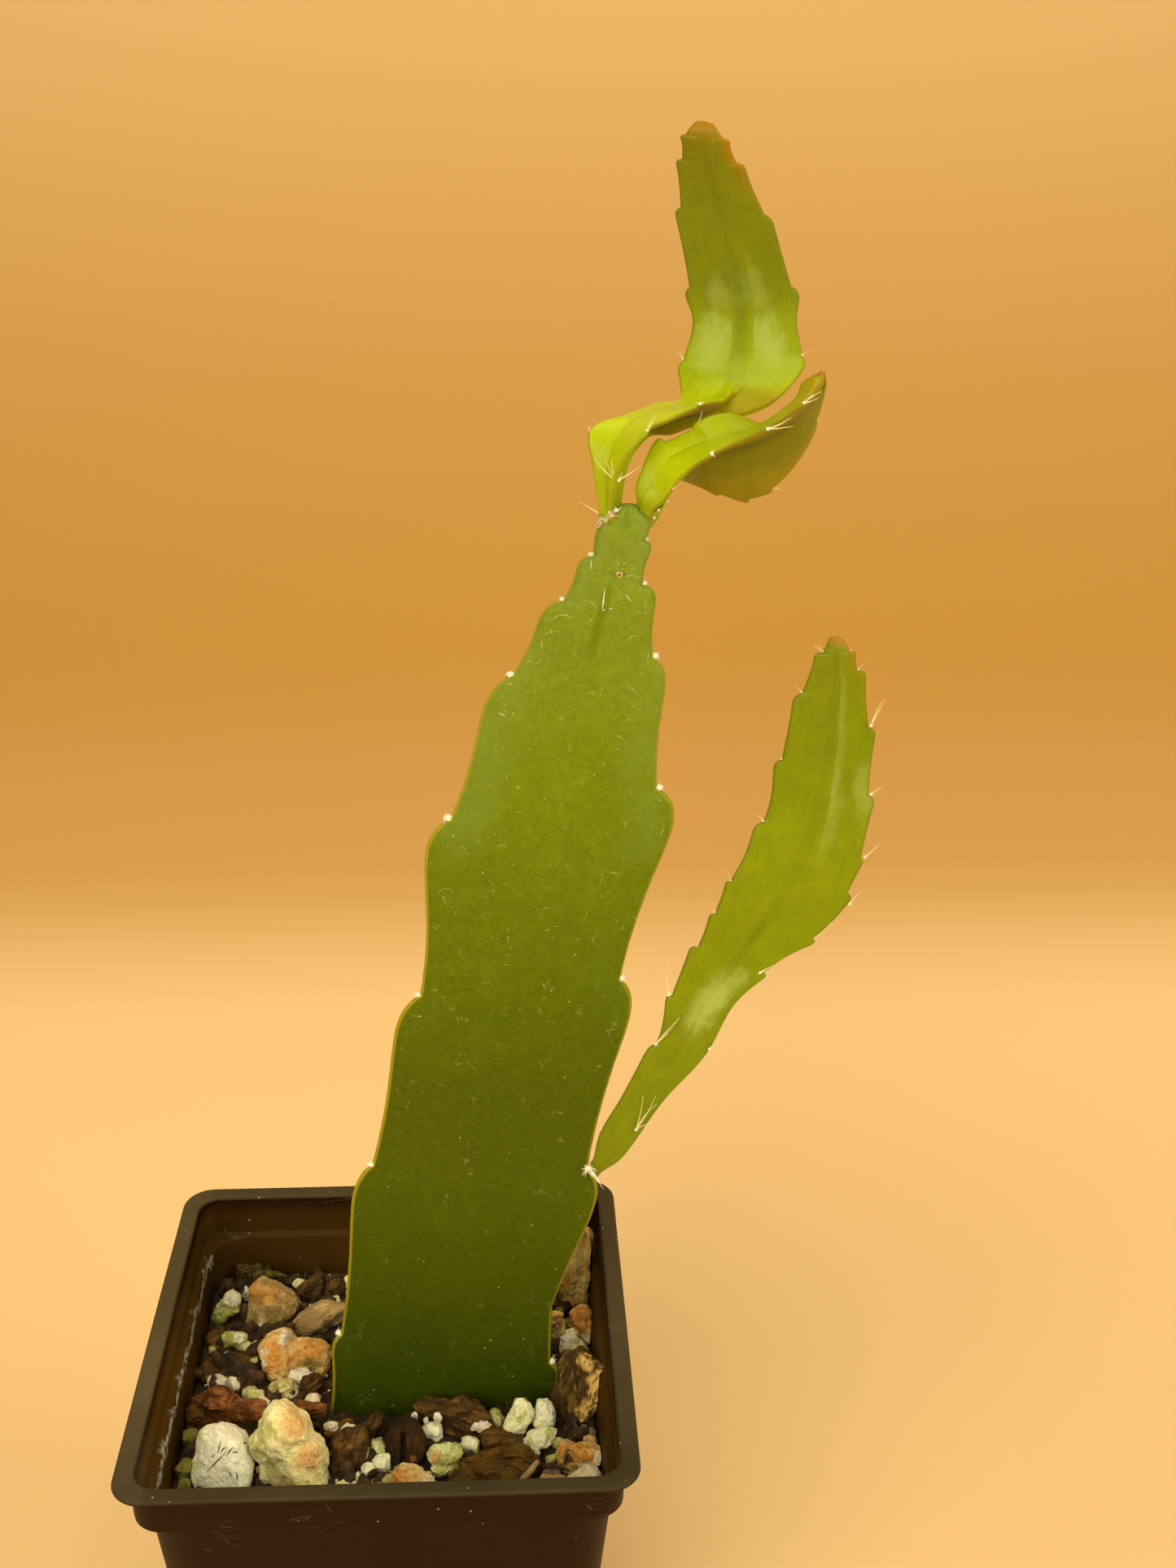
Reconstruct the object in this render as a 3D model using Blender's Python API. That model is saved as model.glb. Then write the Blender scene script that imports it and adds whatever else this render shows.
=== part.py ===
"""A young orchid cactus rooted in a small square nursery pot.

One old flat stem stands in gritty potting mix and leans to +X. A side branch grows from its right margin, and
two young crown shoots grow from its top. All sizes are millimetres and are turned into metres when a mesh is
made. The origin is the centre of the pot's underside, +Z is up and the broad face of the old stem faces -Y.
"""

import math
import random

import bmesh
import bpy
from mathutils import Euler, Matrix, Vector, noise

MILLIMETRE = 0.001
CLEARANCE = 0.35  # gap between pieces that touch

# Pot
POT_HEIGHT = 89.0
RIM_HALF = 44.45  # half the width over the rim flange
RIM_RADIUS = 6.0
FLANGE_WIDTH = 3.25
FLANGE_THICK = 1.1
WALL = 1.1
COLLAR_HALF = 41.6
COLLAR_RADIUS = 5.2
COLLAR_FOOT = 79.5  # height at which the collar steps in to the tapered body
BODY_TOP_HALF = 40.4
BODY_TOP_RADIUS = 9.5
BODY_FOOT_HALF = 32.5
BODY_FOOT_RADIUS = 8.0
FOOT_CHAMFER = 0.9
FLOOR_THICK = 1.6
DRAIN_HOLE_RADIUS = 4.2
DRAIN_HOLE_OUT = 19.5  # from the axis to a hole's centre, along X and along Y
CORNER_STEPS = 6

# Potting mix
SOIL_LEVEL = 71.5
SOIL_ROUGHNESS = 1.5
SOIL_RINGS = 8
SOIL_CORNER_STEPS = 4
GRIT_GRAINS = 30
GRIT_SEED = 12

# Old stem
STEM_FOOT = 50.0  # height of the buried end
STEM_TOP = 244.4
STEM_PLANE = -3.0  # Y of the broad blade's middle
STEM_CORE = 2.4  # half thickness along the midrib
STEM_EDGE = 0.85  # half thickness near the margin

# Young stems
YOUNG_CORE = 1.25
YOUNG_EDGE = 0.45
BRISTLE_RADIUS = 0.2

# Margins of the old stem: (x, z, swell) of each woolly notch from the soil up, where the swell is how far the
# lobe below that notch stands out from the straight line to the notch before it.
LEFT_NOTCHES = [
    (-9.0, 89.1, 1.2),
    (-1.5, 126.1, 2.3),
    (7.8, 160.1, 2.4),
    (13.9, 193.0, 2.9),
    (24.4, 217.8, 2.2),
    (32.6, 230.2, 1.8),
    (37.2, 237.4, 1.3),
]
RIGHT_NOTCHES = [
    (30.0, 81.2, 1.4),
    (36.8, 124.2, 3.0),
    (42.3, 162.6, 2.7),
    (48.1, 197.9, 3.6),
    (47.0, 220.7, 1.8),
    (45.1, 232.7, 1.6),
    (45.3, 239.8, 1.1),
]
# The same margins below the first notch, at the waist of the lowest right lobe and above the last notch.
LEFT_FOOT = [(3.0, STEM_FOOT), (-6.0, 56.0), (-12.0, 70.0)]
RIGHT_FOOT = [(16.0, STEM_FOOT), (25.0, 56.0), (30.2, 70.0)]
RIGHT_WAIST = (29.9, 94.0)
LEFT_CROWN = [(37.7, 242.8), (39.4, STEM_TOP)]
RIGHT_CROWN = [(45.7, 242.4), (43.8, STEM_TOP)]

# Young stems: a row of stations, each with the points (x, y, z) of the axis and of every wing's margin. Wings
# are listed in the order in which they follow each other round the axis.
SIDE_BRANCH = [
    ((38.5, -3.0, 124.6), (39.5, -3.0, 122.9), (37.7, -3.0, 126.2)),
    ((41.5, -3.0, 129.3), (43.8, -3.0, 126.7), (39.1, -3.0, 132.3)),
    ((46.9, -2.0, 139.0), (50.6, -3.0, 137.7), (43.4, -3.0, 139.8)),
    ((52.3, -1.0, 147.8), (58.0, -2.0, 146.5), (48.8, -2.0, 149.6)),
    ((56.8, 0.0, 155.8), (62.8, -1.0, 156.5), (51.8, -1.0, 159.7)),
    ((63.3, 1.5, 164.5), (70.3, 0.5, 163.3), (56.5, 0.5, 168.6)),
    ((69.1, 3.0, 173.1), (78.8, 2.0, 169.3), (61.1, 2.0, 178.3)),
    ((73.8, 4.5, 181.9), (83.7, 3.0, 179.7), (64.7, 3.5, 184.1)),
    ((76.6, 6.0, 191.1), (84.9, 4.0, 191.1), (68.1, 5.5, 191.9)),
    ((77.8, 7.0, 201.9), (84.8, 6.0, 202.9), (70.3, 6.5, 202.5)),
    ((78.4, 7.5, 211.2), (83.1, 7.0, 212.1), (72.8, 7.5, 210.6)),
    ((78.3, 7.5, 217.3), (80.9, 7.5, 217.2), (75.9, 7.5, 217.4)),
    ((78.2, 7.5, 220.0), (79.4, 7.5, 219.4), (77.1, 7.5, 219.5)),
]
SIDE_BRANCH_AREOLES = [
    [3.1, 4.7, 5.68, 6.6, 7.17, 8.15, 9.15, 10.35, 11.1],
    [1.0, 2.93, 3.83, 4.8, 5.4, 6.0, 7.55, 8.65, 9.95, 11.0],
]
SIDE_BRANCH_FACE_AREOLE = 1.75  # station of the bristly bud on the front of the midrib

CROWN_SHOOT_LEFT = [
    ((39.8, -3.0, 245.2), (41.7, -2.6, 245.0), (37.9, -3.0, 245.1), (40.0, -5.0, 245.2)),
    ((40.0, -2.5, 251.0), (43.0, -1.0, 251.2), (36.9, -2.0, 251.2), (41.1, -7.0, 252.3)),
    ((42.3, 1.0, 255.6), (46.2, 3.0, 254.4), (36.6, 0.0, 256.3), (45.2, -5.5, 257.2)),
    ((45.9, 4.0, 257.0), (49.8, 5.0, 254.5), (42.2, 6.0, 257.1), (48.6, -3.5, 258.5)),
    ((51.2, 7.0, 257.6), (54.2, 7.0, 255.8), (47.7, 11.0, 257.9), (53.9, 0.0, 260.0)),
    ((56.7, 10.0, 257.8), (61.7, 8.0, 256.8), (52.1, 15.0, 257.8), (58.1, 4.0, 260.0)),
    ((60.2, 12.5, 259.6), (66.9, 9.0, 259.2), (52.5, 16.0, 260.6), (60.8, 9.0, 260.8)),
    ((61.2, 13.5, 264.2), (70.9, 11.0, 264.6), (52.3, 16.0, 264.1), (61.2, 11.5, 264.9)),
    ((61.4, 14.0, 269.9), (69.9, 12.0, 270.8), (53.9, 15.5, 270.3), (61.2, 12.4, 270.1)),
    ((60.8, 14.0, 275.9), (69.1, 12.5, 276.1), (52.8, 15.0, 276.0), (60.7, 12.6, 276.0)),
    ((57.7, 13.0, 287.3), (64.6, 12.0, 286.4), (51.1, 13.5, 287.4), (57.5, 11.7, 287.3)),
    ((55.5, 11.5, 293.9), (59.9, 11.0, 294.2), (50.9, 11.5, 294.5), (55.5, 10.3, 294.0)),
    ((53.8, 10.0, 298.8), (56.2, 10.0, 298.5), (52.0, 10.0, 298.8), (53.8, 9.0, 298.8)),
    ((53.6, 10.0, 300.5), (54.6, 10.0, 300.1), (52.8, 10.0, 300.2), (53.6, 9.4, 300.4)),
]
CROWN_SHOOT_LEFT_AREOLES = [
    [1.1, 4.6, 7.15, 9.0, 10.05, 11.05, 12.0],
    [1.97, 7.0, 8.95, 10.05, 11.1, 12.0],
    [0.7, 2.03, 3.97],
]

CROWN_SHOOT_RIGHT = [
    ((44.9, -3.0, 244.9), (43.9, -2.6, 245.6), (45.4, -4.4, 244.9), (46.1, -1.9, 244.4)),
    ((46.1, -3.0, 248.1), (43.9, -2.5, 249.0), (48.1, -6.5, 247.8), (47.6, 0.0, 246.5)),
    ((48.3, -3.0, 250.9), (46.1, -1.0, 252.9), (50.4, -7.5, 250.5), (50.3, 1.0, 248.2)),
    ((51.7, -3.0, 253.2), (49.8, -0.5, 254.2), (53.2, -8.5, 253.3), (53.2, 2.0, 247.1)),
    ((55.4, -3.5, 254.6), (53.3, -0.5, 255.9), (57.1, -9.5, 255.6), (56.9, 2.5, 245.6)),
    ((59.1, -4.0, 255.6), (57.7, -1.0, 256.8), (60.5, -10.5, 257.4), (62.0, 3.0, 244.5)),
    ((62.8, -4.0, 256.8), (61.7, -1.0, 257.0), (63.4, -11.0, 259.2), (66.3, 2.5, 246.8)),
    ((66.0, -4.5, 258.9), (65.6, -2.0, 259.6), (66.1, -10.5, 260.9), (69.7, 1.0, 251.8)),
    ((68.8, -5.0, 261.6), (68.4, -2.5, 262.4), (68.7, -9.5, 262.7), (71.8, -1.0, 258.4)),
    ((70.9, -5.5, 264.6), (70.1, -4.4, 264.9), (70.9, -7.0, 264.6), (72.2, -4.4, 263.6)),
    ((71.3, -5.6, 265.8), (70.9, -5.0, 265.9), (71.2, -6.3, 265.7), (71.8, -5.2, 265.4)),
]
CROWN_SHOOT_RIGHT_AREOLES = [
    [1.3, 2.65, 4.05, 6.4],
    [1.3, 3.5, 5.7, 7.7],
    [3.35, 4.1, 5.05, 5.85, 7.9],
]

# Stones: name, centre (x, y, z), half sizes, turn about Z in degrees, colour key
STONES = [
    ("pumice_white_oval", (-29.6, -18.6, 75.0), (6.1, 5.2, 6.9), 10, "white"),
    ("pumice_tan_tall", (-16.6, -18.8, 75.8), (6.8, 5.2, 9.6), -8, "tan"),
    ("pumice_tan_back", (-25.4, 26.0, 73.4), (5.8, 4.6, 4.8), -15, "tan"),
    ("pumice_orange_left", (-20.2, 8.6, 73.8), (6.4, 4.8, 6.2), 12, "orange"),
    ("pumice_green_back", (-34.4, 24.8, 73.4), (2.8, 3.0, 3.7), 30, "green"),
    ("pumice_green_left", (-32.2, 15.0, 72.2), (3.0, 2.1, 1.9), 5, "green"),
    ("pumice_orange_right", (35.7, 17.2, 74.0), (2.7, 3.0, 4.4), 8, "orange"),
    ("pumice_white_right", (34.9, 10.0, 73.4), (3.1, 3.0, 3.3), -20, "tan"),
    ("pumice_orange_front", (3.0, -24.3, 72.8), (4.5, 3.2, 3.4), 6, "orange"),
    ("pumice_green_front", (10.4, -19.6, 73.0), (3.4, 2.2, 2.4), 12, "green"),
    ("pumice_orange_corner", (34.6, -20.3, 73.6), (3.7, 3.0, 3.0), -6, "orange"),
    ("pumice_pale_corner", (34.1, -27.2, 73.2), (3.5, 3.0, 3.6), 12, "white"),
    ("perlite_front_left", (23.9, -11.8, 75.6), (2.5, 2.4, 3.7), 15, "white"),
    ("perlite_front_right", (28.9, -11.4, 75.8), (2.0, 2.0, 3.1), -10, "white"),
    ("perlite_front_low", (27.6, -15.9, 73.6), (2.6, 2.0, 2.4), 25, "white"),
]
STONE_COLOURS = {
    "white": (0.62, 0.6, 0.42),
    "tan": (0.52, 0.4, 0.2),
    "orange": (0.55, 0.3, 0.1),
    "green": (0.36, 0.38, 0.16),
}

# Bark chips: name, centre, half sizes, turn about X, Y and Z in degrees, colour key
BARK = [
    ("bark_red_chip", (-29.6, -5.2, 73.7), (8.3, 1.9, 2.6), (8, 6, -8), "red"),
    ("bark_grey_flat", (-16.0, 21.0, 72.8), (5.6, 2.6, 2.0), (20, -10, 28), "grey"),
    ("bark_square", (-6.2, -16.6, 74.2), (3.8, 1.9, 4.6), (-18, 5, 12), "brown"),
    ("bark_bean", (2.9, -16.0, 74.2), (3.0, 2.4, 4.0), (-10, -6, 0), "brown"),
    ("bark_strip", (11.9, -9.9, 74.6), (6.6, 1.2, 2.4), (-20, 9, 3), "brown"),
    ("bark_front_chip", (20.2, -22.2, 73.2), (6.3, 3.0, 1.9), (12, -4, 10), "brown"),
    ("bark_textured", (35.2, -4.4, 75.4), (2.0, 4.0, 7.0), (14, 8, 10), "grey"),
    ("bark_upright", (34.9, 27.6, 79.6), (2.8, 2.0, 8.8), (-6, -3, 4), "red"),
]
BARK_COLOURS = {
    "red": (0.2, 0.07, 0.03),
    "brown": (0.09, 0.045, 0.02),
    "grey": (0.17, 0.11, 0.06),
}

# Larger grains of perlite and grit that are fused to the mix: (x, y, size)
PLACED_GRAINS = [
    (-33.0, 2.2, 2.1),
    (-28.9, 3.4, 1.8),
    (-27.6, 13.4, 1.9),
    (-22.4, 0.6, 2.3),
    (-16.6, 2.8, 1.8),
    (-36.0, -10.4, 1.6),
    (-36.0, -24.0, 1.9),
    (-3.4, -22.2, 1.8),
    (-8.2, -23.4, 1.8),
    (16.4, -15.6, 1.9),
    (8.4, -13.6, 1.6),
    (20.0, -15.4, 1.5),
    (30.6, -24.0, 1.5),
    (33.8, -13.6, 1.8),
]


def clear_scene():
    for old in list(bpy.data.objects):
        bpy.data.objects.remove(old, do_unlink=True)


def make_material(name, colour, roughness):
    material = bpy.data.materials.new(name)
    material.use_nodes = True
    shader = material.node_tree.nodes["Principled BSDF"]
    shader.inputs["Base Color"].default_value = (*colour, 1.0)
    shader.inputs["Roughness"].default_value = roughness
    shader.inputs["Metallic"].default_value = 0.0
    material.diffuse_color = (*colour, 1.0)
    return material


def make_object(name, shape, material=None):
    """Turn a bmesh in millimetres into an object in metres with its faces pointing out."""
    bmesh.ops.recalc_face_normals(shape, faces=shape.faces)
    bmesh.ops.scale(shape, vec=Vector((MILLIMETRE,) * 3), verts=shape.verts)
    mesh = bpy.data.meshes.new(name)
    shape.to_mesh(mesh)
    shape.free()
    if material:
        mesh.materials.append(material)
    made = bpy.data.objects.new(name, mesh)
    bpy.context.scene.collection.objects.link(made)
    return made


def join_all(target, others, operation):
    """Apply one Boolean between the target and a group of helper shapes, then remove the helpers."""
    if not others:
        return
    helpers = bpy.data.collections.new(target.name + "_helpers")
    bpy.context.scene.collection.children.link(helpers)
    for other in others:
        bpy.context.scene.collection.objects.unlink(other)
        helpers.objects.link(other)
    step = target.modifiers.new(operation.lower(), "BOOLEAN")
    step.operation = operation
    step.operand_type = "COLLECTION"
    step.collection = helpers
    step.solver = "EXACT"
    bpy.context.view_layer.update()
    graph = bpy.context.evaluated_depsgraph_get()
    joined = bpy.data.meshes.new_from_object(target.evaluated_get(graph))
    target.modifiers.remove(step)
    target.data = joined
    for other in others:
        bpy.data.objects.remove(other, do_unlink=True)
    bpy.data.collections.remove(helpers)


def keep_largest_body(made):
    """Drop the loose scraps that cutting leaves behind."""
    shape = bmesh.new()
    shape.from_mesh(made.data)
    unseen = set(shape.verts)
    bodies = []
    while unseen:
        body = {unseen.pop()}
        edge_of_body = list(body)
        while edge_of_body:
            vert = edge_of_body.pop()
            for edge in vert.link_edges:
                neighbour = edge.other_vert(vert)
                if neighbour in unseen:
                    unseen.remove(neighbour)
                    body.add(neighbour)
                    edge_of_body.append(neighbour)
        bodies.append(body)
    bodies.sort(key=len)
    scraps = [vert for body in bodies[:-1] for vert in body]
    bmesh.ops.delete(shape, geom=scraps, context="VERTS")
    shape.to_mesh(made.data)
    shape.free()


def smooth_between(knots, key):
    """A smooth curve through (key, Vector) knots, read at the key."""
    if key <= knots[0][0]:
        return knots[0][1].copy()
    if key >= knots[-1][0]:
        return knots[-1][1].copy()
    i = next(n for n in range(len(knots) - 1) if knots[n + 1][0] > key)

    def slope(n):
        before, after = max(n - 1, 0), min(n + 1, len(knots) - 1)
        return (knots[after][1] - knots[before][1]) / (knots[after][0] - knots[before][0])

    (start, a), (end, b) = knots[i], knots[i + 1]
    span = end - start
    t = (key - start) / span
    return (
        a * (2 * t**3 - 3 * t**2 + 1)
        + slope(i) * span * (t**3 - 2 * t**2 + t)
        + b * (3 * t**2 - 2 * t**3)
        + slope(i + 1) * span * (t**3 - t**2)
    )


def straight_between(knots, key):
    """Straight lines between (key, Vector) knots, read at the key."""
    for (start, a), (end, b) in zip(knots, knots[1:]):
        if key <= end:
            return a.lerp(b, max(0.0, (key - start) / (end - start)))
    return knots[-1][1].copy()


def loft(shape, loops):
    """Skin a row of closed loops of points and cap both ends."""
    rows = [[shape.verts.new(point) for point in loop] for loop in loops]
    count = len(rows[0])
    for lower, upper in zip(rows, rows[1:]):
        for n in range(count):
            m = (n + 1) % count
            shape.faces.new((lower[n], lower[m], upper[m], upper[n]))
    shape.faces.new(rows[0][::-1])
    shape.faces.new(rows[-1])


def rounded_square(half, radius, height, corner_steps=CORNER_STEPS):
    """A square loop with round corners, lying flat at a height."""
    points = []
    for corner in range(4):
        turn = Matrix.Rotation(corner * math.pi / 2, 3, "Z")
        for step in range(corner_steps + 1):
            angle = math.pi / 2 * step / corner_steps
            x = half - radius + radius * math.cos(angle)
            y = half - radius + radius * math.sin(angle)
            points.append(turn @ Vector((x, y, height)))
    return points


def body_half(height):
    """Half the width of the pot's tapered body at a height."""
    return BODY_FOOT_HALF + (BODY_TOP_HALF - BODY_FOOT_HALF) * height / COLLAR_FOOT


def body_radius(height):
    return BODY_FOOT_RADIUS + (BODY_TOP_RADIUS - BODY_FOOT_RADIUS) * height / COLLAR_FOOT


def build_pot(material):
    inner_collar = COLLAR_HALF - WALL
    ledge = COLLAR_FOOT + WALL * 0.6
    flange_inner = RIM_HALF - FLANGE_WIDTH
    flange_foot = POT_HEIGHT - FLANGE_THICK
    wall_profile = [
        (BODY_FOOT_HALF - FOOT_CHAMFER, BODY_FOOT_RADIUS - FOOT_CHAMFER, 0.0),
        (body_half(FOOT_CHAMFER), body_radius(FOOT_CHAMFER), FOOT_CHAMFER),
        (BODY_TOP_HALF, BODY_TOP_RADIUS, COLLAR_FOOT),
        (COLLAR_HALF, COLLAR_RADIUS, COLLAR_FOOT + 0.4),
        (COLLAR_HALF + 0.3, COLLAR_RADIUS, flange_foot - 0.6),
        (RIM_HALF - 0.5, RIM_RADIUS - 0.5, flange_foot),
        (RIM_HALF, RIM_RADIUS, flange_foot + 0.4),
        (RIM_HALF - 0.4, RIM_RADIUS - 0.4, POT_HEIGHT),
        (flange_inner, COLLAR_RADIUS - 0.4, POT_HEIGHT),
        (inner_collar + 0.3, COLLAR_RADIUS - 1.0, POT_HEIGHT - 0.7),
        (inner_collar, COLLAR_RADIUS - WALL, ledge + 0.4),
        (BODY_TOP_HALF - WALL, BODY_TOP_RADIUS - WALL, ledge),
        (body_half(FLOOR_THICK) - WALL, body_radius(FLOOR_THICK) - WALL, FLOOR_THICK),
    ]
    shape = bmesh.new()
    loft(shape, [rounded_square(*ring) for ring in wall_profile])
    pot = make_object("pot", shape, material)
    drains = []
    for sx in (-1, 1):
        for sy in (-1, 1):
            shape = bmesh.new()
            place = Matrix.Translation((sx * DRAIN_HOLE_OUT, sy * DRAIN_HOLE_OUT, 0))
            bmesh.ops.create_cone(
                shape,
                cap_ends=True,
                segments=14,
                radius1=DRAIN_HOLE_RADIUS,
                radius2=DRAIN_HOLE_RADIUS,
                depth=FLOOR_THICK * 4,
                matrix=place,
            )
            drains.append(make_object("drain_hole_cutter", shape))
    join_all(pot, drains, "DIFFERENCE")
    return pot


def lobe(t, sharpness):
    """How far a margin swells between two areoles: it rises slowly and drops just below the upper one."""
    return 2.0 * t * t * (1.0 - t**sharpness)


def margin_swell(key, areoles, swells, sharpness):
    """The swell at a key: one height for each lobe, which lies between an areole and the next one up."""
    for lower, upper, swell in zip(areoles, areoles[1:], swells):
        if lower < key < upper:
            return swell * lobe((key - lower) / (upper - lower), sharpness)
    return 0.0


def ring_keys(first, last, areole_rows, step, fractions, closest):
    """Where the cross-sections go: evenly along the stem, and closer where a margin's teeth need them."""
    keys = {first, last}
    for row in areole_rows:
        for lower, upper in zip(row, row[1:]):
            keys.update(lower + (upper - lower) * fraction for fraction in fractions)
        keys.update(row)
    count = math.ceil((last - first) / step)
    keys.update(first + (last - first) * n / count for n in range(count + 1))
    chosen = []
    for key in sorted(keys):
        if not chosen or key - chosen[-1] > closest:
            chosen.append(key)
    chosen[-1] = last
    return chosen


def cross_section(centre, margins, along, core, edge):
    """A loop round the axis: each wing thins from the core to a round margin, with a valley after each wing."""
    outward = [(margin - centre).normalized() for margin in margins]
    sideways = [along.cross(out).normalized() for out in outward]
    loop = []
    for n, (out, side) in enumerate(zip(outward, sideways)):
        reach = (margins[n] - centre).length
        tip = min(edge, reach * 0.45)
        middle = reach * 0.5
        middle_half = edge + (core - edge) * 0.45
        middle_half = min(middle_half, reach * 0.45)
        loop.append(centre + out * middle - side * middle_half)
        loop.append(centre + out * (reach - tip * 0.7) - side * tip * 0.8)
        loop.append(centre + out * reach)
        loop.append(centre + out * (reach - tip * 0.7) + side * tip * 0.8)
        loop.append(centre + out * middle + side * middle_half)
        after = sideways[(n + 1) % len(sideways)]
        loop.append(centre + (side - after).normalized() * min(core, reach * 0.9))
    return loop


class WingedStem:
    """A stem with two or three wings, known by its axis and its margins as functions of a key."""

    def __init__(self, axis, margins, areoles, swells, sharpness, core, edge, straight=False, inset=0.0):
        self.axis = axis
        self.margins = margins
        self.areoles = areoles
        self.swells = swells
        self.sharpness = sharpness
        self.core = core
        self.edge = edge
        self.straight = straight
        self.inset = inset
        self.first = axis[0][0]
        self.last = axis[-1][0]

    def centre(self, key):
        return smooth_between(self.axis, key)

    def along(self, key):
        small = (self.last - self.first) * 0.004
        return (self.centre(key + small) - self.centre(key - small)).normalized()

    def thickness(self, key):
        """The core and edge half thicknesses, thinner towards both ends."""
        near_end = min(key - self.first, self.last - key) / (self.last - self.first)
        share = min(1.0, 0.55 + near_end * 6.0)
        return self.core * share, self.edge * min(1.0, share + 0.2)

    def margin(self, wing, key):
        read = straight_between if self.straight else smooth_between
        base = read(self.margins[wing], key)
        out = (base - self.centre(key)).normalized()
        swell = margin_swell(key, self.areoles[wing], self.swells[wing], self.sharpness)
        return base + out * (swell - self.inset)

    def outward(self, wing, key):
        return (self.margin(wing, key) - self.centre(key)).normalized()

    def shape(self, keys, grow=0.0):
        """The skin over the cross-sections, grown all round when it serves as a cutter."""
        loops = []
        for key in keys:
            centre = self.centre(key)
            core, edge = self.thickness(key)
            margins = []
            for wing in range(len(self.margins)):
                margins.append(self.margin(wing, key) + self.outward(wing, key) * grow)
            loops.append(cross_section(centre, margins, self.along(key), core + grow * 1.3, edge + grow * 1.3))
        shape = bmesh.new()
        loft(shape, loops)
        return shape


def ellipsoid(centre, radii, turn=(0, 0, 0), subdivisions=1):
    shape = bmesh.new()
    bmesh.ops.create_icosphere(shape, subdivisions=subdivisions, radius=1.0)
    spin = Euler([math.radians(angle) for angle in turn]).to_matrix()
    for vert in shape.verts:
        vert.co = Vector(centre) + spin @ Vector(c * r for c, r in zip(vert.co, radii))
    return shape


def wool_tuft(root, out, size):
    """A low tuft of wool, half sunk in the notch that it fills."""
    shape = bmesh.new()
    bmesh.ops.create_icosphere(shape, subdivisions=1, radius=size)
    frame = out.to_track_quat("Z", "Y").to_matrix()
    for vert in shape.verts:
        vert.co = root + out * size * 0.15 + frame @ Vector((vert.co.x * 0.85, vert.co.y, vert.co.z * 0.8))
    return make_object("wool_tuft", shape)


def bristle(root, direction, length):
    """A three-sided bristle with its root sunk in the stem."""
    shape = bmesh.new()
    sunk = 0.7
    frame = direction.to_track_quat("Z", "Y").to_matrix()
    foot = [
        root + frame @ Vector((BRISTLE_RADIUS * math.cos(a), BRISTLE_RADIUS * math.sin(a), -sunk))
        for a in (0.0, math.tau / 3, math.tau * 2 / 3)
    ]
    verts = [shape.verts.new(point) for point in foot]
    tip = shape.verts.new(root + direction * length)
    for n in range(3):
        shape.faces.new((verts[n], verts[(n + 1) % 3], tip))
    shape.faces.new(verts[::-1])
    return make_object("bristle", shape)


def bristle_fan(draw, root, out, along, count, length):
    """A few bristles that spread from one areole, outward, forward and up along the stem."""
    made = []
    for n in range(count):
        spread = (n - (count - 1) / 2) * 0.55 if count > 1 else 0.0
        lean = along * (0.5 + spread) + out + Vector((draw.uniform(-0.2, 0.2), draw.uniform(-0.9, -0.3), 0.0))
        made.append(bristle(root, lean.normalized(), length * draw.uniform(0.7, 1.15)))
    return made


def margin_knots(points):
    return [(z, Vector((x, STEM_PLANE, z))) for x, z in sorted(points, key=lambda point: point[1])]


def build_main_stem(material):
    left_notches = [(x, z) for x, z, _ in LEFT_NOTCHES]
    right_notches = [(x, z) for x, z, _ in RIGHT_NOTCHES]
    left = margin_knots(LEFT_FOOT + left_notches + LEFT_CROWN)
    right = margin_knots(RIGHT_FOOT + right_notches + [RIGHT_WAIST] + RIGHT_CROWN)
    levels = sorted({z for z, _ in left + right})
    axis = [(z, (smooth_between(left, z) + smooth_between(right, z)) / 2) for z in levels]
    left_areoles = [72.0] + [z for _, z in left_notches]
    right_areoles = [66.0] + [z for _, z in right_notches]
    left_swells = [swell for _, _, swell in LEFT_NOTCHES]
    right_swells = [swell for _, _, swell in RIGHT_NOTCHES]
    stem = WingedStem(
        axis,
        [right, left],
        [right_areoles, left_areoles],
        [right_swells, left_swells],
        8,
        STEM_CORE,
        STEM_EDGE,
        straight=True,
    )
    keys = ring_keys(STEM_FOOT, STEM_TOP, stem.areoles, 16.0, (0.3, 0.55, 0.75, 0.88, 0.96), 0.7)
    main_stem = make_object("main_stem", stem.shape(keys), material)
    tufts = []
    for wing, notches in enumerate((right_notches, left_notches)):
        for n, (_, z) in enumerate(notches):
            if wing == 0 and n == 1:
                continue  # the side branch grows from this notch
            tufts.append(wool_tuft(stem.margin(wing, z), stem.outward(wing, z), 0.95 if n < 5 else 0.7))
    branch_root = stem.margin(0, right_notches[1][1])
    tufts.append(wool_tuft(branch_root + Vector((-0.9, -1.2, -1.6)), Vector((0.5, -0.8, -0.2)).normalized(), 1.1))
    join_all(main_stem, tufts, "UNION")
    buried = [key for key in keys if key < SOIL_LEVEL + 12]
    return main_stem, stem, buried


def young_stem(stations, areoles, swell):
    """A young stem: its stations run along the middle of the teeth, so the teeth start from a small inset."""
    wings = len(stations[0]) - 1
    rows = [[(float(n), Vector(station[k])) for n, station in enumerate(stations)] for k in range(wings + 1)]
    swells = []
    for row in areoles:
        swells.append([swell * min(1.0, upper - lower) for lower, upper in zip(row, row[1:])])
    return WingedStem(rows[0], rows[1:], areoles, swells, 14, YOUNG_CORE, YOUNG_EDGE, inset=swell * 0.4)


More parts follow.
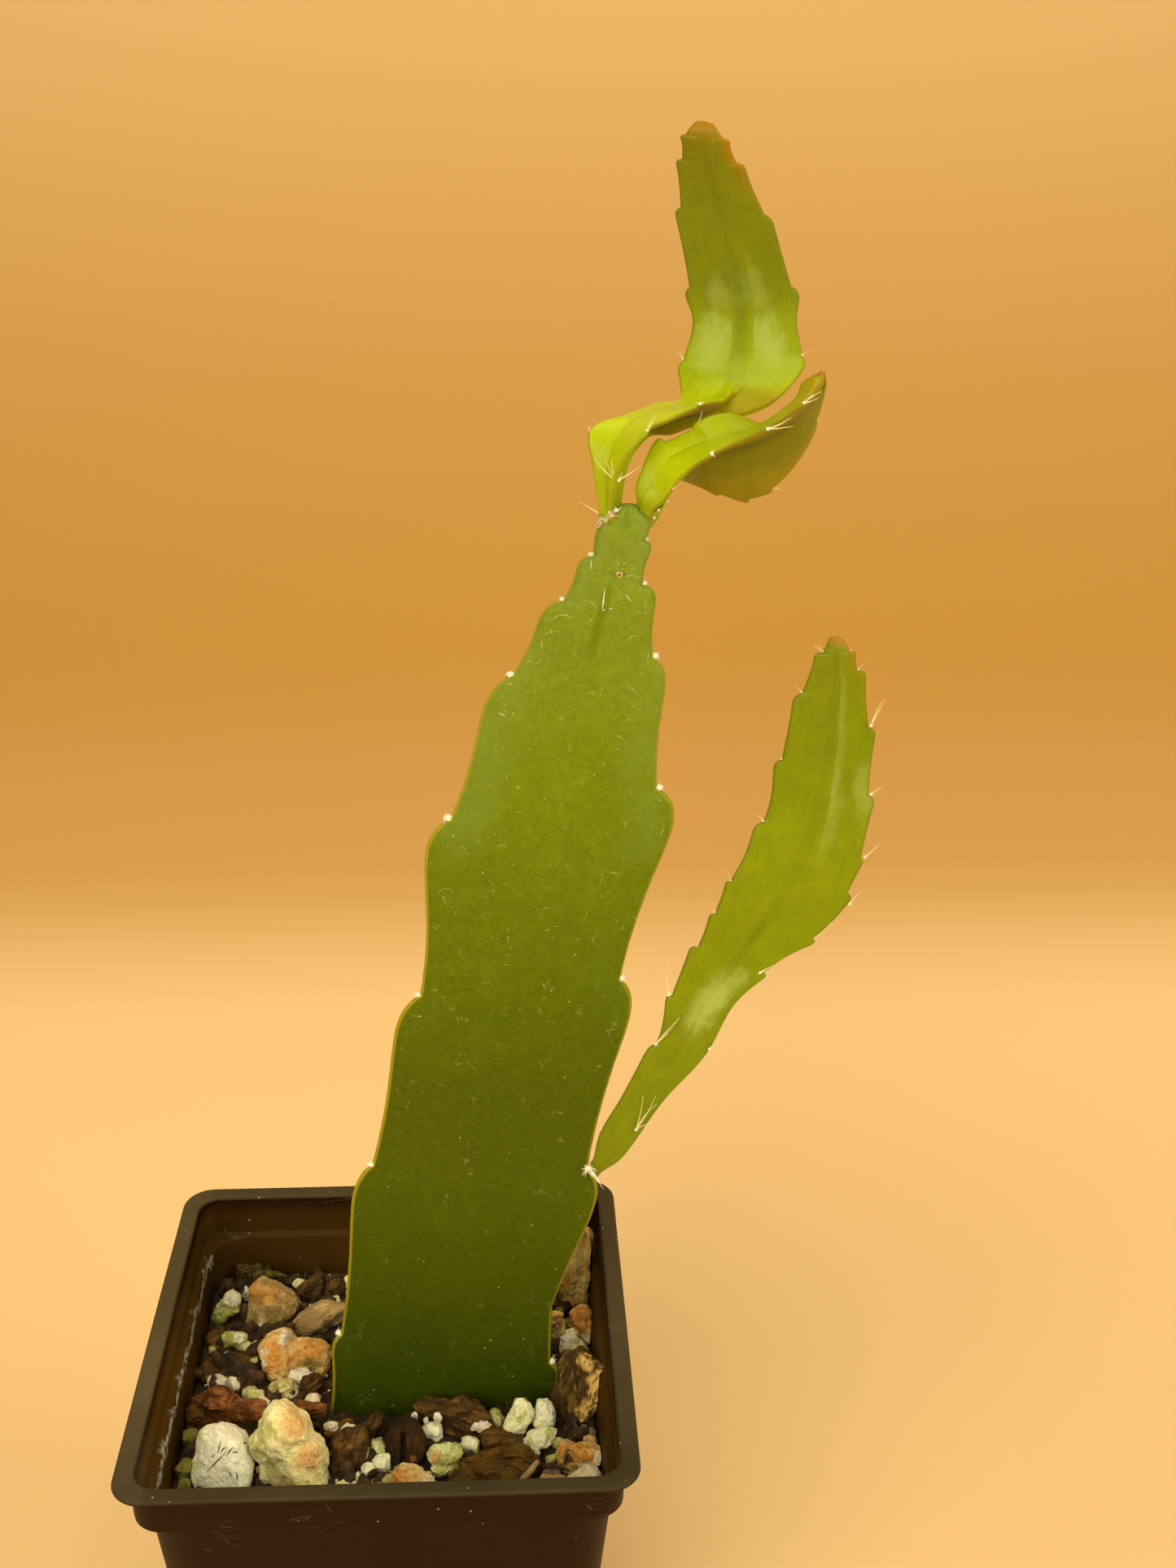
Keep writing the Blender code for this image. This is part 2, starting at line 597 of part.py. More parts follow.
def build_young_stem(name, stations, areoles, seed, material, swell=0.75, longest=6.5):
    stem = young_stem(stations, areoles, swell)
    keys = ring_keys(stem.first, stem.last, areoles, 1.0, (0.55, 0.92), 0.09)
    made = make_object(name, stem.shape(keys), material)
    draw = random.Random(seed)
    bristles = []
    for wing, row in enumerate(areoles):
        for key in row:
            count = draw.choice((1, 1, 2))
            out = stem.outward(wing, key)
            root = stem.margin(wing, key)
            bristles += bristle_fan(draw, root, out, stem.along(key), count, draw.uniform(0.45, 1.0) * longest)
    if name == "side_branch":
        key = SIDE_BRANCH_FACE_AREOLE
        front = Vector((0.45, -1.0, -0.1)).normalized()
        root = stem.centre(key) + front * 0.9
        bristles += bristle_fan(draw, root, front, stem.along(key), 3, longest)
    join_all(made, bristles, "UNION")
    return made


def stone_shape(centre, radii, turn, grow=0.0):
    """A rough rounded stone: a ball pushed in and out by smooth noise, then stretched."""
    shape = bmesh.new()
    bmesh.ops.create_icosphere(shape, subdivisions=2, radius=1.0)
    spin = Matrix.Rotation(math.radians(turn), 3, "Z")
    drift = Vector(centre)
    for vert in shape.verts:
        rough = 1.0 + 0.16 * noise.noise(vert.co * 1.3 + drift) + 0.05 * noise.noise(vert.co * 3.1 - drift)
        stretched = Vector(c * (r + grow) * rough for c, r in zip(vert.co, radii))
        vert.co = Vector(centre) + spin @ stretched
    return shape


def bark_shape(centre, halves, turn, grow=0.0):
    """A chip of bark: a block split into smaller faces, its corners taken in and its faces roughened."""
    shape = bmesh.new()
    bmesh.ops.create_cube(shape, size=2.0)
    bmesh.ops.subdivide_edges(shape, edges=shape.edges, cuts=2, use_grid_fill=True)
    spin = Euler([math.radians(angle) for angle in turn]).to_matrix()
    drift = Vector(centre)
    for vert in shape.verts:
        at_corner = sum(abs(c) > 0.9 for c in vert.co)
        taken_in = 1.0 - 0.07 * max(0, at_corner - 1)
        rough = taken_in * (1.0 + 0.16 * noise.noise(vert.co * 1.1 + drift))
        stretched = Vector(c * (h + grow) * rough for c, h in zip(vert.co, halves))
        vert.co = Vector(centre) + spin @ stretched
    return shape


def build_soil(material, seats, solids_in_soil):
    """The potting mix: it fills the pot, has a rough top with fused grains, and seats for what stands in it."""
    loops = []
    for height in (FLOOR_THICK + CLEARANCE, SOIL_LEVEL - 3.0):
        half = body_half(height) - WALL - CLEARANCE
        loops.append(rounded_square(half, body_radius(height) - WALL - CLEARANCE, height, SOIL_CORNER_STEPS))
    half = body_half(SOIL_LEVEL) - WALL - CLEARANCE
    radius = body_radius(SOIL_LEVEL) - WALL - CLEARANCE
    for ring in range(SOIL_RINGS):
        share = 1.0 - 0.97 * ring / (SOIL_RINGS - 1)
        loop = rounded_square(half * share, radius * share, SOIL_LEVEL, SOIL_CORNER_STEPS)
        for point in loop:
            point.z += SOIL_ROUGHNESS * noise.noise(Vector((point.x * 0.11, point.y * 0.11, 3.0)))
            point.z += 0.5 * noise.noise(Vector((point.x * 0.4, point.y * 0.4, 9.0)))
        loops.append(loop)
    shape = bmesh.new()
    loft(shape, loops)
    soil = make_object("soil", shape, material)
    draw = random.Random(GRIT_SEED)
    grains = []
    for x, y, size in PLACED_GRAINS:
        radii = [size * draw.uniform(0.85, 1.1) for _ in range(3)]
        grain = ellipsoid((x, y, SOIL_LEVEL + size * 0.4), radii, turn=(draw.uniform(0, 90), 0, draw.uniform(0, 90)))
        grains.append(make_object("perlite_grain", grain))
    while len(grains) < GRIT_GRAINS + len(PLACED_GRAINS):
        size = draw.uniform(0.9, 1.9)
        x, y = (draw.uniform(3.5 - half, half - 3.5) for _ in range(2))
        if abs(y - STEM_PLANE) < 5.0 and -17.0 < x < 36.0:
            continue
        if any(math.hypot(x - cx, y - cy) < max(rx, ry) + size for (cx, cy, _), (rx, ry, _) in solids_in_soil):
            continue
        centre = (x, y, SOIL_LEVEL + size * 0.25)
        radii = [size * draw.uniform(0.8, 1.25) for _ in range(3)]
        grain = ellipsoid(centre, radii, turn=(draw.uniform(0, 90), draw.uniform(0, 90), draw.uniform(0, 90)))
        grains.append(make_object("grit_grain", grain))
    join_all(soil, grains, "UNION")
    join_all(soil, seats, "DIFFERENCE")
    keep_largest_body(soil)
    return soil


def main():
    clear_scene()
    plastic = make_material("pot_plastic", (0.035, 0.03, 0.022), 0.45)
    earth = make_material("potting_mix", (0.06, 0.035, 0.018), 0.95)
    old_green = make_material("old_stem_skin", (0.13, 0.2, 0.03), 0.5)
    young_green = make_material("young_stem_skin", (0.32, 0.38, 0.03), 0.4)
    stone_materials = {key: make_material("stone_" + key, rgb, 0.9) for key, rgb in STONE_COLOURS.items()}
    bark_materials = {key: make_material("bark_" + key, rgb, 0.85) for key, rgb in BARK_COLOURS.items()}

    build_pot(plastic)
    _, stem, buried = build_main_stem(old_green)
    build_young_stem("side_branch", SIDE_BRANCH, SIDE_BRANCH_AREOLES, 21, young_green)
    build_young_stem("crown_shoot_left", CROWN_SHOOT_LEFT, CROWN_SHOOT_LEFT_AREOLES, 22, young_green, 0.6, 5.0)
    build_young_stem("crown_shoot_right", CROWN_SHOOT_RIGHT, CROWN_SHOOT_RIGHT_AREOLES, 23, young_green, 0.55, 5.0)

    seats = []
    for name, centre, radii, turn, key in STONES:
        make_object(name, stone_shape(centre, radii, turn), stone_materials[key])
        seats.append(make_object(name + "_seat", stone_shape(centre, radii, turn, CLEARANCE * 1.4)))
    for name, centre, halves, turn, key in BARK:
        make_object(name, bark_shape(centre, halves, turn), bark_materials[key])
        seats.append(make_object(name + "_seat", bark_shape(centre, halves, turn, CLEARANCE * 1.4)))
    stem_hole = stem.shape(buried, grow=CLEARANCE)
    lowest = min(vert.co.z for vert in stem_hole.verts)
    for vert in stem_hole.verts:
        if vert.co.z < lowest + 0.01:
            vert.co.z -= CLEARANCE * 2
    seats.append(make_object("stem_hole_cutter", stem_hole))
    solids_in_soil = [(centre, radii) for _, centre, radii, _, _ in STONES + BARK]
    build_soil(earth, seats, solids_in_soil)


main()
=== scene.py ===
# %% [markdown]
# # A young orchid cactus in its nursery pot
#
# The real object is one old, flat, lobed stem that stands in gritty potting mix, with a young side branch on
# its right margin and two young shoots on its crown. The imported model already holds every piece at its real
# size. This lesson dresses those pieces: each one is built again with a finer skin over the same form, and
# gets a finish.
#
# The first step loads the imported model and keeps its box, because nothing made here may grow past it.

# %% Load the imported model
import bmesh
import bpy
import math
import random
from mathutils import Euler, Matrix, Vector, noise
from mathutils.bvhtree import BVHTree


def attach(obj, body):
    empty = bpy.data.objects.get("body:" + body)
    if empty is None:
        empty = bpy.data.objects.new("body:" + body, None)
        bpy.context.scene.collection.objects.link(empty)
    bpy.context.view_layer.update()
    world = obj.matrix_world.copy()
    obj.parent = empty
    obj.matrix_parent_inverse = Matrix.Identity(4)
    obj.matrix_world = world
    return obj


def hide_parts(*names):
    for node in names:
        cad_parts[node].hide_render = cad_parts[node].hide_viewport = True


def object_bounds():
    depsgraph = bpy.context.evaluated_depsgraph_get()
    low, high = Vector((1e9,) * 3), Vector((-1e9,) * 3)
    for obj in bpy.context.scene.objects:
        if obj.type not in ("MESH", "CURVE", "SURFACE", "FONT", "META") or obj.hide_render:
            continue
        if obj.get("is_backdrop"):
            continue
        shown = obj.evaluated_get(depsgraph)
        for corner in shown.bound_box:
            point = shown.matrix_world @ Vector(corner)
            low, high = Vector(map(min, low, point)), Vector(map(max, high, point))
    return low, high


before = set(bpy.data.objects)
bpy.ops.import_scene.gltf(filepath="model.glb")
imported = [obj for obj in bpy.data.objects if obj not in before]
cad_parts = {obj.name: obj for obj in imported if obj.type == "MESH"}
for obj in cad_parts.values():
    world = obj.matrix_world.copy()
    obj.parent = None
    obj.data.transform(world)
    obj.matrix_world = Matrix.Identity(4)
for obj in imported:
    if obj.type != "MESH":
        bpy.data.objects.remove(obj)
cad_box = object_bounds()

print("nodes in the model:", len(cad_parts))

# %% [markdown]
# ## Sizes
#
# Sizes are worked out in millimetres, as a grower would measure them, and are turned into metres in one
# place, where a mesh is made. The origin is the middle of the pot's underside, +Z is up and the stem's broad
# face looks to -Y.

# %% Units and shared sizes
MM = 0.001
POT_HEIGHT = 89.0
RIM_HALF = 44.45
RIM_RADIUS = 6.0
FLANGE_WIDTH = 3.25
FLANGE_THICK = 1.1
WALL = 1.1
COLLAR_HALF = 41.6
COLLAR_RADIUS = 5.2
COLLAR_FOOT = 79.5
BODY_TOP_HALF = 40.4
BODY_TOP_RADIUS = 9.5
BODY_FOOT_HALF = 32.5
BODY_FOOT_RADIUS = 8.0
FLOOR_THICK = 1.6
DRAIN_HOLE_RADIUS = 4.2
DRAIN_HOLE_OUT = 19.5
SOIL_LEVEL = 71.5
STEM_PLANE = -3.0


LAMP = (1.0, 0.87, 0.47)
BRIGHTEST_PAINT = 0.9


def screen_colour(red, green, blue):
    """A shader's linear values for the paint that shows this colour, 0 to 255, under the warm lamps."""
    linear = [((c / 255 + 0.055) / 1.055) ** 2.4 if c > 10 else c / 3294.6 for c in (red, green, blue)]
    return tuple(min(BRIGHTEST_PAINT, value / lamp) for value, lamp in zip(linear, LAMP))


def darkened(colour, share):
    """That share of a colour's light."""
    return tuple(value * share for value in colour)


print("olive of the old skin:", [round(c, 3) for c in screen_colour(120, 125, 12)])

# %% [markdown]
# ## Camera
#
# The camera stands in front of the plant, a little above it, and looks down on the mix. Its place and its
# lens come from the four corners of the pot's rim: a square of known size fixes where the camera has to be.
# The lens is measured against the picture's long side, so the sensor is fitted to its height.

# %% Camera
def into_scene(name, data):
    """A new object with that data, linked into the scene."""
    made = bpy.data.objects.new(name, data)
    bpy.context.scene.collection.objects.link(made)
    return made


CAMERA_PLACE = Vector((23.18, -281.74, 314.26))
CAMERA_PITCH = math.radians(22.495)
CAMERA_YAW = math.radians(-2.76)
CAMERA_ROLL = math.radians(0.253)
PICTURE_HEIGHT = 1927
FOCAL_PIXELS = 2263.4
SENSOR = 36.0

ahead = Vector((
    -math.sin(CAMERA_YAW) * math.cos(CAMERA_PITCH),
    math.cos(CAMERA_YAW) * math.cos(CAMERA_PITCH),
    -math.sin(CAMERA_PITCH),
))
level = Vector((math.cos(CAMERA_YAW), math.sin(CAMERA_YAW), 0.0))
upright = level.cross(ahead)
rightward = level * math.cos(CAMERA_ROLL) + upright * math.sin(CAMERA_ROLL)
upward = upright * math.cos(CAMERA_ROLL) - level * math.sin(CAMERA_ROLL)

lens_data = bpy.data.cameras.new("camera")
lens_data.sensor_fit = "VERTICAL"
lens_data.sensor_width = SENSOR
lens_data.sensor_height = SENSOR
lens_data.lens = FOCAL_PIXELS * SENSOR / PICTURE_HEIGHT
lens_data.clip_start = 0.01
lens_data.clip_end = 50.0
camera = into_scene("camera", lens_data)
turn = Matrix((rightward, upward, -ahead)).transposed().to_4x4()
camera.matrix_world = Matrix.Translation(CAMERA_PLACE * MM) @ turn
bpy.context.scene.camera = camera
print("lens in millimetres:", round(lens_data.lens, 2))

# %% [markdown]
# ## Shader maths as Python expressions
#
# A finish is a small sum: a base colour, plus a stain where a noise is high, minus a shade in the creases.
# Wiring that by hand takes dozens of lines of sockets. The two classes here let it be written as a sum
# instead. A Wire is one output socket. Adding, subtracting, multiplying or dividing wires makes the Math node
# that does it, and a colour or a vector goes through a Mix or a Vector Math node, because a Math node would
# turn it grey. A Finish is the material itself, and its node method makes every other kind of node.

# %% Wires and finishes
class Wire:
    """One output socket of a shader node."""

    def __init__(self, finish, socket):
        self.finish = finish
        self.socket = socket

    def __add__(self, other):
        return self.finish.maths("ADD", self, other)

    def __radd__(self, other):
        return self.finish.maths("ADD", other, self)

    def __sub__(self, other):
        return self.finish.maths("SUBTRACT", self, other)

    def __rsub__(self, other):
        return self.finish.maths("SUBTRACT", other, self)

    def __mul__(self, other):
        return self.finish.maths("MULTIPLY", self, other)

    def __rmul__(self, other):
        return self.finish.maths("MULTIPLY", other, self)

    def __truediv__(self, other):
        return self.finish.maths("DIVIDE", self, other)

    def __pow__(self, other):
        return self.finish.maths("POWER", self, other)


class Finish:
    """A material in the making, on one Principled shader."""

    def __init__(self, name, **constants):
        self.material = bpy.data.materials.new(name)
        self.material.use_nodes = True
        self.tree = self.material.node_tree
        self.shader = self.tree.nodes["Principled BSDF"]
        self.set(**constants)
        self.where = self.node("TexCoord", output="Object") * (1 / MM)

    def plug(self, socket, value):
        if isinstance(value, Wire):
            self.tree.links.new(value.socket, socket)
        elif socket.type == "RGBA":
            socket.default_value = (*value, 1.0) if len(value) == 3 else value
        else:
            socket.default_value = value

    def node(self, kind, settings=None, output=0, **sockets):
        """Any node: its settings are set first, then its sockets by name or, as _0, _1, by number."""
        made = self.tree.nodes.new("ShaderNode" + kind)
        for name, value in (settings or {}).items():
            if name == "stops":
                ramp = made.color_ramp
                while len(ramp.elements) < len(value):
                    ramp.elements.new(1.0)
                for stop, (place, colour) in zip(ramp.elements, value):
                    stop.position = place
                    stop.color = (*colour, 1.0)
            else:
                setattr(made, name, value)
        ins = [socket for socket in made.inputs if socket.enabled]
        outs = [socket for socket in made.outputs if socket.enabled]
        for name, value in sockets.items():
            wanted = name.replace("_", " ").strip()
            number = int(wanted) if wanted.isdigit() else None
            found = ins[number] if number is not None else next(s for s in ins if s.name == wanted)
            self.plug(found, value)
        chosen = outs[output] if isinstance(output, int) else next(s for s in outs if s.name == output)
        return Wire(self, chosen)

    def maths(self, operation, first, second):
        """One sum on two parts, each of them a wire, a number, a vector or a colour."""
        kinds = {part.socket.type for part in (first, second) if isinstance(part, Wire)}
        if "RGBA" in kinds:
            sides = [self.grey(part) for part in (first, second)]
            settings = {"data_type": "RGBA", "blend_type": operation}
            return self.node("Mix", settings, _0=1.0, _1=sides[0], _2=sides[1])
        if "VECTOR" in kinds:
            sides = [(part,) * 3 if isinstance(part, (int, float)) else part for part in (first, second)]
            return self.node("VectorMath", {"operation": operation}, _0=sides[0], _1=sides[1])
        return self.node("Math", {"operation": operation}, _0=first, _1=second)

    def grey(self, part):
        return (part, part, part) if isinstance(part, (int, float)) else part

    def blend(self, share, first, second):
        """From the first colour to the second, by a share from 0 to 1."""
        return self.node("Mix", {"data_type": "RGBA"}, _0=share, _1=first, _2=second)

    def rise(self, value, low, high):
        """0 below the low value, 1 above the high one, and a soft step between them."""
        settings = {"interpolation_type": "SMOOTHSTEP"}
        return self.node("MapRange", settings, _0=value, _1=low, _2=high, _3=0.0, _4=1.0)

    def larger(self, first, second):
        return self.node("Math", {"operation": "MAXIMUM"}, _0=first, _1=second)

    def cloud(self, size, detail=4.0, rough=0.55, where=None):
        """Soft noise whose blotches are about that many millimetres across."""
        place = where or self.where
        return self.node("TexNoise", Vector=place, Scale=1 / size, Detail=detail, Roughness=rough)

    def cells(self, size, feature="F1", where=None, output=0):
        """Distances in a field of cells that are about that many millimetres across."""
        settings = {"feature": feature}
        return self.node("TexVoronoi", settings, output=output, Vector=where or self.where, Scale=1 / size)

    def axes(self, vector=None):
        split = self.node("SeparateXYZ", Vector=vector or self.where)
        outs = split.socket.node.outputs
        return [Wire(self, outs[n]) for n in range(3)]

    def mark(self, name):
        """A number that was written on the points of the mesh, such as how near a margin is."""
        return self.node("Attribute", {"attribute_name": name}, output="Fac")

    def bump(self, height, depth, strength=1.0, over=None):
        """Relief of that depth in millimetres, over another relief if there is one."""
        more = {"Normal": over} if over else {}
        return self.node("Bump", Strength=strength, Distance=depth * MM, Height=height, **more)

    def set(self, **sockets):
        """Values or wires for the shader's own sockets, such as Base_Color or Roughness."""
        for name, value in sockets.items():
            self.plug(self.shader.inputs[name.replace("_", " ")], value)


print("finishes are written as sums of wires")

# %% [markdown]
# ## Floor and light
#
# The plant stands on a pale floor that sweeps up far behind it, as a roll of paper does in a studio, so that
# no horizon shows. A warm, deep painted shade lies where it begins to rise and fades higher up the wall, and
# the near right of the floor carries a little painted shade. The light is soft and a little warm: one large
# panel in front on the left, a weaker one on the right, and one overhead.

# %% The floor's finish
paper = Finish("pale_paper", Roughness=0.9)
grain = paper.cloud(0.8, detail=3)
tone = paper.cloud(400.0, detail=2)
aside, depth, height = paper.axes()
# Painted shade: warm and deep where the floor begins to rise, fading higher up the wall.
sweep = 0.75 * paper.rise(depth, 265.0, 400.0) + 0.25 * paper.rise(depth, 400.0, 600.0)
warm = sweep * (1 - 0.8 * paper.rise(height, 0.0, 480.0))
# Painted shade: the near right of the floor is a little darker.
painted_shade_near_right = paper.rise(aside, -60.0, 160.0) * (1 - paper.rise(depth, 60.0, 260.0))
floor_colour = paper.blend(tone, (0.86, 0.62, 0.405), (0.89, 0.64, 0.425)) * (1 - 0.15 * painted_shade_near_right)
paper.set(Base_Color=paper.blend(warm, floor_colour, (0.57, 0.31, 0.08)))
paper.set(Normal=paper.bump(grain, 0.05, 0.2))

# %% The floor and its sweep
FLOOR_FRONT = -3000.0
SWEEP_START = 420.0
SWEEP_RADIUS = 500.0
FLOOR_SIDE = 3500.0
SWEEP_STEPS = 24
WALL_TOP = 3500.0

floor_line = [(FLOOR_FRONT, 0.0), (SWEEP_START, 0.0)]
for step in range(1, SWEEP_STEPS + 1):
    angle = math.pi / 2 * step / SWEEP_STEPS
    floor_line.append((SWEEP_START + SWEEP_RADIUS * math.sin(angle), SWEEP_RADIUS * (1 - math.cos(angle))))
floor_line.append((SWEEP_START + SWEEP_RADIUS, WALL_TOP))
floor_points = [(x * MM, y * MM, z * MM) for y, z in floor_line for x in (-FLOOR_SIDE, FLOOR_SIDE)]
floor_faces = [(2 * n, 2 * n + 1, 2 * n + 3, 2 * n + 2) for n in range(len(floor_line) - 1)]
floor_mesh = bpy.data.meshes.new("floor")
floor_mesh.from_pydata(floor_points, [], floor_faces)
floor_mesh.materials.append(paper.material)
floor_mesh.shade_smooth()
floor = into_scene("floor", floor_mesh)
floor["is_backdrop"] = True


# %% Lights
def soft_panel(name, place, aim, width, height, power, colour):
    """A flat studio light that shines from its place towards a point, both in millimetres."""
    data = bpy.data.lights.new(name, "AREA")
    data.shape = "RECTANGLE"
    data.size = width * MM
    data.size_y = height * MM
    data.energy = power
    data.color = colour
    panel = into_scene(name, data)
    panel.location = Vector(place) * MM
    panel.rotation_mode = "QUATERNION"
    panel.rotation_quaternion = (Vector(aim) - Vector(place)).to_track_quat("-Z", "Y")


soft_panel("front_left_panel", (-500, -1000, 850), (20, 0, 140), 900, 900, 15.5, LAMP)
soft_panel("right_panel", (1000, -500, 700), (20, 0, 140), 800, 800, 10.0, LAMP)
soft_panel("top_panel", (0, 150, 1300), (20, 0, 100), 900, 900, 6.0, LAMP)

studio = bpy.data.worlds.new("studio")
studio.use_nodes = True
studio.node_tree.nodes["Background"].inputs["Color"].default_value = (*LAMP, 1.0)
studio.node_tree.nodes["Background"].inputs["Strength"].default_value = 0.17
bpy.context.scene.world = studio
bpy.context.scene.view_settings.view_transform = "Standard"
bpy.context.scene.view_settings.look = "None"
print("three panels and a warm room")

# %% [markdown]
# ## Gathering a mesh
#
# Most pieces here are grown from rings of points, from thin strands or from roughened balls. One small class
# gathers such points and faces in millimetres, together with the finish of each face and the marks that a
# finish reads, and makes one mesh of them at the end. Gathering first is quicker than editing an object many
# times.

# %% The gatherer
class Gathered:
    """Points and faces of one piece, in millimetres."""

    def __init__(self):
        self.points = []
        self.faces = []
        self.finish_numbers = []
        self.marks = {}

    def add(self, points, faces, finish_number=0, **marks):
        """Add some points and faces; a mark is one number for each point, or one for all of them."""
        start = len(self.points)
        self.points.extend(points)
        self.faces.extend(tuple(start + n for n in face) for face in faces)
        self.finish_numbers.extend([finish_number] * len(faces))
        for name in set(self.marks) | set(marks):
            column = self.marks.setdefault(name, [0.0] * start)
            value = marks.get(name, 0.0)
            column.extend([value] * len(points) if isinstance(value, (int, float)) else value)

    def skin(self, rings, finish_number=0, **marks):
        """Skin a row of closed rings with the same number of points, and close both ends with a fan."""
        count = len(rings[0])
        points = [point for ring in rings for point in ring]
        faces = []
        for row in range(len(rings) - 1):
            for n in range(count):
                m = (n + 1) % count
                faces.append((row * count + n, row * count + m, (row + 1) * count + m, (row + 1) * count + n))
        last = (len(rings) - 1) * count
        for first, ring, back in ((0, rings[0], True), (last, rings[-1], False)):
            middle = sum((Vector(point) for point in ring), Vector()) / count
            hub = len(points)
            points.append(middle)
            for n in range(count):
                m = (n + 1) % count
                faces.append((first + m, first + n, hub) if back else (first + n, first + m, hub))
            for column in marks.values():
                if isinstance(column, list):
                    column.append(column[first])
        self.add(points, faces, finish_number, **marks)

    def strand(self, path, radii, sides=4, finish_number=0, **marks):
        """A thin round strand along a path, with a radius for each point of it."""
        rings = []
        across = None
        for n, point in enumerate(path):
            along = (path[min(n + 1, len(path) - 1)] - path[max(n - 1, 0)]).normalized()
            if across is None:
                across = along.orthogonal().normalized()
            across = (across - along * across.dot(along)).normalized()
            other = along.cross(across)
            turns = [math.tau * k / sides for k in range(sides)]
            rings.append([point + (across * math.cos(a) + other * math.sin(a)) * radii[n] for a in turns])
        self.skin(rings, finish_number, **marks)

    def piece(self, name, finishes):
        """Make the object in metres, and let it ride on the plant's one body."""
        mesh = bpy.data.meshes.new(name)
        mesh.from_pydata([Vector(point) * MM for point in self.points], [], self.faces)
        for finish in finishes:
            mesh.materials.append(finish.material)
        mesh.polygons.foreach_set("material_index", self.finish_numbers)
        mesh.polygons.foreach_set("use_smooth", [True] * len(self.faces))
        for mark, column in self.marks.items():
            mesh.attributes.new(mark, "FLOAT", "POINT").data.foreach_set("value", column)
        mesh.update()
        made = into_scene(name, mesh)
        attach(made, "root")
        triangles = sum(len(face) - 2 for face in self.faces)
        print(name, "has", triangles, "triangles")
        return made


# %% Balls to start from
ball_store = {}


def ball(subdivisions):
    """The points and faces of a ball of triangles with a radius of 1."""
    if subdivisions not in ball_store:
        shape = bmesh.new()
        bmesh.ops.create_icosphere(shape, subdivisions=subdivisions, radius=1.0)
        points = [vert.co.copy() for vert in shape.verts]
        faces = [tuple(vert.index for vert in face.verts) for face in shape.faces]
        shape.free()
        ball_store[subdivisions] = (points, faces)
    return ball_store[subdivisions]


print("a ball of 3 subdivisions has", len(ball(3)[0]), "points")

# %% [markdown]
# ## The pot
#
# The pot is moulded black plastic that has turned brown-grey with dust: a flat flange round the rim, a short
# upright collar under it, and a tapered body that steps in below the collar. A square with round corners,
# swept through a list of heights, gives the whole of it, inside and out. Each edge of the profile gets a few
# extra rings on a small arc, because a moulded edge is never sharp and the light draws a thin line along it.

# %% The pot's profile
CORNER_STEPS = 10
SIDE_STEPS = 14
EDGE_ROUNDING = 0.35


def body_half(height):
    """Half the width of the tapered body at a height."""
    return BODY_FOOT_HALF + (BODY_TOP_HALF - BODY_FOOT_HALF) * height / COLLAR_FOOT


def body_radius(height):
    return BODY_FOOT_RADIUS + (BODY_TOP_RADIUS - BODY_FOOT_RADIUS) * height / COLLAR_FOOT


INNER_COLLAR = COLLAR_HALF - WALL
LEDGE = COLLAR_FOOT + WALL * 0.6
FLANGE_FOOT = POT_HEIGHT - FLANGE_THICK
pot_profile = [
    (BODY_FOOT_HALF - 0.9, BODY_FOOT_RADIUS - 0.9, 0.0),
    (body_half(0.9), body_radius(0.9), 0.9),
    (BODY_TOP_HALF, BODY_TOP_RADIUS, COLLAR_FOOT),
    (COLLAR_HALF, COLLAR_RADIUS, COLLAR_FOOT + 0.4),
    (COLLAR_HALF + 0.3, COLLAR_RADIUS, FLANGE_FOOT - 0.6),
    (RIM_HALF - 0.5, RIM_RADIUS - 0.5, FLANGE_FOOT),
    (RIM_HALF, RIM_RADIUS, FLANGE_FOOT + 0.4),
    (RIM_HALF - 0.4, RIM_RADIUS - 0.4, POT_HEIGHT),
    (RIM_HALF - FLANGE_WIDTH, COLLAR_RADIUS - 0.4, POT_HEIGHT),
    (INNER_COLLAR + 0.3, COLLAR_RADIUS - 1.0, POT_HEIGHT - 0.7),
    (INNER_COLLAR, COLLAR_RADIUS - WALL, LEDGE + 0.4),
    (BODY_TOP_HALF - WALL, BODY_TOP_RADIUS - WALL, LEDGE),
    (body_half(FLOOR_THICK) - WALL, body_radius(FLOOR_THICK) - WALL, FLOOR_THICK),
]


def softened(profile, rounding):
    """The profile with each edge replaced by a short arc and each long run split up."""
    stations = [Vector(station) for station in profile]
    result = [stations[0]]
    for before, here, after in zip(stations, stations[1:], stations[2:]):
        cut_in = min(rounding, (here - before).length * 0.4)
        cut_out = min(rounding, (after - here).length * 0.4)
        start = here + (before - here).normalized() * cut_in
        end = here + (after - here).normalized() * cut_out
        for step in range(4):
            t = step / 3
            result.append(start.lerp(here, t).lerp(here.lerp(end, t), t))
    result.append(stations[-1])
    split = [result[0]]
    for before, here in zip(result, result[1:]):
        runs = max(1, math.ceil((here - before).length / 6.0))
        split += [before.lerp(here, n / runs) for n in range(1, runs + 1)]
    return split


pot_stations = softened(pot_profile, EDGE_ROUNDING)
print("rings on the pot's wall:", len(pot_stations))


# %% Rings of a square with round corners
def square_ring(half, radius, height, corner_steps=CORNER_STEPS, side_steps=SIDE_STEPS):
    points = []
    for corner in range(4):
        spin = Matrix.Rotation(corner * math.pi / 2, 3, "Z")
        for step in range(corner_steps + 1):
            angle = math.pi / 2 * step / corner_steps
            x = half - radius + radius * math.cos(angle)
            y = half - radius + radius * math.sin(angle)
            points.append(spin @ Vector((x, y, height)))
        side = 2 * (half - radius)
        for step in range(1, side_steps):
            points.append(spin @ Vector((half - radius - side * step / side_steps, half, height)))
    return points


def moulded(point):
    """A thin wall is never quite true: it wanders in and out by a few tenths of a millimetre."""
    free = point.z / POT_HEIGHT
    wander = noise.noise(Vector((point.x * 0.02, point.y * 0.02, point.z * 0.01)) + Vector((5, 1, 2)))
    return Vector((point.x * (1 + 0.004 * wander * free), point.y * (1 + 0.004 * wander * free), point.z))
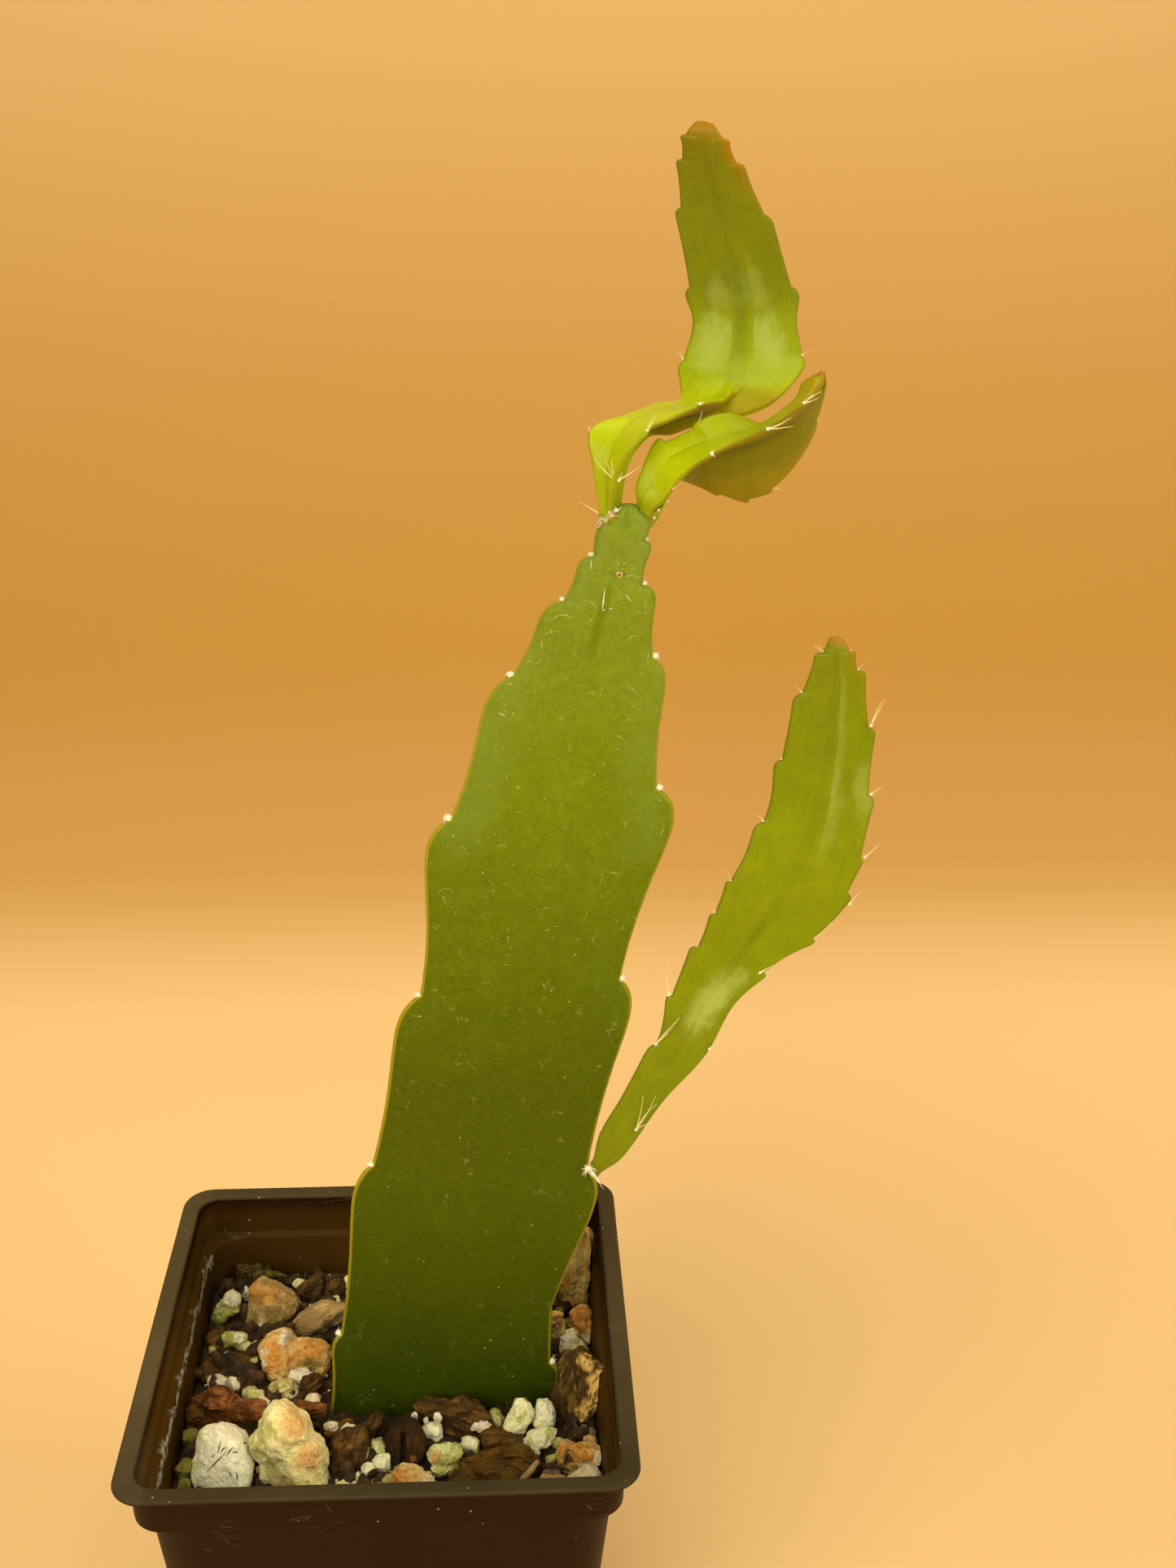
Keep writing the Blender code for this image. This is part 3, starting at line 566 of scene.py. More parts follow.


# %% [markdown]
# The plastic's colour lies between brown and grey. Dust and a painted sheen lift it on the rim's upper
# face, more towards the left and the back, and the inner walls are lighter near the top of the left wall.
# Lime and grit have dried on the inside of the left wall in a broken pale band, and small pale specks and
# fine scratches lie all over the outside. Each of these is a mask from 0 to 1: a noise or a field of cells,
# cut off at a threshold.

# %% The pot's finish
def pot_finish():
    plastic = Finish("pot_plastic", Metallic=0.0, Specular_IOR_Level=0.1)
    x, y, z = plastic.axes()
    rim = plastic.rise(z, 88.2, 88.8)
    smudge = plastic.cloud(14.0, detail=5)
    fine = plastic.cloud(1.1, detail=4)
    wall = plastic.blend(smudge, screen_colour(28, 8, 0), screen_colour(42, 17, 2))
    back = plastic.rise(y, -41.0, -20.0)
    left = 1 - plastic.rise(x, -39.5, -37.5)
    # The rim's upper face: dust and a painted sheen, lighter towards the left and the back.
    top = plastic.blend(smudge, screen_colour(54, 42, 20), screen_colour(76, 62, 36))
    top = top * (0.8 + 0.35 * back + 0.35 * left)
    dusty = plastic.blend(smudge, screen_colour(58, 34, 2), screen_colour(86, 56, 8))
    # Lighter near the top of the left inner wall.
    dusty = dusty * (0.8 + 0.9 * left * plastic.rise(z, 78.0, 86.0))
    colour = plastic.blend(plastic.mark("inner_wall") * 0.8, plastic.blend(rim, wall, top), dusty)

    speck_field = plastic.cells(2.6)
    speck_choice = plastic.axes(plastic.cells(2.6, output=1))[0]
    specks = (1 - plastic.rise(speck_field, 0.045, 0.1)) * plastic.rise(speck_choice, 0.72, 0.74)
    stretched = plastic.where * (0.35, 0.35, 2.2)
    hairline = plastic.cells(3.0, "DISTANCE_TO_EDGE", where=stretched)
    scratches = (1 - plastic.rise(hairline, 0.004, 0.016)) * plastic.rise(plastic.cloud(9.0), 0.56, 0.66)

    inside = 1 - plastic.rise(x, -38.6, -38.2)
    waterline = z - 78.8 - 6.0 * (plastic.cloud(7.0, detail=5) - 0.5)
    band = plastic.rise(waterline, -2.4, -0.4) * (1 - plastic.rise(waterline, 0.3, 1.6))
    flakes = plastic.rise(plastic.cloud(1.5, detail=6, rough=0.75) + 0.16 * (band - 1), 0.42, 0.54)
    crust = inside * band * flakes * plastic.mark("inner_wall")

    colour = plastic.blend(specks * 0.7, colour, screen_colour(176, 156, 118))
    colour = plastic.blend(scratches * 0.35, colour, screen_colour(120, 100, 74))
    colour = plastic.blend(crust * 0.75, colour, screen_colour(186, 168, 128))
    plastic.set(Base_Color=colour, Roughness=0.4 + 0.22 * smudge + 0.3 * crust + 0.08 * rim)
    relief = fine * 0.4 + specks * 1.2 + crust * 3.0 - scratches * 0.8
    plastic.set(Normal=plastic.bump(relief, 0.06, 0.5))
    return plastic


# %% The pot itself
def make_pot():
    gathered = Gathered()
    rings = [[moulded(point) for point in square_ring(*station)] for station in pot_stations]
    inner = [float(station[0] < INNER_COLLAR + 0.2 and station[2] > 1.0) for station in pot_stations]
    crossing = next(n for n, station in enumerate(pot_stations) if station[2] >= POT_HEIGHT - 0.01)
    marks = [value if n > crossing else 0.0 for n, value in enumerate(inner)]
    gathered.skin(rings, inner_wall=[value for value in marks for _ in rings[0]])
    pot = gathered.piece("nursery_pot", [pot_finish()])
    shape = bmesh.new()
    for sx in (-1, 1):
        for sy in (-1, 1):
            place = Matrix.Translation(Vector((sx * DRAIN_HOLE_OUT, sy * DRAIN_HOLE_OUT, 0)) * MM)
            radius = DRAIN_HOLE_RADIUS * MM
            depth = FLOOR_THICK * 4 * MM
            bmesh.ops.create_cone(
                shape, cap_ends=True, segments=32, radius1=radius, radius2=radius, depth=depth, matrix=place
            )
    drain_mesh = bpy.data.meshes.new("drain_holes")
    shape.to_mesh(drain_mesh)
    shape.free()
    drain = into_scene("drain_holes", drain_mesh)
    cut = pot.modifiers.new("drain", "BOOLEAN")
    cut.operation = "DIFFERENCE"
    cut.object = drain
    cut.solver = "EXACT"
    bpy.context.view_layer.update()
    graph = bpy.context.evaluated_depsgraph_get()
    done = bpy.data.meshes.new_from_object(pot.evaluated_get(graph))
    pot.modifiers.remove(cut)
    pot.data = done
    bpy.data.objects.remove(drain, do_unlink=True)
    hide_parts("pot")


make_pot()

# %% [markdown]
# ## Stones of pumice and perlite
#
# Each loose stone stays where its solid lies and fills the same room. What the solid leaves out comes on top.
# The larger stones get the outline that the viewer sees, given as a few corners right of and above the
# stone's middle, in millimetres. A ball is stretched to that outline and cut by random planes, because pumice
# breaks in facets. Strokes raise a ridge or press a groove along a short line. Last come the pores and the
# crumbly grain.

# %% The picture's own axes
PICTURE_AXES = Matrix((rightward, -ahead, upward)).transposed()
OUTLINE_STEPS = 72


def beside(centre, right, up, toward=0.0):
    """A place right of, above and nearer to the viewer than a centre, in millimetres."""
    return Vector(centre) + PICTURE_AXES @ Vector((right, toward, up))


# %% The stones: name, middle, half depth, kind, blockiness, facets, outline, strokes, spots
# A stroke is (start, end, width, height). A spot is (mark, right, up, width, strength).
# A spot marked dark is painted shade in a hollow.
STONES = [
    ("pumice_white_oval", (-29.6, -18.6, 74.3), 5.2, "white", 3.2, 2,
     [(-0.5, 6.2), (3.7, 4.3), (5.8, -0.6), (4.7, -5.6), (0.5, -9), (-3.7, -6.8), (-5.2, -0.4),
      (-3.8, 5.2)],
     [],
     [("algae", -3.5, 4.2, 1.8, 0.6), ("algae", -4.5, -1, 1.5, 0.6), ("algae", -2, -6, 1.8, 0.5),
      ("algae", 3.5, -5, 1.6, 0.5)]),
    ("pumice_tan_tall", (-16.6, -18.8, 75.8), 5.2, "tan", 3.2, 3,
     [(-2, 9.4), (0, 7.6), (2.4, 5.6), (3, 2.8), (4.8, 1.8), (5.9, -2.2), (5.8, -4.2), (7.1, -6.5),
      (3, -10), (-5.5, -9.2), (-6.3, -4.4), (-5.9, -2.5), (-7.8, 2.2), (-5.6, 5.8), (-4.4, 8.6)],
     [((3, 2.6), (0.8, 2.2), 0.8, -0.9), ((-6, -2.3), (-3.8, -2), 0.9, -0.7),
      ((-4, 2.5), (-2, 4), 2.2, 0.7), ((2, -5), (4, -6), 2.5, 0.8), ((3.2, 0), (3.6, -1), 1.4, 0.5)],
     [("rust", -0.2, 7.6, 2, 0.8), ("rust", 1, 5.4, 2.4, 0.8), ("rust", 0, 3.2, 2.6, 0.5),
      ("rust", 3.3, 0.5, 2.4, 0.9), ("rust", 4.1, -1, 2, 0.7), ("rust", -1.8, -5.6, 2.8, 0.8),
      ("rust", -4.3, -6, 1.6, 0.7), ("rust", 6, -6, 1.3, 1), ("algae", -5, 4.6, 2.4, 0.9),
      ("algae", -6, 1.6, 2.2, 1), ("algae", 4.7, -2.9, 1.4, 0.8), ("algae", 2.2, -4.4, 1.8, 0.7),
      ("algae", -3, -2, 2.6, 0.8)]),
    ("pumice_tan_back", (-25.4, 26.0, 73.4), 4.6, "rust", 2.6, 4,
     [(-2.9, 4.8), (0.8, 3.7), (4.4, 1.6), (5.1, -0.8), (3.2, -2.9), (0.5, -4.1), (-2.7, -4.8),
      (-6.2, -3.2), (-5.2, -0.7), (-4.6, 2.8)],
     [((-3, 1), (-1.5, -2.5), 1.2, -0.6), ((-4.7, -2.6), (-4.7, -2.6), 1.2, 0.6),
      ((-2.4, -3.8), (-1, -3.8), 1.1, 0.5)],
     [("rust", -3, 3.5, 1.7, 1), ("rust", -0.5, 2.5, 1.9, 1), ("rust", -3.3, 1.6, 1.2, 0.8),
      ("rust", 1.2, 2.8, 1.3, 0.6), ("dark", 0.2, -1.1, 0.9, 0.4), ("dark", -3.2, -1.4, 0.8, 0.8),
      ("algae", -5.4, -2, 1.3, 0.8), ("algae", -3.3, -2.4, 1.6, 0.6), ("pale", -2, -3.6, 1.2, 0.6)]),
    ("pumice_orange_left", (-20.2, 8.6, 73.8), 4.8, "orange", 3.0, 4,
     [(-2.5, 5.5), (-0.7, 5.6), (0.7, 3.5), (4.5, 3.5), (6.8, 2.8), (7.4, -1.5), (5.5, -4.5), (1, -6.2),
      (-5.2, -6), (-5.3, -1), (-5.7, 2.3), (-4.2, 4.8)],
     [((-0.8, 5.2), (-0.8, 5.2), 1.4, 0.7), ((2.5, -1.8), (5, -1.2), 1.8, -1.5),
      ((-0.2, 4.2), (0.2, 2.4), 0.5, -0.6), ((0.4, 2), (-1.8, -4), 0.8, 0.5)],
     [("pale", -0.7, 5, 1.2, 1), ("pale", -5, 0, 1, 0.9), ("pale", -4.8, 2.6, 0.9, 0.7),
      ("rust", -2.8, 2.5, 2, 1), ("rust", -3.4, -0.5, 1.7, 0.9), ("rust", -2, 0.8, 2, 0.9),
      ("rust", -3.6, -3.2, 1.6, 0.7), ("rust", 3.5, 2.2, 2.4, 1), ("rust", 0.8, 0.8, 2, 0.7),
      ("rust", 5.8, 2.4, 1.5, 1), ("algae", 3.8, -0.8, 2, 1), ("algae", 1.5, -2.5, 1.6, 0.9),
      ("algae", -2.3, -4.8, 1.6, 0.8), ("algae", 5.8, -0.2, 1.1, 0.9), ("dark", 2.8, -4.2, 1.6, 1),
      ("dark", 5, -3.4, 1.3, 0.9)]),
    ("pumice_green_back", (-34.4, 24.8, 73.4), 3.0, "green", 2.3, 5,
     [(0.8, 3.9), (2.4, 2.4), (2.2, -0.4), (-0.4, -2.2), (-2.3, -3.3), (-3.2, -1.5), (-1.8, 1)],
     [((-0.2, 0.9), (1.2, -0.6), 0.5, -0.5)],
     [("pale", 1, 2.6, 1.5, 1), ("algae", -2, -1, 1.4, 1), ("algae", -2.6, -2, 1, 1),
      ("algae", -0.6, 0.6, 1.1, 0.7)]),
    ("pumice_green_left", (-32.0, 15.6, 73.0), 2.1, "green", 2.4, 3,
     [(-0.5, 1.5), (1.5, 1.3), (2.8, 0.4), (1.5, -1.2), (-2, -1.2), (-2.6, 0.8)],
     [],
     [("algae", -1, 0, 2, 1), ("pale", 1.2, 0.9, 1, 0.9), ("dark", 0, -1.2, 1, 0.7)]),
    ("pumice_orange_right", (36.5, 16.8, 73.3), 3.0, "orange", 2.2, 2,
     [(0.2, 4), (2.2, 3.2), (3.4, 1.2), (3.6, -1.4), (2.6, -4.6), (-1, -3.6), (-2.4, -0.4), (-1.9, 2.4)],
     [((-0.8, 0.4), (1.2, -1.6), 0.35, -0.8)],
     [("rust", -0.2, 1.8, 2.4, 1), ("rust", 1.6, 2.2, 2, 1), ("rust", 2.8, 0, 1.6, 1),
      ("pale", 1, -2.6, 1.6, 1)]),
    ("pumice_white_right", (34.9, 10.2, 74.2), 3.0, "tan", 2.6, 6,
     [(-2.9, 1.9), (-0.5, 3), (2, 0.1), (2.9, -1.6), (2, -3), (-2.3, -2.8), (-2.5, 0)],
     [],
     [("pale", -1.3, 1.5, 1.6, 1), ("rust", 1.5, -1.4, 1.5, 0.9)]),
    ("pumice_orange_front", (5.0, -24.4, 72.8), 3.2, "orange", 2.4, 5,
     [(-4.4, -1.5), (-3.4, 2.4), (-2, 3), (0.2, 2.9), (2, 1.6), (3.8, 0.6), (4.5, -1.5), (0, -3.4)],
     [((-2.4, 2.2), (-2.4, 2.2), 0.8, 0.4)],
     [("rust", -2.6, 1, 2, 1), ("rust", -0.4, 1.6, 1.6, 0.6), ("rust", 0.4, 0.2, 2, 0.7),
      ("pale", 2.8, 0.1, 1.5, 1)]),
    ("pumice_green_front", (10.3, -19.5, 73.3), 2.4, "green", 2.6, 3,
     [(-3.3, 1.2), (-2.3, 2.2), (0, 2.8), (2.2, 2.9), (3.2, 1.7), (2.6, -0.7), (2.4, -1.9), (0.8, -2.9),
      (-1.2, -2.9), (-2.4, -1.7), (-2.4, -0.4)],
     [((-2.6, -0.5), (2.6, -0.6), 0.5, -0.8)],
     [("algae", -0.5, -1.8, 1.6, 0.6), ("algae", 1.5, 1.9, 1.6, 0.5), ("rust", -1.5, 1.2, 1.1, 1),
      ("rust", 2.4, 0.4, 0.9, 0.8)]),
    ("pumice_orange_corner", (35.2, -20.3, 73.6), 3.0, "orange", 2.6, 3,
     [(-4, 2.5), (-2.8, 3), (-1.5, 2.4), (0.3, 3), (2.4, 2.1), (4.2, 1.2), (4, -0.4), (2.3, -0.9),
      (0.3, -1.8), (-1.8, -3), (-3.5, -2.2), (-4.2, -0.6)],
     [((-2.3, 1.8), (-2.3, -0.8), 0.7, -1.5)],
     [("rust", -3.5, 2.1, 1.2, 1), ("rust", -0.8, 1.8, 1.7, 1), ("rust", 1.3, 1.5, 1.7, 1),
      ("dark", -2.3, 0.3, 0.9, 1), ("algae", -3.4, -1.2, 1.3, 1), ("algae", -2, -2.1, 1.4, 1),
      ("pale", 3.4, 0.7, 1.1, 1), ("pale", 0.4, -0.6, 1, 0.7)]),
    ("pumice_pale_corner", (35.4, -26.9, 74.0), 3.0, "pale", 2.4, 2,
     [(-3.9, -0.9), (-2.8, 0.9), (-0.8, 2.1), (0.9, 2.8), (2.4, 2.4), (3.4, 0.8), (3.6, -1.2), (1, -3),
      (-3, -2.6)],
     [((-2, 0.5), (2.5, 1.8), 0.8, 0.4)],
     []),
    ("perlite_front_left", (23.9, -11.8, 75.8), 2.4, "perlite", 2.8, 6,
     [(-0.7, 3.2), (0.7, 3.3), (1.7, 2.5), (3, 1.3), (2.8, 0), (1.7, -1.5), (1, -3), (-1.2, -3.3),
      (-2.9, -2.4), (-2.8, -0.8), (-1.7, 0.8), (-1.3, 2.3)],
     [((0.6, 3), (0.6, 0.3), 0.35, -0.8), ((-2.5, 0.2), (0.5, 0.2), 0.4, -0.7),
      ((-1.6, -1.2), (-1.6, -1.2), 1.3, 0.6)],
     [("algae", 0.4, 0, 1.1, 0.7), ("algae", 1, -1.6, 1, 0.7), ("algae", 1.4, 1.5, 0.6, 0.8),
      ("algae", -0.5, -2.8, 1, 0.5)]),
    ("perlite_front_right", (28.6, -11.3, 76.0), 2.0, "perlite", 3.0, 8,
     [(-1, 2.6), (0.6, 2.7), (1.5, 1.6), (2.2, -0.1), (1.7, -1.9), (0, -2.7), (-1.9, -2.2), (-1.8, 0)],
     [],
     [("algae", -0.7, -2, 1.1, 0.7)]),
    ("perlite_front_low", (27.6, -15.7, 74.2), 2.0, "perlite", 2.6, 6,
     [(-2.1, 1), (-0.3, 1.7), (1.7, 1.9), (3, 1.2), (2.7, -0.2), (1.6, -1.3), (-0.1, -1.9), (-1.9, -1.9),
      (-3, -0.8)],
     [],
     [("algae", -1.9, 0, 1.1, 0.9), ("algae", 2, 1.4, 1, 1)]),
]


# %% From an outline to a rough block
def clamped(value, low=0.0, high=1.0):
    return min(high, max(low, value))


def blocky_reach(parts, blockiness):
    """How far a rounded block reaches in a direction: 2 is a ball, and more comes nearer to a cube."""
    return sum(abs(part) ** blockiness for part in parts) ** (-1 / blockiness)


def reaches_of(outline, soft):
    """How far an outline reaches from its middle, all the way round, with its corners softened or not."""
    corners = sorted((Vector(corner) for corner in outline), key=lambda c: math.atan2(c.y, c.x))
    angles = [math.atan2(c.y, c.x) for c in corners]
    reaches = []
    for n in range(OUTLINE_STEPS):
        angle = -math.pi + math.tau * n / OUTLINE_STEPS
        after = next((k for k, a in enumerate(angles) if a > angle), 0)
        gap = (angles[after] - angles[after - 1]) % math.tau
        t = ((angle - angles[after - 1]) % math.tau) / gap
        reaches.append(corners[after - 1].lerp(corners[after], t).length)
    if not soft:
        return reaches
    neighbours = zip(reaches[-1:] + reaches[:-1], reaches, reaches[1:] + reaches[:1])
    return [(before + 2 * here + after) / 4 for before, here, after in neighbours]


def rough_block(radii, subdivisions, blockiness, facets, seed, outline=None, soft=True):
    """A block cut by random planes, as places in its own frame: right, toward the viewer and up."""
    starts, faces = ball(subdivisions)
    draw = random.Random(seed)
    drift = Vector([draw.uniform(0, 40) for _ in range(3)])
    planes = []
    for _ in range(facets):
        normal = Vector([draw.gauss(0, 1) for _ in range(3)])
        if outline:
            normal.y = 1.0 + abs(normal.y)
        planes.append((normal.normalized(), draw.uniform(0.72, 0.92)))
    reaches = reaches_of(outline, soft) if outline else None
    places = []
    for start in starts:
        parts = (math.hypot(start.x, start.z), start.y) if outline else start
        size = blocky_reach(parts, blockiness) * (1.0 - (0.0 if outline else 0.05 * (blockiness - 2.0)))
        place = start * size * (1.0 + 0.12 * noise.noise(start * 1.3 + drift))
        for normal, distance in planes:
            over = place.dot(normal) - distance
            if over > 0:
                place = place - normal * over * 0.85
        if reaches:
            turn = (math.atan2(place.z, place.x) + math.pi) / math.tau * OUTLINE_STEPS
            n = int(turn) % OUTLINE_STEPS
            reach = reaches[n] + (reaches[(n + 1) % OUTLINE_STEPS] - reaches[n]) * (turn - int(turn))
            places.append(Vector((place.x * reach * 1.04, place.y * radii[1], place.z * reach * 1.04)))
        else:
            places.append(Vector(c * r for c, r in zip(place, radii)))
    return places, faces


def half_sizes(outline, depth):
    """Half the width, the depth and half the height of an outlined block."""
    rights, ups = zip(*outline)
    return ((max(rights) - min(rights)) / 2, depth, (max(ups) - min(ups)) / 2)


def stroke_height(place, strokes):
    """How much the strokes lift a place on the side that faces the viewer."""
    total = 0.0
    for start, end, width, height in strokes:
        here, start, end = Vector((place.x, place.z)), Vector(start), Vector(end)
        way = end - start
        t = clamped((here - start).dot(way) / max(way.length_squared, 1e-6))
        away = (here - start - way * t).length / width
        total += height * math.exp(-away * away)
    return total * clamped(place.y + 0.3)


def spot_marks(places, spots):
    """Soft round marks on the side that faces the viewer, one column for each kind of mark."""
    columns = {}
    for mark, right, up, width, strength in spots:
        column = columns.setdefault(mark, [0.0] * len(places))
        for n, place in enumerate(places):
            if place.y > -0.5:
                away = math.hypot(place.x - right, place.z - up) / width
                column[n] = max(column[n], strength * math.exp(-0.7 * away * away))
    return columns


def inside_pot(point):
    """The same point, or the nearest one that is clear of the pot's inner wall."""
    limit = (body_half(point.z) - WALL if point.z < LEDGE else INNER_COLLAR) - 0.2
    return Vector((clamped(point.x, -limit, limit), clamped(point.y, -limit, limit), point.z))


# %% The grain of a stone
def stone_form(
    centre, radii, turn, blockiness, facets, subdivisions, grain=1.0, outline=None, strokes=(), spots=()
):
    """Points of one stone in millimetres, its faces and its marks."""
    drift = Vector(centre)
    places, faces = rough_block(radii, subdivisions, blockiness, facets, drift.length, outline)
    frame_of = PICTURE_AXES if outline else Matrix.Rotation(math.radians(turn), 3, "Z")
    points, depths = [], []
    for place in places:
        place.y += stroke_height(place, strokes)
        here = place + drift
        outward = Vector(c / (r * r) for c, r in zip(place, radii)).normalized()
        lump = 0.26 * noise.noise(here * 0.5) + 0.26 * noise.noise(here * 1.1)
        grit = noise.fractal(here * 0.55, 0.8, 2.1, 6) * 0.34
        cell = noise.voronoi(here * 0.95 + Vector((7, 3, 1)))[0]
        pore = max(0.0, 1.0 - cell[0] / 0.42)
        ridge = min(1.0, (cell[1] - cell[0]) / 0.22)
        push = grain * (lump + grit - 0.3 * pore * pore - 0.1 * (1 - ridge))
        points.append(inside_pot(drift + frame_of @ (place + outward * push)))
        depths.append(min(1.0, 0.6 * pore + 0.45 * (1 - ridge) + max(0.0, -grit * 1.6)))
    return points, faces, {"deep": depths, **spot_marks(places, spots)}


# %% [markdown]
# One function makes the finish of every kind of stone, because they differ only in their colours and in how
# much rust and algae has settled on them. Rust comes in broad soft patches, algae sits low down and in the
# creases, and a painted shade darkens the pores, the pits and the hollows marked dark. The marks say
# where the pores, the known patches, the hollows and the clean pale parts are, and noise frays their borders.

# %% The stones' finishes
def stone_finish(kind, colours, rust_amount, algae_amount, mottle_and_pit_shade):
    light, dark, rust, algae = [screen_colour(*colour) for colour in colours]
    stone = Finish("stone_" + kind, Metallic=0.0, Specular_IOR_Level=0.25)
    z = stone.axes()[2]
    deep = stone.mark("deep")
    broad = stone.cloud(6.5, detail=4)
    patch = stone.cloud(4.2, detail=5, rough=0.6, where=stone.where + (31.0, 7.0, 3.0))
    growth = stone.cloud(3.0, detail=6, rough=0.65, where=stone.where + (3.0, 19.0, 41.0))
    grain = stone.cloud(0.7, detail=5, rough=0.7)
    mottle = stone.cloud(1.5, detail=6, rough=0.7, where=stone.where + (12.0, 5.0, 8.0))
    dots = 1 - stone.rise(stone.cells(0.85), 0.14, 0.34)
    colour = stone.blend(stone.rise(broad, 0.35, 0.65), dark, light)
    fray = 0.7 * (patch - 0.5) + 1.5 * (mottle - 0.5) + 0.6 * (grain - 0.5)
    clean = stone.rise(stone.mark("pale") + fray, 0.35, 0.7)
    rusty = stone.rise(patch, 0.62 - rust_amount, 0.74 - rust_amount)
    rusty = stone.larger(rusty, stone.rise(stone.mark("rust") + fray, 0.22, 0.9))
    colour = stone.blend(rusty * 0.85, colour, rust)
    low = 1 - stone.rise(z, 72.0, 80.0)
    green = stone.rise(growth + 0.12 * low, 0.66 - algae_amount, 0.8 - algae_amount)
    green = stone.larger(green, stone.rise(stone.mark("algae") - fray + growth - 0.5, 0.3, 0.75))
    colour = stone.blend(green * 0.8, colour, algae)
    colour = stone.blend(clean * 0.85, colour, screen_colour(240, 222, 176))
    colour = stone.blend(stone.rise(mottle, 0.5, 0.6) * (0.25 + 0.2 * mottle_and_pit_shade), colour, light)
    dull = (1 - stone.rise(mottle, 0.38, 0.48)) * (0.3 * mottle_and_pit_shade)
    colour = stone.blend(dull, colour, darkened(dark, 0.62))
    # Painted shade in the pores and pits.
    pit_shade = (stone.rise(deep, 0.3, 1.0) * 0.45 + dots * 0.28) * mottle_and_pit_shade
    colour = stone.blend(pit_shade, colour, screen_colour(100, 78, 34))
    # Painted shade: the spots marked dark lie in hollows.
    hollow_shade = stone.rise(stone.mark("dark") + fray, 0.3, 0.8)
    colour = stone.blend(hollow_shade * 0.85, colour, screen_colour(48, 32, 10))
    stone.set(Base_Color=colour, Roughness=0.82 + 0.14 * grain)
    stone.set(Normal=stone.bump(mottle * 1.6 + grain - dots * 0.4, 0.3, 0.85))
    return stone


RUST = (205, 128, 52)
ALGAE = (150, 146, 44)
OLIVE = (120, 108, 34)
# Each kind: light, dark, rust and algae, then how much more rust, how much more algae, and how strong
# its mottle and the painted shade in its pits are.
STONE_KINDS = {
    "white": (((255, 250, 205), (252, 240, 186), RUST, (196, 194, 104)), -0.3, -0.02, 0.35),
    "tan": (((255, 232, 150), (246, 212, 124), (212, 132, 46), (178, 164, 72)), -0.02, 0.05, 0.6),
    "rust": (((192, 156, 86), (146, 112, 52), (206, 134, 48), OLIVE), -0.04, 0.04, 1.3),
    "orange": (((228, 184, 104), (200, 148, 68), (206, 122, 26), OLIVE), 0.0, 0.0, 1.4),
    "green": (((216, 206, 128), (180, 166, 72), RUST, ALGAE), -0.2, 0.05, 1.4),
    "pale": (((246, 222, 166), (230, 194, 128), RUST, ALGAE), -0.1, -0.1, 1.0),
    "perlite": (((255, 242, 192), (242, 226, 150), RUST, (188, 184, 76)), -0.3, 0.02, 0.7),
    "pink": (((246, 226, 190), (214, 184, 138), RUST, ALGAE), -0.3, -0.06, 1.0),
    "grey": (((160, 136, 100), (104, 84, 56), RUST, ALGAE), -0.2, -0.1, 1.0),
    "mossy": (((140, 128, 48), (86, 72, 20), RUST, OLIVE), -0.3, 0.2, 1.0),
    "wrinkled": (((232, 210, 140), (196, 172, 92), RUST, OLIVE), -0.3, 0.06, 1.0),
}
stone_finishes = {kind: stone_finish(kind, *row) for kind, row in STONE_KINDS.items()}
print("kinds of stone:", ", ".join(stone_finishes))

scratch_dark = Finish("scratch_dark", Roughness=0.9)
blotch = scratch_dark.cloud(0.6)
scratch_dark.set(Base_Color=scratch_dark.blend(blotch, screen_colour(44, 34, 14), screen_colour(96, 78, 40)))

# %% Scratches on the white stone, as places right of and above its middle
SCRATCHES = [
    [(-2, -0.7), (-0.9, 0.4), (-0.2, 1.2), (0.8, 2.2), (1.7, 3.2)],
    [(0, 2.6), (0.2, 3.6), (0.4, 4.8)],
    [(0.5, 2.6), (0.9, 3.3), (1.6, 3.9)],
    [(1.8, 2.5), (2.3, 3.3), (3, 4)],
    [(2.6, 2.9), (3.2, 2.9), (3.8, 2.6)],
    [(4.2, 3.6), (4.8, 3.3), (5, 2.7)],
    [(-1.3, 1.7), (-0.9, 2), (-0.6, 2.3)],
    [(2.3, -0.3), (2.5, -0.8), (2.8, -1.2)],
    [(3.4, -0.5), (3.6, -1.4), (3.7, -2.3)],
    [(0.2, -4.7), (0.4, -4.6), (0.7, -4.7)],
    [(4.5, -4.5), (4.6, -4.6), (4.8, -4.7)],
]


def scratch(gathered, points, faces, centre):
    tree = BVHTree.FromPolygons(points, faces)
    for line in SCRATCHES:
        places = []
        for start, end in zip(line, line[1:]):
            places += [Vector(start).lerp(Vector(end), n / 4) for n in range(4)]
        hits = [tree.ray_cast(beside(centre, *place, 30.0), ahead)[0] for place in places]
        path = [hit - ahead * 0.04 for hit in hits if hit]
        if len(path) < 2:
            continue
        widest = 0.24 if (path[0] - path[-1]).length < 0.8 else 0.14
        middle = (len(path) - 1) / 2
        radii = [widest * (1.0 - 0.7 * abs(n - middle) / middle) for n in range(len(path))]
        gathered.strand(path, radii, 6, 1)


# %% Placing the stones
SMOOTHER = {"white": 0.55, "pale": 0.5, "perlite": 0.75}
for name, centre, depth, kind, blockiness, facets, outline, strokes, spots in STONES:
    radii = half_sizes(outline, depth)
    fineness = 6 if radii[0] > 3.0 else 5
    grain = SMOOTHER.get(kind, 1.0)
    points, faces, marks = stone_form(
        centre, radii, 0, blockiness, facets, fineness, grain, outline, strokes, spots
    )
    gathered = Gathered()
    gathered.add(points, faces, **marks)
    if kind == "white":
        scratch(gathered, points, faces, centre)
    stone = gathered.piece("dressed_" + name, [stone_finishes[kind], scratch_dark])
    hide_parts(name)
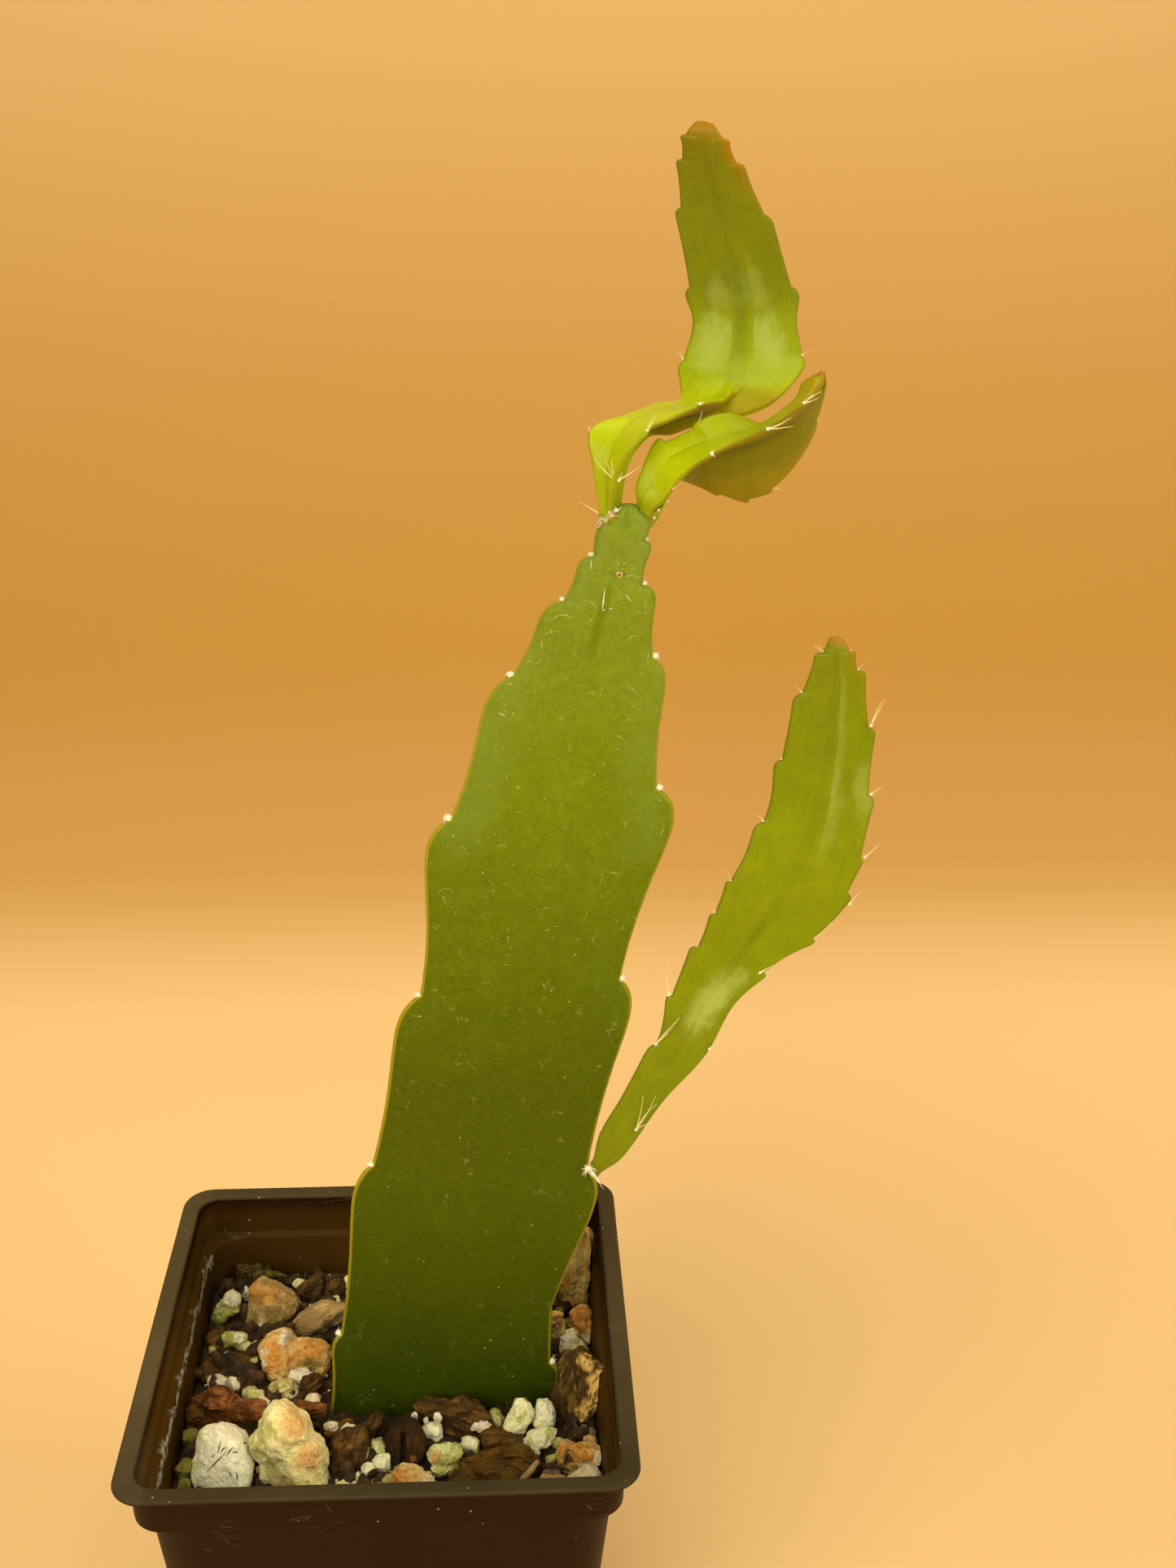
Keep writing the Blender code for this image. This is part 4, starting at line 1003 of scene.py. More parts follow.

# %% [markdown]
# ## Chips of bark
#
# Bark breaks along its layers, so a chip has flat terraces with torn edges, and strings run along its grain.
# Each chip is a rough block in its seen outline, as the stones are. Then each point is pushed by noise that
# hardly changes along the grain and changes quickly across it, which draws the fibres. A second, slower noise
# is cut into steps, which makes the terraces. Where a chip is papery, its points are crumpled as well.

# %% The chips: name, middle, half depth, kind, grain angle, step, furrow, outline, strokes, spots
# A spot marked dark is painted shade in a hollow, a slit or on an underside.
BARK = [
    # The pale spot on the red chip sits on its raised hump as a painted highlight.
    ("bark_red_chip", (-30.2, -5.1, 73.9), 2.0, "red", -6, 0.4, 0.6,
     [(-7.4, 1.9), (-5.4, 2.5), (-2.5, 3.2), (0, 2.5), (2.4, 1.4), (7, 0.5), (7.7, -0.3), (4.7, -1.7),
      (0, -3), (-5.3, -3), (-7.4, -1.5)],
     [((-2.6, 1.6), (-1, 1), 1.3, 0.9), ((-6.5, 0.6), (3, -0.4), 0.5, -0.6)],
     [("pale", -2.5, 1.4, 1.4, 0.6), ("dark", -6, 0.2, 1.2, 0.7), ("dark", 1, -2.4, 1.4, 0.6)]),
    ("bark_grey_flat", (-16.0, 21.0, 72.8), 2.4, "grey", 33, 0.06, 0.12,
     [(0.4, 3.5), (3.2, 3.5), (5.6, 3), (5.1, 0.6), (2.1, -1.4), (-0.3, -3.5), (-2.7, -3.3), (-5.6, -1.8),
      (-5, -0.4), (-1.1, 2.8)],
     [((-1.5, -3.4), (5.4, 1.2), 0.9, -0.8)],
     [("dark", 2.3, -0.6, 1.3, 1), ("dark", 4.4, 0.7, 1.2, 1), ("dark", 0.4, -2.3, 1.2, 1)]),
    ("bark_square", (-7.2, -16.9, 73.3), 1.9, "brown", 70, 0.3, 0.3,
     [(-3.3, 2.4), (0.7, 3.9), (2.3, 4.6), (3.2, 1.2), (3.4, -0.8), (2.5, -2.8), (-1.3, -4.5),
      (-2.3, -4.3), (-2.9, -1.7)],
     [],
     [("pale", 0.4, 1.6, 0.9, 0.6), ("pale", -0.5, -1.2, 0.7, 0.5), ("dark", 1, -2.8, 1.1, 0.6)]),
    ("bark_bean", (3.4, -16.0, 74.3), 2.4, "bean", 90, 0.12, 0.15,
     [(-0.4, 4.1), (1.4, 3.7), (3, 1.3), (3.5, -1), (2.8, -3), (0.5, -4.2), (-2.4, -3.2), (-3.5, -1.2),
      (-3, 2.4), (-1.8, 3.7)],
     [((-0.5, 1.8), (-0.6, -3.2), 0.5, -1.3)],
     [("dark", -0.5, 0.9, 0.6, 1), ("dark", -0.6, -0.8, 0.7, 1), ("dark", -0.6, -2.4, 0.7, 1),
      ("pale", 1.3, -2, 0.6, 0.9)]),
    ("bark_strip", (11.5, -9.8, 74.8), 1.6, "brown", -14, 0.35, 0.5,
     [(-7.3, 1.6), (-6.4, 1.4), (-5, 2.5), (-3.3, 3), (-0.2, 2.7), (2.7, 3.4), (5, 2.5), (6.8, 0.5),
      (7.4, -2.4), (5.7, -3.3), (1, -3.4), (-1.7, -2.7), (-4, -1.4)],
     [((-5.5, 0.2), (0.5, -2.6), 0.5, -0.7), ((0.5, -2.6), (5.5, -2.7), 0.5, -0.7),
      ((-4, 1.8), (4, 1.6), 1.2, 0.5)],
     [("dark", -4, -0.5, 1, 0.9), ("dark", -1.5, -2, 1, 0.9), ("dark", 1.5, -2.8, 1.1, 0.9),
      ("dark", 4.5, -2.8, 1.1, 0.9)]),
    ("bark_front_chip", (20.4, -22.1, 73.0), 3.0, "dark", 4, 0.3, 0.06,
     [(-7, 2.4), (-4.8, 3), (2.4, 3.6), (6, 2.1), (7.2, 1.5), (5.4, -0.3), (1.2, -3.3), (-2.1, -3.6),
      (-5, -2.7), (-7, 0.6)],
     [((-6, 1.6), (2.1, 2.6), 0.4, -0.9), ((1.5, 1.4), (4.6, -0.6), 0.5, -0.7)],
     [("dark", 3.3, -0.4, 1.4, 0.7), ("dark", -3.6, -2.1, 1.5, 0.8)]),
    ("bark_textured", (35.4, -4.5, 75.1), 3.2, "papery", 74, 0.4, 0.5,
     [(-4.2, 4.7), (-1.8, 7.1), (0.1, 8.1), (1.8, 6.9), (4.4, 4.3), (4.6, 2.2), (2.9, -3.3), (0.4, -7.2),
      (-1.8, -8.1), (-3.8, -8.1), (-4.6, -5), (-4.3, 2)],
     [((1.6, 6.4), (3.2, 1), 1.2, 0.8), ((3, 0), (-0.8, -6), 1.1, 0.8), ((-0.2, 5), (0.6, -2), 0.8, -0.8)],
     [("pale", 1.4, 6.2, 1.6, 1), ("pale", 3.3, 3.6, 1.7, 1), ("pale", 3.4, 0.9, 1.6, 1),
      ("pale", 2.4, -1.6, 1.6, 1), ("pale", 0.6, -3.8, 1.6, 1), ("pale", -0.9, -6, 1.5, 1),
      ("pale", 0, 6, 1, 0.7), ("dark", -3.8, 0, 1.8, 0.5)]),
    ("bark_upright", (35.6, 27.6, 79.5), 2.0, "upright", 84, 0.25, 0.4,
     [(1.8, 7.3), (3.1, 6.2), (3.3, 2.6), (2.6, -0.4), (2.3, -4.1), (2.7, -6.5), (0.7, -7.3), (-1.8, -7),
      (-3.3, -4.9), (-3, -2.1), (-1.3, 2.8), (0, 5.4)],
     [((2.2, 6), (1.9, 0), 0.4, -0.5)],
     [("dark", -2.7, -5.4, 1.4, 0.7), ("dark", -2.2, 0.6, 1, 0.5)]),
]


# %% The terraces and strings of a chip
def chip_form(
    centre, radii, grain_angle, step, furrow, subdivisions, turn=0.0, outline=None, strokes=(), spots=()
):
    """Points of one chip in millimetres, its faces and its marks."""
    drift = Vector(centre)
    places, faces = rough_block(radii, subdivisions, 5.0, 5, drift.length, outline, soft=False)
    frame_of = PICTURE_AXES if outline else Matrix.Rotation(math.radians(turn), 3, "Z")
    slant = math.radians(grain_angle)
    marks = spot_marks(places, spots)
    crumpled = marks.get("pale") if step > 0.3 else None
    points, depths = [], []
    for n, place in enumerate(places):
        place.y += stroke_height(place, strokes)
        along = place.x * math.cos(slant) + place.z * math.sin(slant)
        across = place.z * math.cos(slant) - place.x * math.sin(slant)
        outward = Vector(c / (r * r) for c, r in zip(place, radii)).normalized()
        fibre = noise.fractal(Vector((along * 0.25, across * 1.4, place.y * 1.4)) + drift, 0.8, 2.0, 5)
        level = 3.2 * noise.noise(Vector((along * 0.17, across * 0.5, place.y * 0.3)) + drift)
        rise = level - math.floor(level)
        terrace = math.floor(level) + min(1.0, rise / 0.16)
        push = furrow * 0.55 * fibre + step * terrace
        if crumpled:
            push += 0.8 * crumpled[n] * noise.noise((place + drift) * 0.9)
        points.append(inside_pot(drift + frame_of @ (place + outward * push)))
        torn = 0.55 if rise < 0.16 else 0.0
        depths.append(clamped(0.3 + torn - 1.1 * fibre * (0.4 + furrow)))
    return points, faces, {"deep": depths, **marks}


# %% The bark's finishes
def bark_finish(kind, colours, grain_stretch, shine):
    light, dark, thread = [screen_colour(*colour) for colour in colours]
    bark = Finish("bark_" + kind, Metallic=0.0, Specular_IOR_Level=0.3)
    deep = bark.mark("deep")
    along_grain = bark.where * grain_stretch
    threads = bark.cloud(0.8, detail=6, rough=0.7, where=along_grain)
    blotch = bark.cloud(3.2, detail=4)
    flake = bark.cells(1.9, "DISTANCE_TO_EDGE", where=along_grain + bark.cloud(2.4) * 1.2)
    colour = bark.blend(bark.rise(blotch, 0.36, 0.66), dark, light)
    colour = bark.blend(bark.rise(threads, 0.55, 0.72) * 0.65, colour, thread)
    colour = bark.blend((1 - bark.rise(flake, 0.01, 0.07)) * 0.5, colour, dark)
    fray = 0.8 * (blotch - 0.5) + 0.6 * (threads - 0.5)
    colour = bark.blend(bark.rise(bark.mark("pale") + fray, 0.3, 0.75) * 0.9, colour, thread)
    # Painted shade in the torn edges of the terraces and the furrows between the fibres.
    colour = bark.blend(bark.rise(deep, 0.35, 0.95) * 0.7, colour, darkened(dark, 0.35))
    # Painted shade: the spots marked dark lie in hollows, slits and on undersides.
    colour = bark.blend(bark.rise(bark.mark("dark") + fray, 0.3, 0.75) * 0.8, colour, darkened(dark, 0.4))
    bark.set(Base_Color=colour, Roughness=0.86 - shine + 0.12 * threads)
    bark.set(Normal=bark.bump(threads + flake * 0.6, 0.2, 0.75))
    return bark


ALONG_X = (0.25, 1.0, 1.0)
ALONG_Z = (1.0, 1.0, 0.25)
# Each kind: light, dark and threads, then the stretch along its grain, and how much it shines.
BARK_KINDS = {
    "red": (((146, 84, 30), (84, 42, 12), (184, 116, 54)), ALONG_X, 0.0),
    "upright": (((255, 214, 112), (230, 170, 74), (255, 226, 140)), ALONG_Z, 0.0),
    "grey": (((182, 146, 82), (148, 114, 58), (200, 166, 100)), ALONG_X, 0.0),
    "papery": (((110, 78, 24), (62, 42, 10), (222, 170, 82)), ALONG_Z, 0.0),
    "brown": (((106, 68, 20), (52, 30, 6), (146, 104, 50)), ALONG_X, 0.0),
    "bean": (((62, 30, 2), (34, 15, 1), (118, 76, 28)), ALONG_Z, 0.1),
    "dark": (((106, 68, 6), (70, 42, 2), (124, 82, 14)), ALONG_X, 0.3),
    "splinter": (((206, 172, 112), (160, 124, 68), (236, 208, 154)), ALONG_X, 0.0),
}
bark_finishes = {kind: bark_finish(kind, *row) for kind, row in BARK_KINDS.items()}
print("kinds of bark:", ", ".join(bark_finishes))

# %% Placing the chips
for name, centre, depth, kind, grain_angle, step, furrow, outline, strokes, spots in BARK:
    points, faces, marks = chip_form(
        centre, half_sizes(outline, depth), grain_angle, step, furrow, 6, 0.0, outline, strokes, spots
    )
    gathered = Gathered()
    gathered.add(points, faces, **marks)
    chip = gathered.piece("dressed_" + name, [bark_finishes[kind]])
    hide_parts(name)

# %% Smaller bits of bark: kind, middle, half sizes, turn
BARK_BITS = [
    ("brown", (-18.5, 29.8, 73.4), (2.7, 1.8, 2.1), 10),
    ("brown", (-13.5, 31.5, 73.2), (2.3, 1.6, 1.6), 40),
    ("brown", (-31.0, 36.0, 73.4), (3.6, 1.5, 1.7), 5),
    ("dark", (-35.6, 16.5, 72.2), (2.4, 3.2, 1.6), 20),
    ("dark", (-32.0, 9.0, 71.8), (6.0, 4.4, 1.1), 8),
    ("brown", (-15.9, 2.6, 72.8), (2.0, 1.6, 2.0), 30),
    ("red", (-15.2, -5.2, 73.2), (3.6, 1.4, 1.5), -12),
    ("dark", (-36.2, -5.9, 72.8), (2.0, 1.8, 1.9), 0),
    ("dark", (-9.3, -11.4, 73.0), (3.2, 2.1, 1.8), 15),
    ("brown", (-3.0, -10.2, 73.6), (2.6, 1.6, 2.3), 60),
    ("dark", (21.0, -14.9, 73.4), (4.1, 2.2, 1.7), 0),
    ("dark", (14.5, -22.8, 72.4), (3.0, 2.0, 1.3), 10),
    ("upright", (31.4, 12.6, 75.4), (1.2, 1.5, 3.6), 20),
    ("brown", (33.0, 24.0, 72.6), (2.2, 1.8, 1.2), 50),
]
bit_kinds = sorted({row[0] for row in BARK_BITS})
gathered = Gathered()
for kind, centre, halves, turn in BARK_BITS:
    points, faces, marks = chip_form(centre, halves, 20, 0.35, 0.6, 5, turn)
    gathered.add(points, faces, bit_kinds.index(kind), **marks)
bark_bits = gathered.piece("bark_bits", [bark_finishes[kind] for kind in bit_kinds])

# %% [markdown]
# ## The potting mix
#
# The mix is crumbled bark and peat with perlite in it. Seen from close by, it isn't a surface at all but a
# heap of crumbs, with black gaps between them. The bed below the heap is a rough skin over the same form as
# the solid. On it lie crumbs, fibres and grains, each a small mesh of its own, gathered in one piece for each
# material. Their places are drawn at random from a fixed seed, and the larger grains lie where a grower would
# see them here.

# %% The bed
BED_RINGS = 64
BED_ROUGHNESS = 1.5


def bed_height(x, y):
    """The height of the mix at a place: slow swells, then crumbs."""
    z = SOIL_LEVEL + BED_ROUGHNESS * noise.noise(Vector((x * 0.11, y * 0.11, 3.0)))
    return z + 0.5 * noise.noise(Vector((x * 0.4, y * 0.4, 9.0)))


def make_bed(finish):
    gathered = Gathered()
    rings = []
    for height in (FLOOR_THICK + 0.35, 20.0, 40.0, 60.0, SOIL_LEVEL - 3.0):
        half = body_half(height) - WALL - 0.35
        rings.append(square_ring(half, body_radius(height) - WALL - 0.35, height, 12, 40))
    half = body_half(SOIL_LEVEL) - WALL - 0.35
    radius = body_radius(SOIL_LEVEL) - WALL - 0.35
    for number in range(BED_RINGS):
        share = 1.0 - 0.99 * number / (BED_RINGS - 1)
        ring = square_ring(half * share, radius * share, 0.0, 12, 40)
        for point in ring:
            point.z = bed_height(point.x, point.y)
            if number:
                here = Vector((point.x, point.y, 0.0))
                point.z += 0.5 * noise.fractal(here * 0.8, 0.7, 2.1, 4)
                point.z -= 0.5 * max(0.0, noise.noise(here * 0.35 + Vector((0, 0, 5))))
        rings.append(ring)
    gathered.skin(rings)
    bed = gathered.piece("mix_bed", [finish])
    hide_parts("soil")


# %% The mix's finishes
def mix_finish(kind, *colours):
    light, dark, thread = [screen_colour(*colour) for colour in colours]
    earth = Finish("mix_" + kind, Metallic=0.0)
    crumbs = earth.cells(1.6, where=earth.where + earth.cloud(1.5) * 0.8)
    clod = earth.cloud(2.6, detail=5)
    fine = earth.cloud(0.5, detail=5, rough=0.7)
    colour = earth.blend(earth.rise(clod, 0.35, 0.68), dark, light)
    colour = earth.blend(earth.rise(fine, 0.6, 0.75) * 0.6, colour, thread)
    # Painted shade in the gaps between the crumbs.
    colour = earth.blend(earth.rise(crumbs, 0.3, 0.7) * 0.6, colour, darkened(dark, 0.4))
    earth.set(Base_Color=colour, Roughness=0.88 + 0.1 * fine)
    earth.set(Normal=earth.bump(fine - crumbs, 0.3, 0.8))
    return earth


# Each kind: light, dark and threads.
MIX_KINDS = {
    "peat": ((78, 52, 22), (36, 22, 8), (116, 84, 42)),
    "crumbs": ((96, 60, 28), (42, 24, 10), (146, 106, 62)),
    "fibre": ((158, 118, 66), (100, 68, 30), (196, 162, 108)),
    "moss": ((104, 92, 22), (58, 48, 8), (150, 134, 50)),
}
mix_finishes = {kind: mix_finish(kind, *row) for kind, row in MIX_KINDS.items()}
make_bed(mix_finishes["peat"])

# %% Keeping clear of what already lies there
taken = [(row[1][0], row[1][1], half_sizes(row[-3], row[2])[0]) for row in STONES + BARK]


def free_place(draw, reach, margin=1.5):
    """A random place on the bed that no stone, chip or stem covers, or None."""
    limit = body_half(SOIL_LEVEL) - WALL - margin
    x, y = draw.uniform(-limit, limit), draw.uniform(-limit, limit)
    if -13.0 < x < 31.5 and abs(y - STEM_PLANE) < 2.6 + reach:
        return None
    if any(math.hypot(x - cx, y - cy) < size * 0.8 + reach * 0.5 for cx, cy, size in taken):
        return None
    return x, y


# %% Crumbs of bark and peat
CRUMBS = 900
CRUMB_SEED = 31
CRUMB_SHAPE = ((0.9, 1.7), (0.5, 0.9), (0.25, 0.6))


def scatter_crumbs(count, seed):
    draw = random.Random(seed)
    gathered = Gathered()
    starts, faces = ball(2)
    for _ in range(count):
        reach = draw.choice((0.5, 0.7, 0.9, 1.2, 1.6, 2.2))
        place = free_place(draw, reach)
        if place is None:
            continue
        spin = Euler([draw.uniform(0, math.tau) for _ in range(3)]).to_matrix()
        sizes = [reach * draw.uniform(least, most) for least, most in CRUMB_SHAPE]
        seat = Vector((*place, bed_height(*place) + reach * draw.uniform(0.0, 0.45)))
        points = []
        for start in starts:
            corner = blocky_reach(start, 3.6) * (1 + 0.35 * noise.noise(start * 1.7 + seat * 3.0))
            points.append(seat + spin @ Vector(c * s * corner for c, s in zip(start, sizes)))
        gathered.add(points, faces)
    crumbs = gathered.piece("mix_crumbs", [mix_finishes["crumbs"]])


scatter_crumbs(CRUMBS, CRUMB_SEED)

# %% Grains of perlite: kind, x, y, half width, half height
GRAINS = [
    ("perlite", -36, 34, 0.7, 0.7), ("pink", -31.5, 30.5, 1.1, 1.7), ("perlite", -21, 33.5, 1.5, 0.9),
    ("perlite", -17, 35.5, 0.6, 0.5), ("perlite", -12.5, 35, 0.5, 0.3), ("tan", -11, 32.5, 1.1, 2.1),
    ("tan", -14, 28, 1.8, 0.9), ("green", -30, 14.5, 1.4, 1.1), ("green", -28, 13, 1.6, 1.3),
    ("green", -27.5, 10.5, 0.9, 0.8), ("perlite", -32, 9.5, 0.6, 0.5), ("pink", -33.5, 4, 2.2, 1.4),
    ("pink", -30.5, 2.5, 1.4, 1.8), ("green", -26.5, 0, 2.2, 1.6), ("pink", -24.5, -2, 1.6, 1.2),
    ("pink", -18, 4.5, 2.4, 1.7), ("wrinkled", -21, 1, 2.7, 2.3), ("green", -18, -2.5, 1.3, 0.6),
    ("pale", -15, -2, 1.7, 1.4), ("mossy", -36.5, -11, 1.7, 1.6), ("mossy", -36.3, -19.5, 1.8, 2.1),
    ("mossy", -36, -23, 1.3, 1.3),
    ("green", -4, -16.5, 1, 1.3), ("green", -2, -15.5, 1.5, 1.7), ("perlite", -3.5, -21, 1.4, 1.7),
    ("perlite", -1, -19, 1.8, 1.7), ("perlite", -5, -22.5, 0.7, 1.3), ("perlite", -7, -24.5, 2.3, 0.9),
    ("green", -1.5, -24.5, 2.6, 0.8), ("mossy", -37.5, 8, 0.7, 0.9), ("perlite", 8, -12, 2.2, 1.8),
    ("perlite", 15, -15, 1.8, 1.7), ("green", 19.5, -9.5, 1.6, 2.4), ("perlite", 25, -13.5, 0.7, 0.5),
    ("perlite", 26, -17.5, 1.6, 1.4), ("green", 31, -15.5, 1.2, 1.3), ("green", 30, -19.5, 1.4, 1.3),
    ("pale", 1, -21.5, 0.8, 0.9), ("green", 0.5, -23.5, 1.5, 1.2), ("pink", 10.5, -24.5, 1.3, 0.9),
    ("perlite", 13, -24.8, 1.5, 0.7), ("orange", 29.5, -24.5, 2.9, 1.1), ("mossy", 25, -25, 1.3, 0.6),
    ("grey", 29.5, -22, 2, 1), ("grey", 36.5, -13, 1.6, 1.7), ("orange", 36.8, -15.6, 1.5, 1.6),
    ("pale", 37.5, 26, 1.1, 0.9), ("mossy", 32.5, 21, 1, 1.6), ("mossy", 34, 18.8, 1.5, 1),
    ("grey", 33.5, 7.5, 2.2, 1.5),
]
# White growth stands in flakes on the strip of bark and on the dark bits left of it: middle, half sizes.
FLAKES = [
    ((4.7, -11.4, 76.5), (0.7, 0.5, 1.3)),
    ((8.9, -12.0, 76.4), (0.8, 0.5, 1.2)),
    ((17.0, -12.4, 74.4), (2.2, 0.9, 1.2)),
    ((6.8, -11.6, 75.6), (0.5, 0.4, 0.6)),
    ((-10.6, -12.2, 75.4), (1.5, 0.8, 1.0)),
    ((-7.0, -12.6, 75.0), (2.0, 0.8, 1.0)),
]


# %% Placing the grains
FINE_GRAINS = 110
GRAIN_SEED = 32


def scatter_grains(kind_numbers, count, seed):
    """The placed grains, then a sprinkle of dust-fine ones, in one piece with a finish for each kind."""
    draw = random.Random(seed)
    gathered = Gathered()
    rows = []
    for kind, x, y, half_wide, half_high in GRAINS:
        z = bed_height(x, y) + 0.6 * half_high
        seat = (x, y, z if half_high < 1.2 else max(z, 72.6))
        halves = (half_wide, (half_wide + half_high) / 2, half_high)
        rows.append((kind, seat, halves, 4 if half_wide > 1.0 else 3))
    while len(rows) < len(GRAINS) + count:
        size = draw.choice((0.2, 0.25, 0.3, 0.4, 0.5, 0.7))
        place = free_place(draw, size)
        if place:
            seat = (*place, bed_height(*place) + 0.3 + 0.4 * size)
            radii = [size * draw.uniform(0.8, 1.2) for _ in range(3)]
            rows.append((draw.choice(("perlite", "pink", "green", "tan")), seat, radii, 2))
    rows += [("pink", seat, radii, 5) for seat, radii in FLAKES]
    for kind, seat, radii, subdivisions in rows:
        folds, outline = [], None
        if kind == "wrinkled":
            ends = [(draw.uniform(-2.2, 2.2), draw.uniform(-1.9, 1.9)) for _ in range(14)]
            folds = [(start, end, 0.22, -0.4) for start, end in zip(ends, ends[1:])]
            outline = [(math.cos(n) * 2.7, math.sin(n) * 2.3) for n in range(7)]
            subdivisions = 5
        grain = min(0.9, max(radii) * 0.45)
        points, faces, marks = stone_form(
            seat, radii, draw.uniform(-12, 12), draw.uniform(2.2, 3.0), 7, subdivisions, grain, outline, folds
        )
        gathered.add(points, faces, kind_numbers[kind], **marks)
    return gathered


kind_order = ["perlite", "pink", "green", "mossy", "wrinkled", "tan", "pale", "orange", "grey"]
grain_finishes = [stone_finishes[kind] for kind in kind_order]
grain_numbers = {kind: n for n, kind in enumerate(kind_order)}
mix_grains = scatter_grains(grain_numbers, FINE_GRAINS, GRAIN_SEED).piece("mix_grains", grain_finishes)


# %% Fibres
FIBRES = 260
FIBRE_SEED = 33
FIBRE_STEPS = 9


def scatter_fibres(count, seed):
    draw = random.Random(seed)
    gathered = Gathered()
    for _ in range(count):
        place = free_place(draw, 0.5, 3.0)
        if place is None:
            continue
        x, y = place
        heading = draw.uniform(0, math.tau)
        length = draw.uniform(1.5, 7.0)
        radius = draw.choice((0.05, 0.07, 0.1, 0.16))
        bend = draw.uniform(-0.5, 0.5)
        path = []
        limit = body_half(SOIL_LEVEL) - WALL - 1.0
        for n in range(FIBRE_STEPS):
            x = clamped(x, -limit, limit)
            y = clamped(y, -limit, limit)
            arch = math.sin(math.pi * n / (FIBRE_STEPS - 1)) * length * draw.uniform(0.08, 0.16)
            path.append(Vector((x, y, bed_height(x, y) + 0.5 + arch)))
            x += math.cos(heading) * length / FIBRE_STEPS
            y += math.sin(heading) * length / FIBRE_STEPS
            heading += bend * 0.6 + draw.uniform(-0.25, 0.25)
        radii = [radius * (1 - 0.6 * n / FIBRE_STEPS) for n in range(FIBRE_STEPS)]
        gathered.strand(path, radii, 5, draw.choice((0, 0, 1)))
    return gathered


# %% Fibres with a place of their own: ends, radius, finish
STICK_SEED = 35
STICK_STEPS = 8
MOSS_SEED = 34
MOSS_HAIRS = 46


def drawn(draw, *limits):
    """A vector with each part drawn between its two limits."""
    return Vector([draw.uniform(low, high) for low, high in limits])


def add_stick(gathered, start, end, radius, finish_number, bow=0.0):
    start, end = Vector(start), Vector(end)
    path, radii = [], []
    for n in range(STICK_STEPS + 1):
        t = n / STICK_STEPS
        arch = Vector((0.0, 0.0, bow * math.sin(math.pi * t)))
        wobble = arch + 0.3 * radius * noise.noise_vector(start + end * t)
        path.append(start.lerp(end, t) + wobble)
        radii.append(radius * (0.45 + 0.75 * math.sin(math.pi * min(1.0, 0.12 + t)) ** 0.5))
    gathered.strand(path, radii, 7, finish_number)


# Noise vectors take their seed from the clock unless one is set.
noise.seed_set(STICK_SEED)
fibre_finishes = [mix_finishes[kind] for kind in ("crumbs", "fibre", "moss")] + [bark_finishes["splinter"]]
gathered = scatter_fibres(FIBRES, FIBRE_SEED)
front_chip = next(row[1] for row in BARK if row[0] == "bark_front_chip")
# Thick fibres that show, then a clump of moss in the far left corner.
add_stick(gathered, (-31.5, 34.6, 74.3), (-23.5, 34.0, 74.0), 0.75, 2, 0.3)
add_stick(gathered, beside(front_chip, 7.0, 2.6, 2.6), beside(front_chip, 2.1, -2.7, 3.4), 0.5, 3)
add_stick(gathered, beside(front_chip, 6.6, 1.0, 2.4), beside(front_chip, 3.0, -2.2, 3.0), 0.2, 0)
add_stick(gathered, (27.0, -21.8, 73.8), (33.0, -22.6, 72.9), 0.3, 0, 0.3)
draw = random.Random(MOSS_SEED)
for _ in range(MOSS_HAIRS):
    root = drawn(draw, (-33, -27), (33.5, 36.5), (73.0, 74.6))
    tip = root + drawn(draw, (-1.2, 1.2), (-1.2, 0.4), (0.3, 2.0))
    add_stick(gathered, root, tip, 0.16, 2)
mix_fibres = gathered.piece("mix_fibres", fibre_finishes)

# %% [markdown]
# ## How a winged stem is built
#
# An orchid cactus has no leaves: its stems are flat green wings on a thin woody core. The old stem and the
# side branch have two wings, and the crown shoots have three where they start. So one way of building serves
# for all: an axis, a margin for every wing, and a row of areoles on each margin. Between two areoles the
# margin swells slowly and then drops, which makes the lobes of the old stem and the teeth of the young ones.
# These rules are the solids' own. What is finer here is the number of rings, the round margins, and the
# fillets between the wings.

# %% Curves through named points
def smooth_between(knots, key):
    """A smooth curve through (key, Vector) knots, read at the key."""
    if key <= knots[0][0]:
        return knots[0][1].copy()
    if key >= knots[-1][0]:
        return knots[-1][1].copy()
    i = next(n for n in range(len(knots) - 1) if knots[n + 1][0] > key)

    def slope(n):
        before, after = max(n - 1, 0), min(n + 1, len(knots) - 1)
        return (knots[after][1] - knots[before][1]) / (knots[after][0] - knots[before][0])

    (start, a), (end, b) = knots[i], knots[i + 1]
    span = end - start
    t = (key - start) / span
    return (
        a * (2 * t**3 - 3 * t**2 + 1)
        + slope(i) * span * (t**3 - 2 * t**2 + t)
        + b * (3 * t**2 - 2 * t**3)
        + slope(i + 1) * span * (t**3 - t**2)
    )


def straight_between(knots, key):
    for (start, a), (end, b) in zip(knots, knots[1:]):
        if key <= end:
            return a.lerp(b, max(0.0, (key - start) / (end - start)))
    return knots[-1][1].copy()


def margin_swell(key, areoles, swells, sharpness):
    """How far a margin stands out at a key: it rises slowly above an areole and drops just below the next."""
    for lower, upper, swell in zip(areoles, areoles[1:], swells):
        if lower < key < upper:
            t = (key - lower) / (upper - lower)
            return swell * 2.0 * t * t * (1.0 - t**sharpness)
    return 0.0


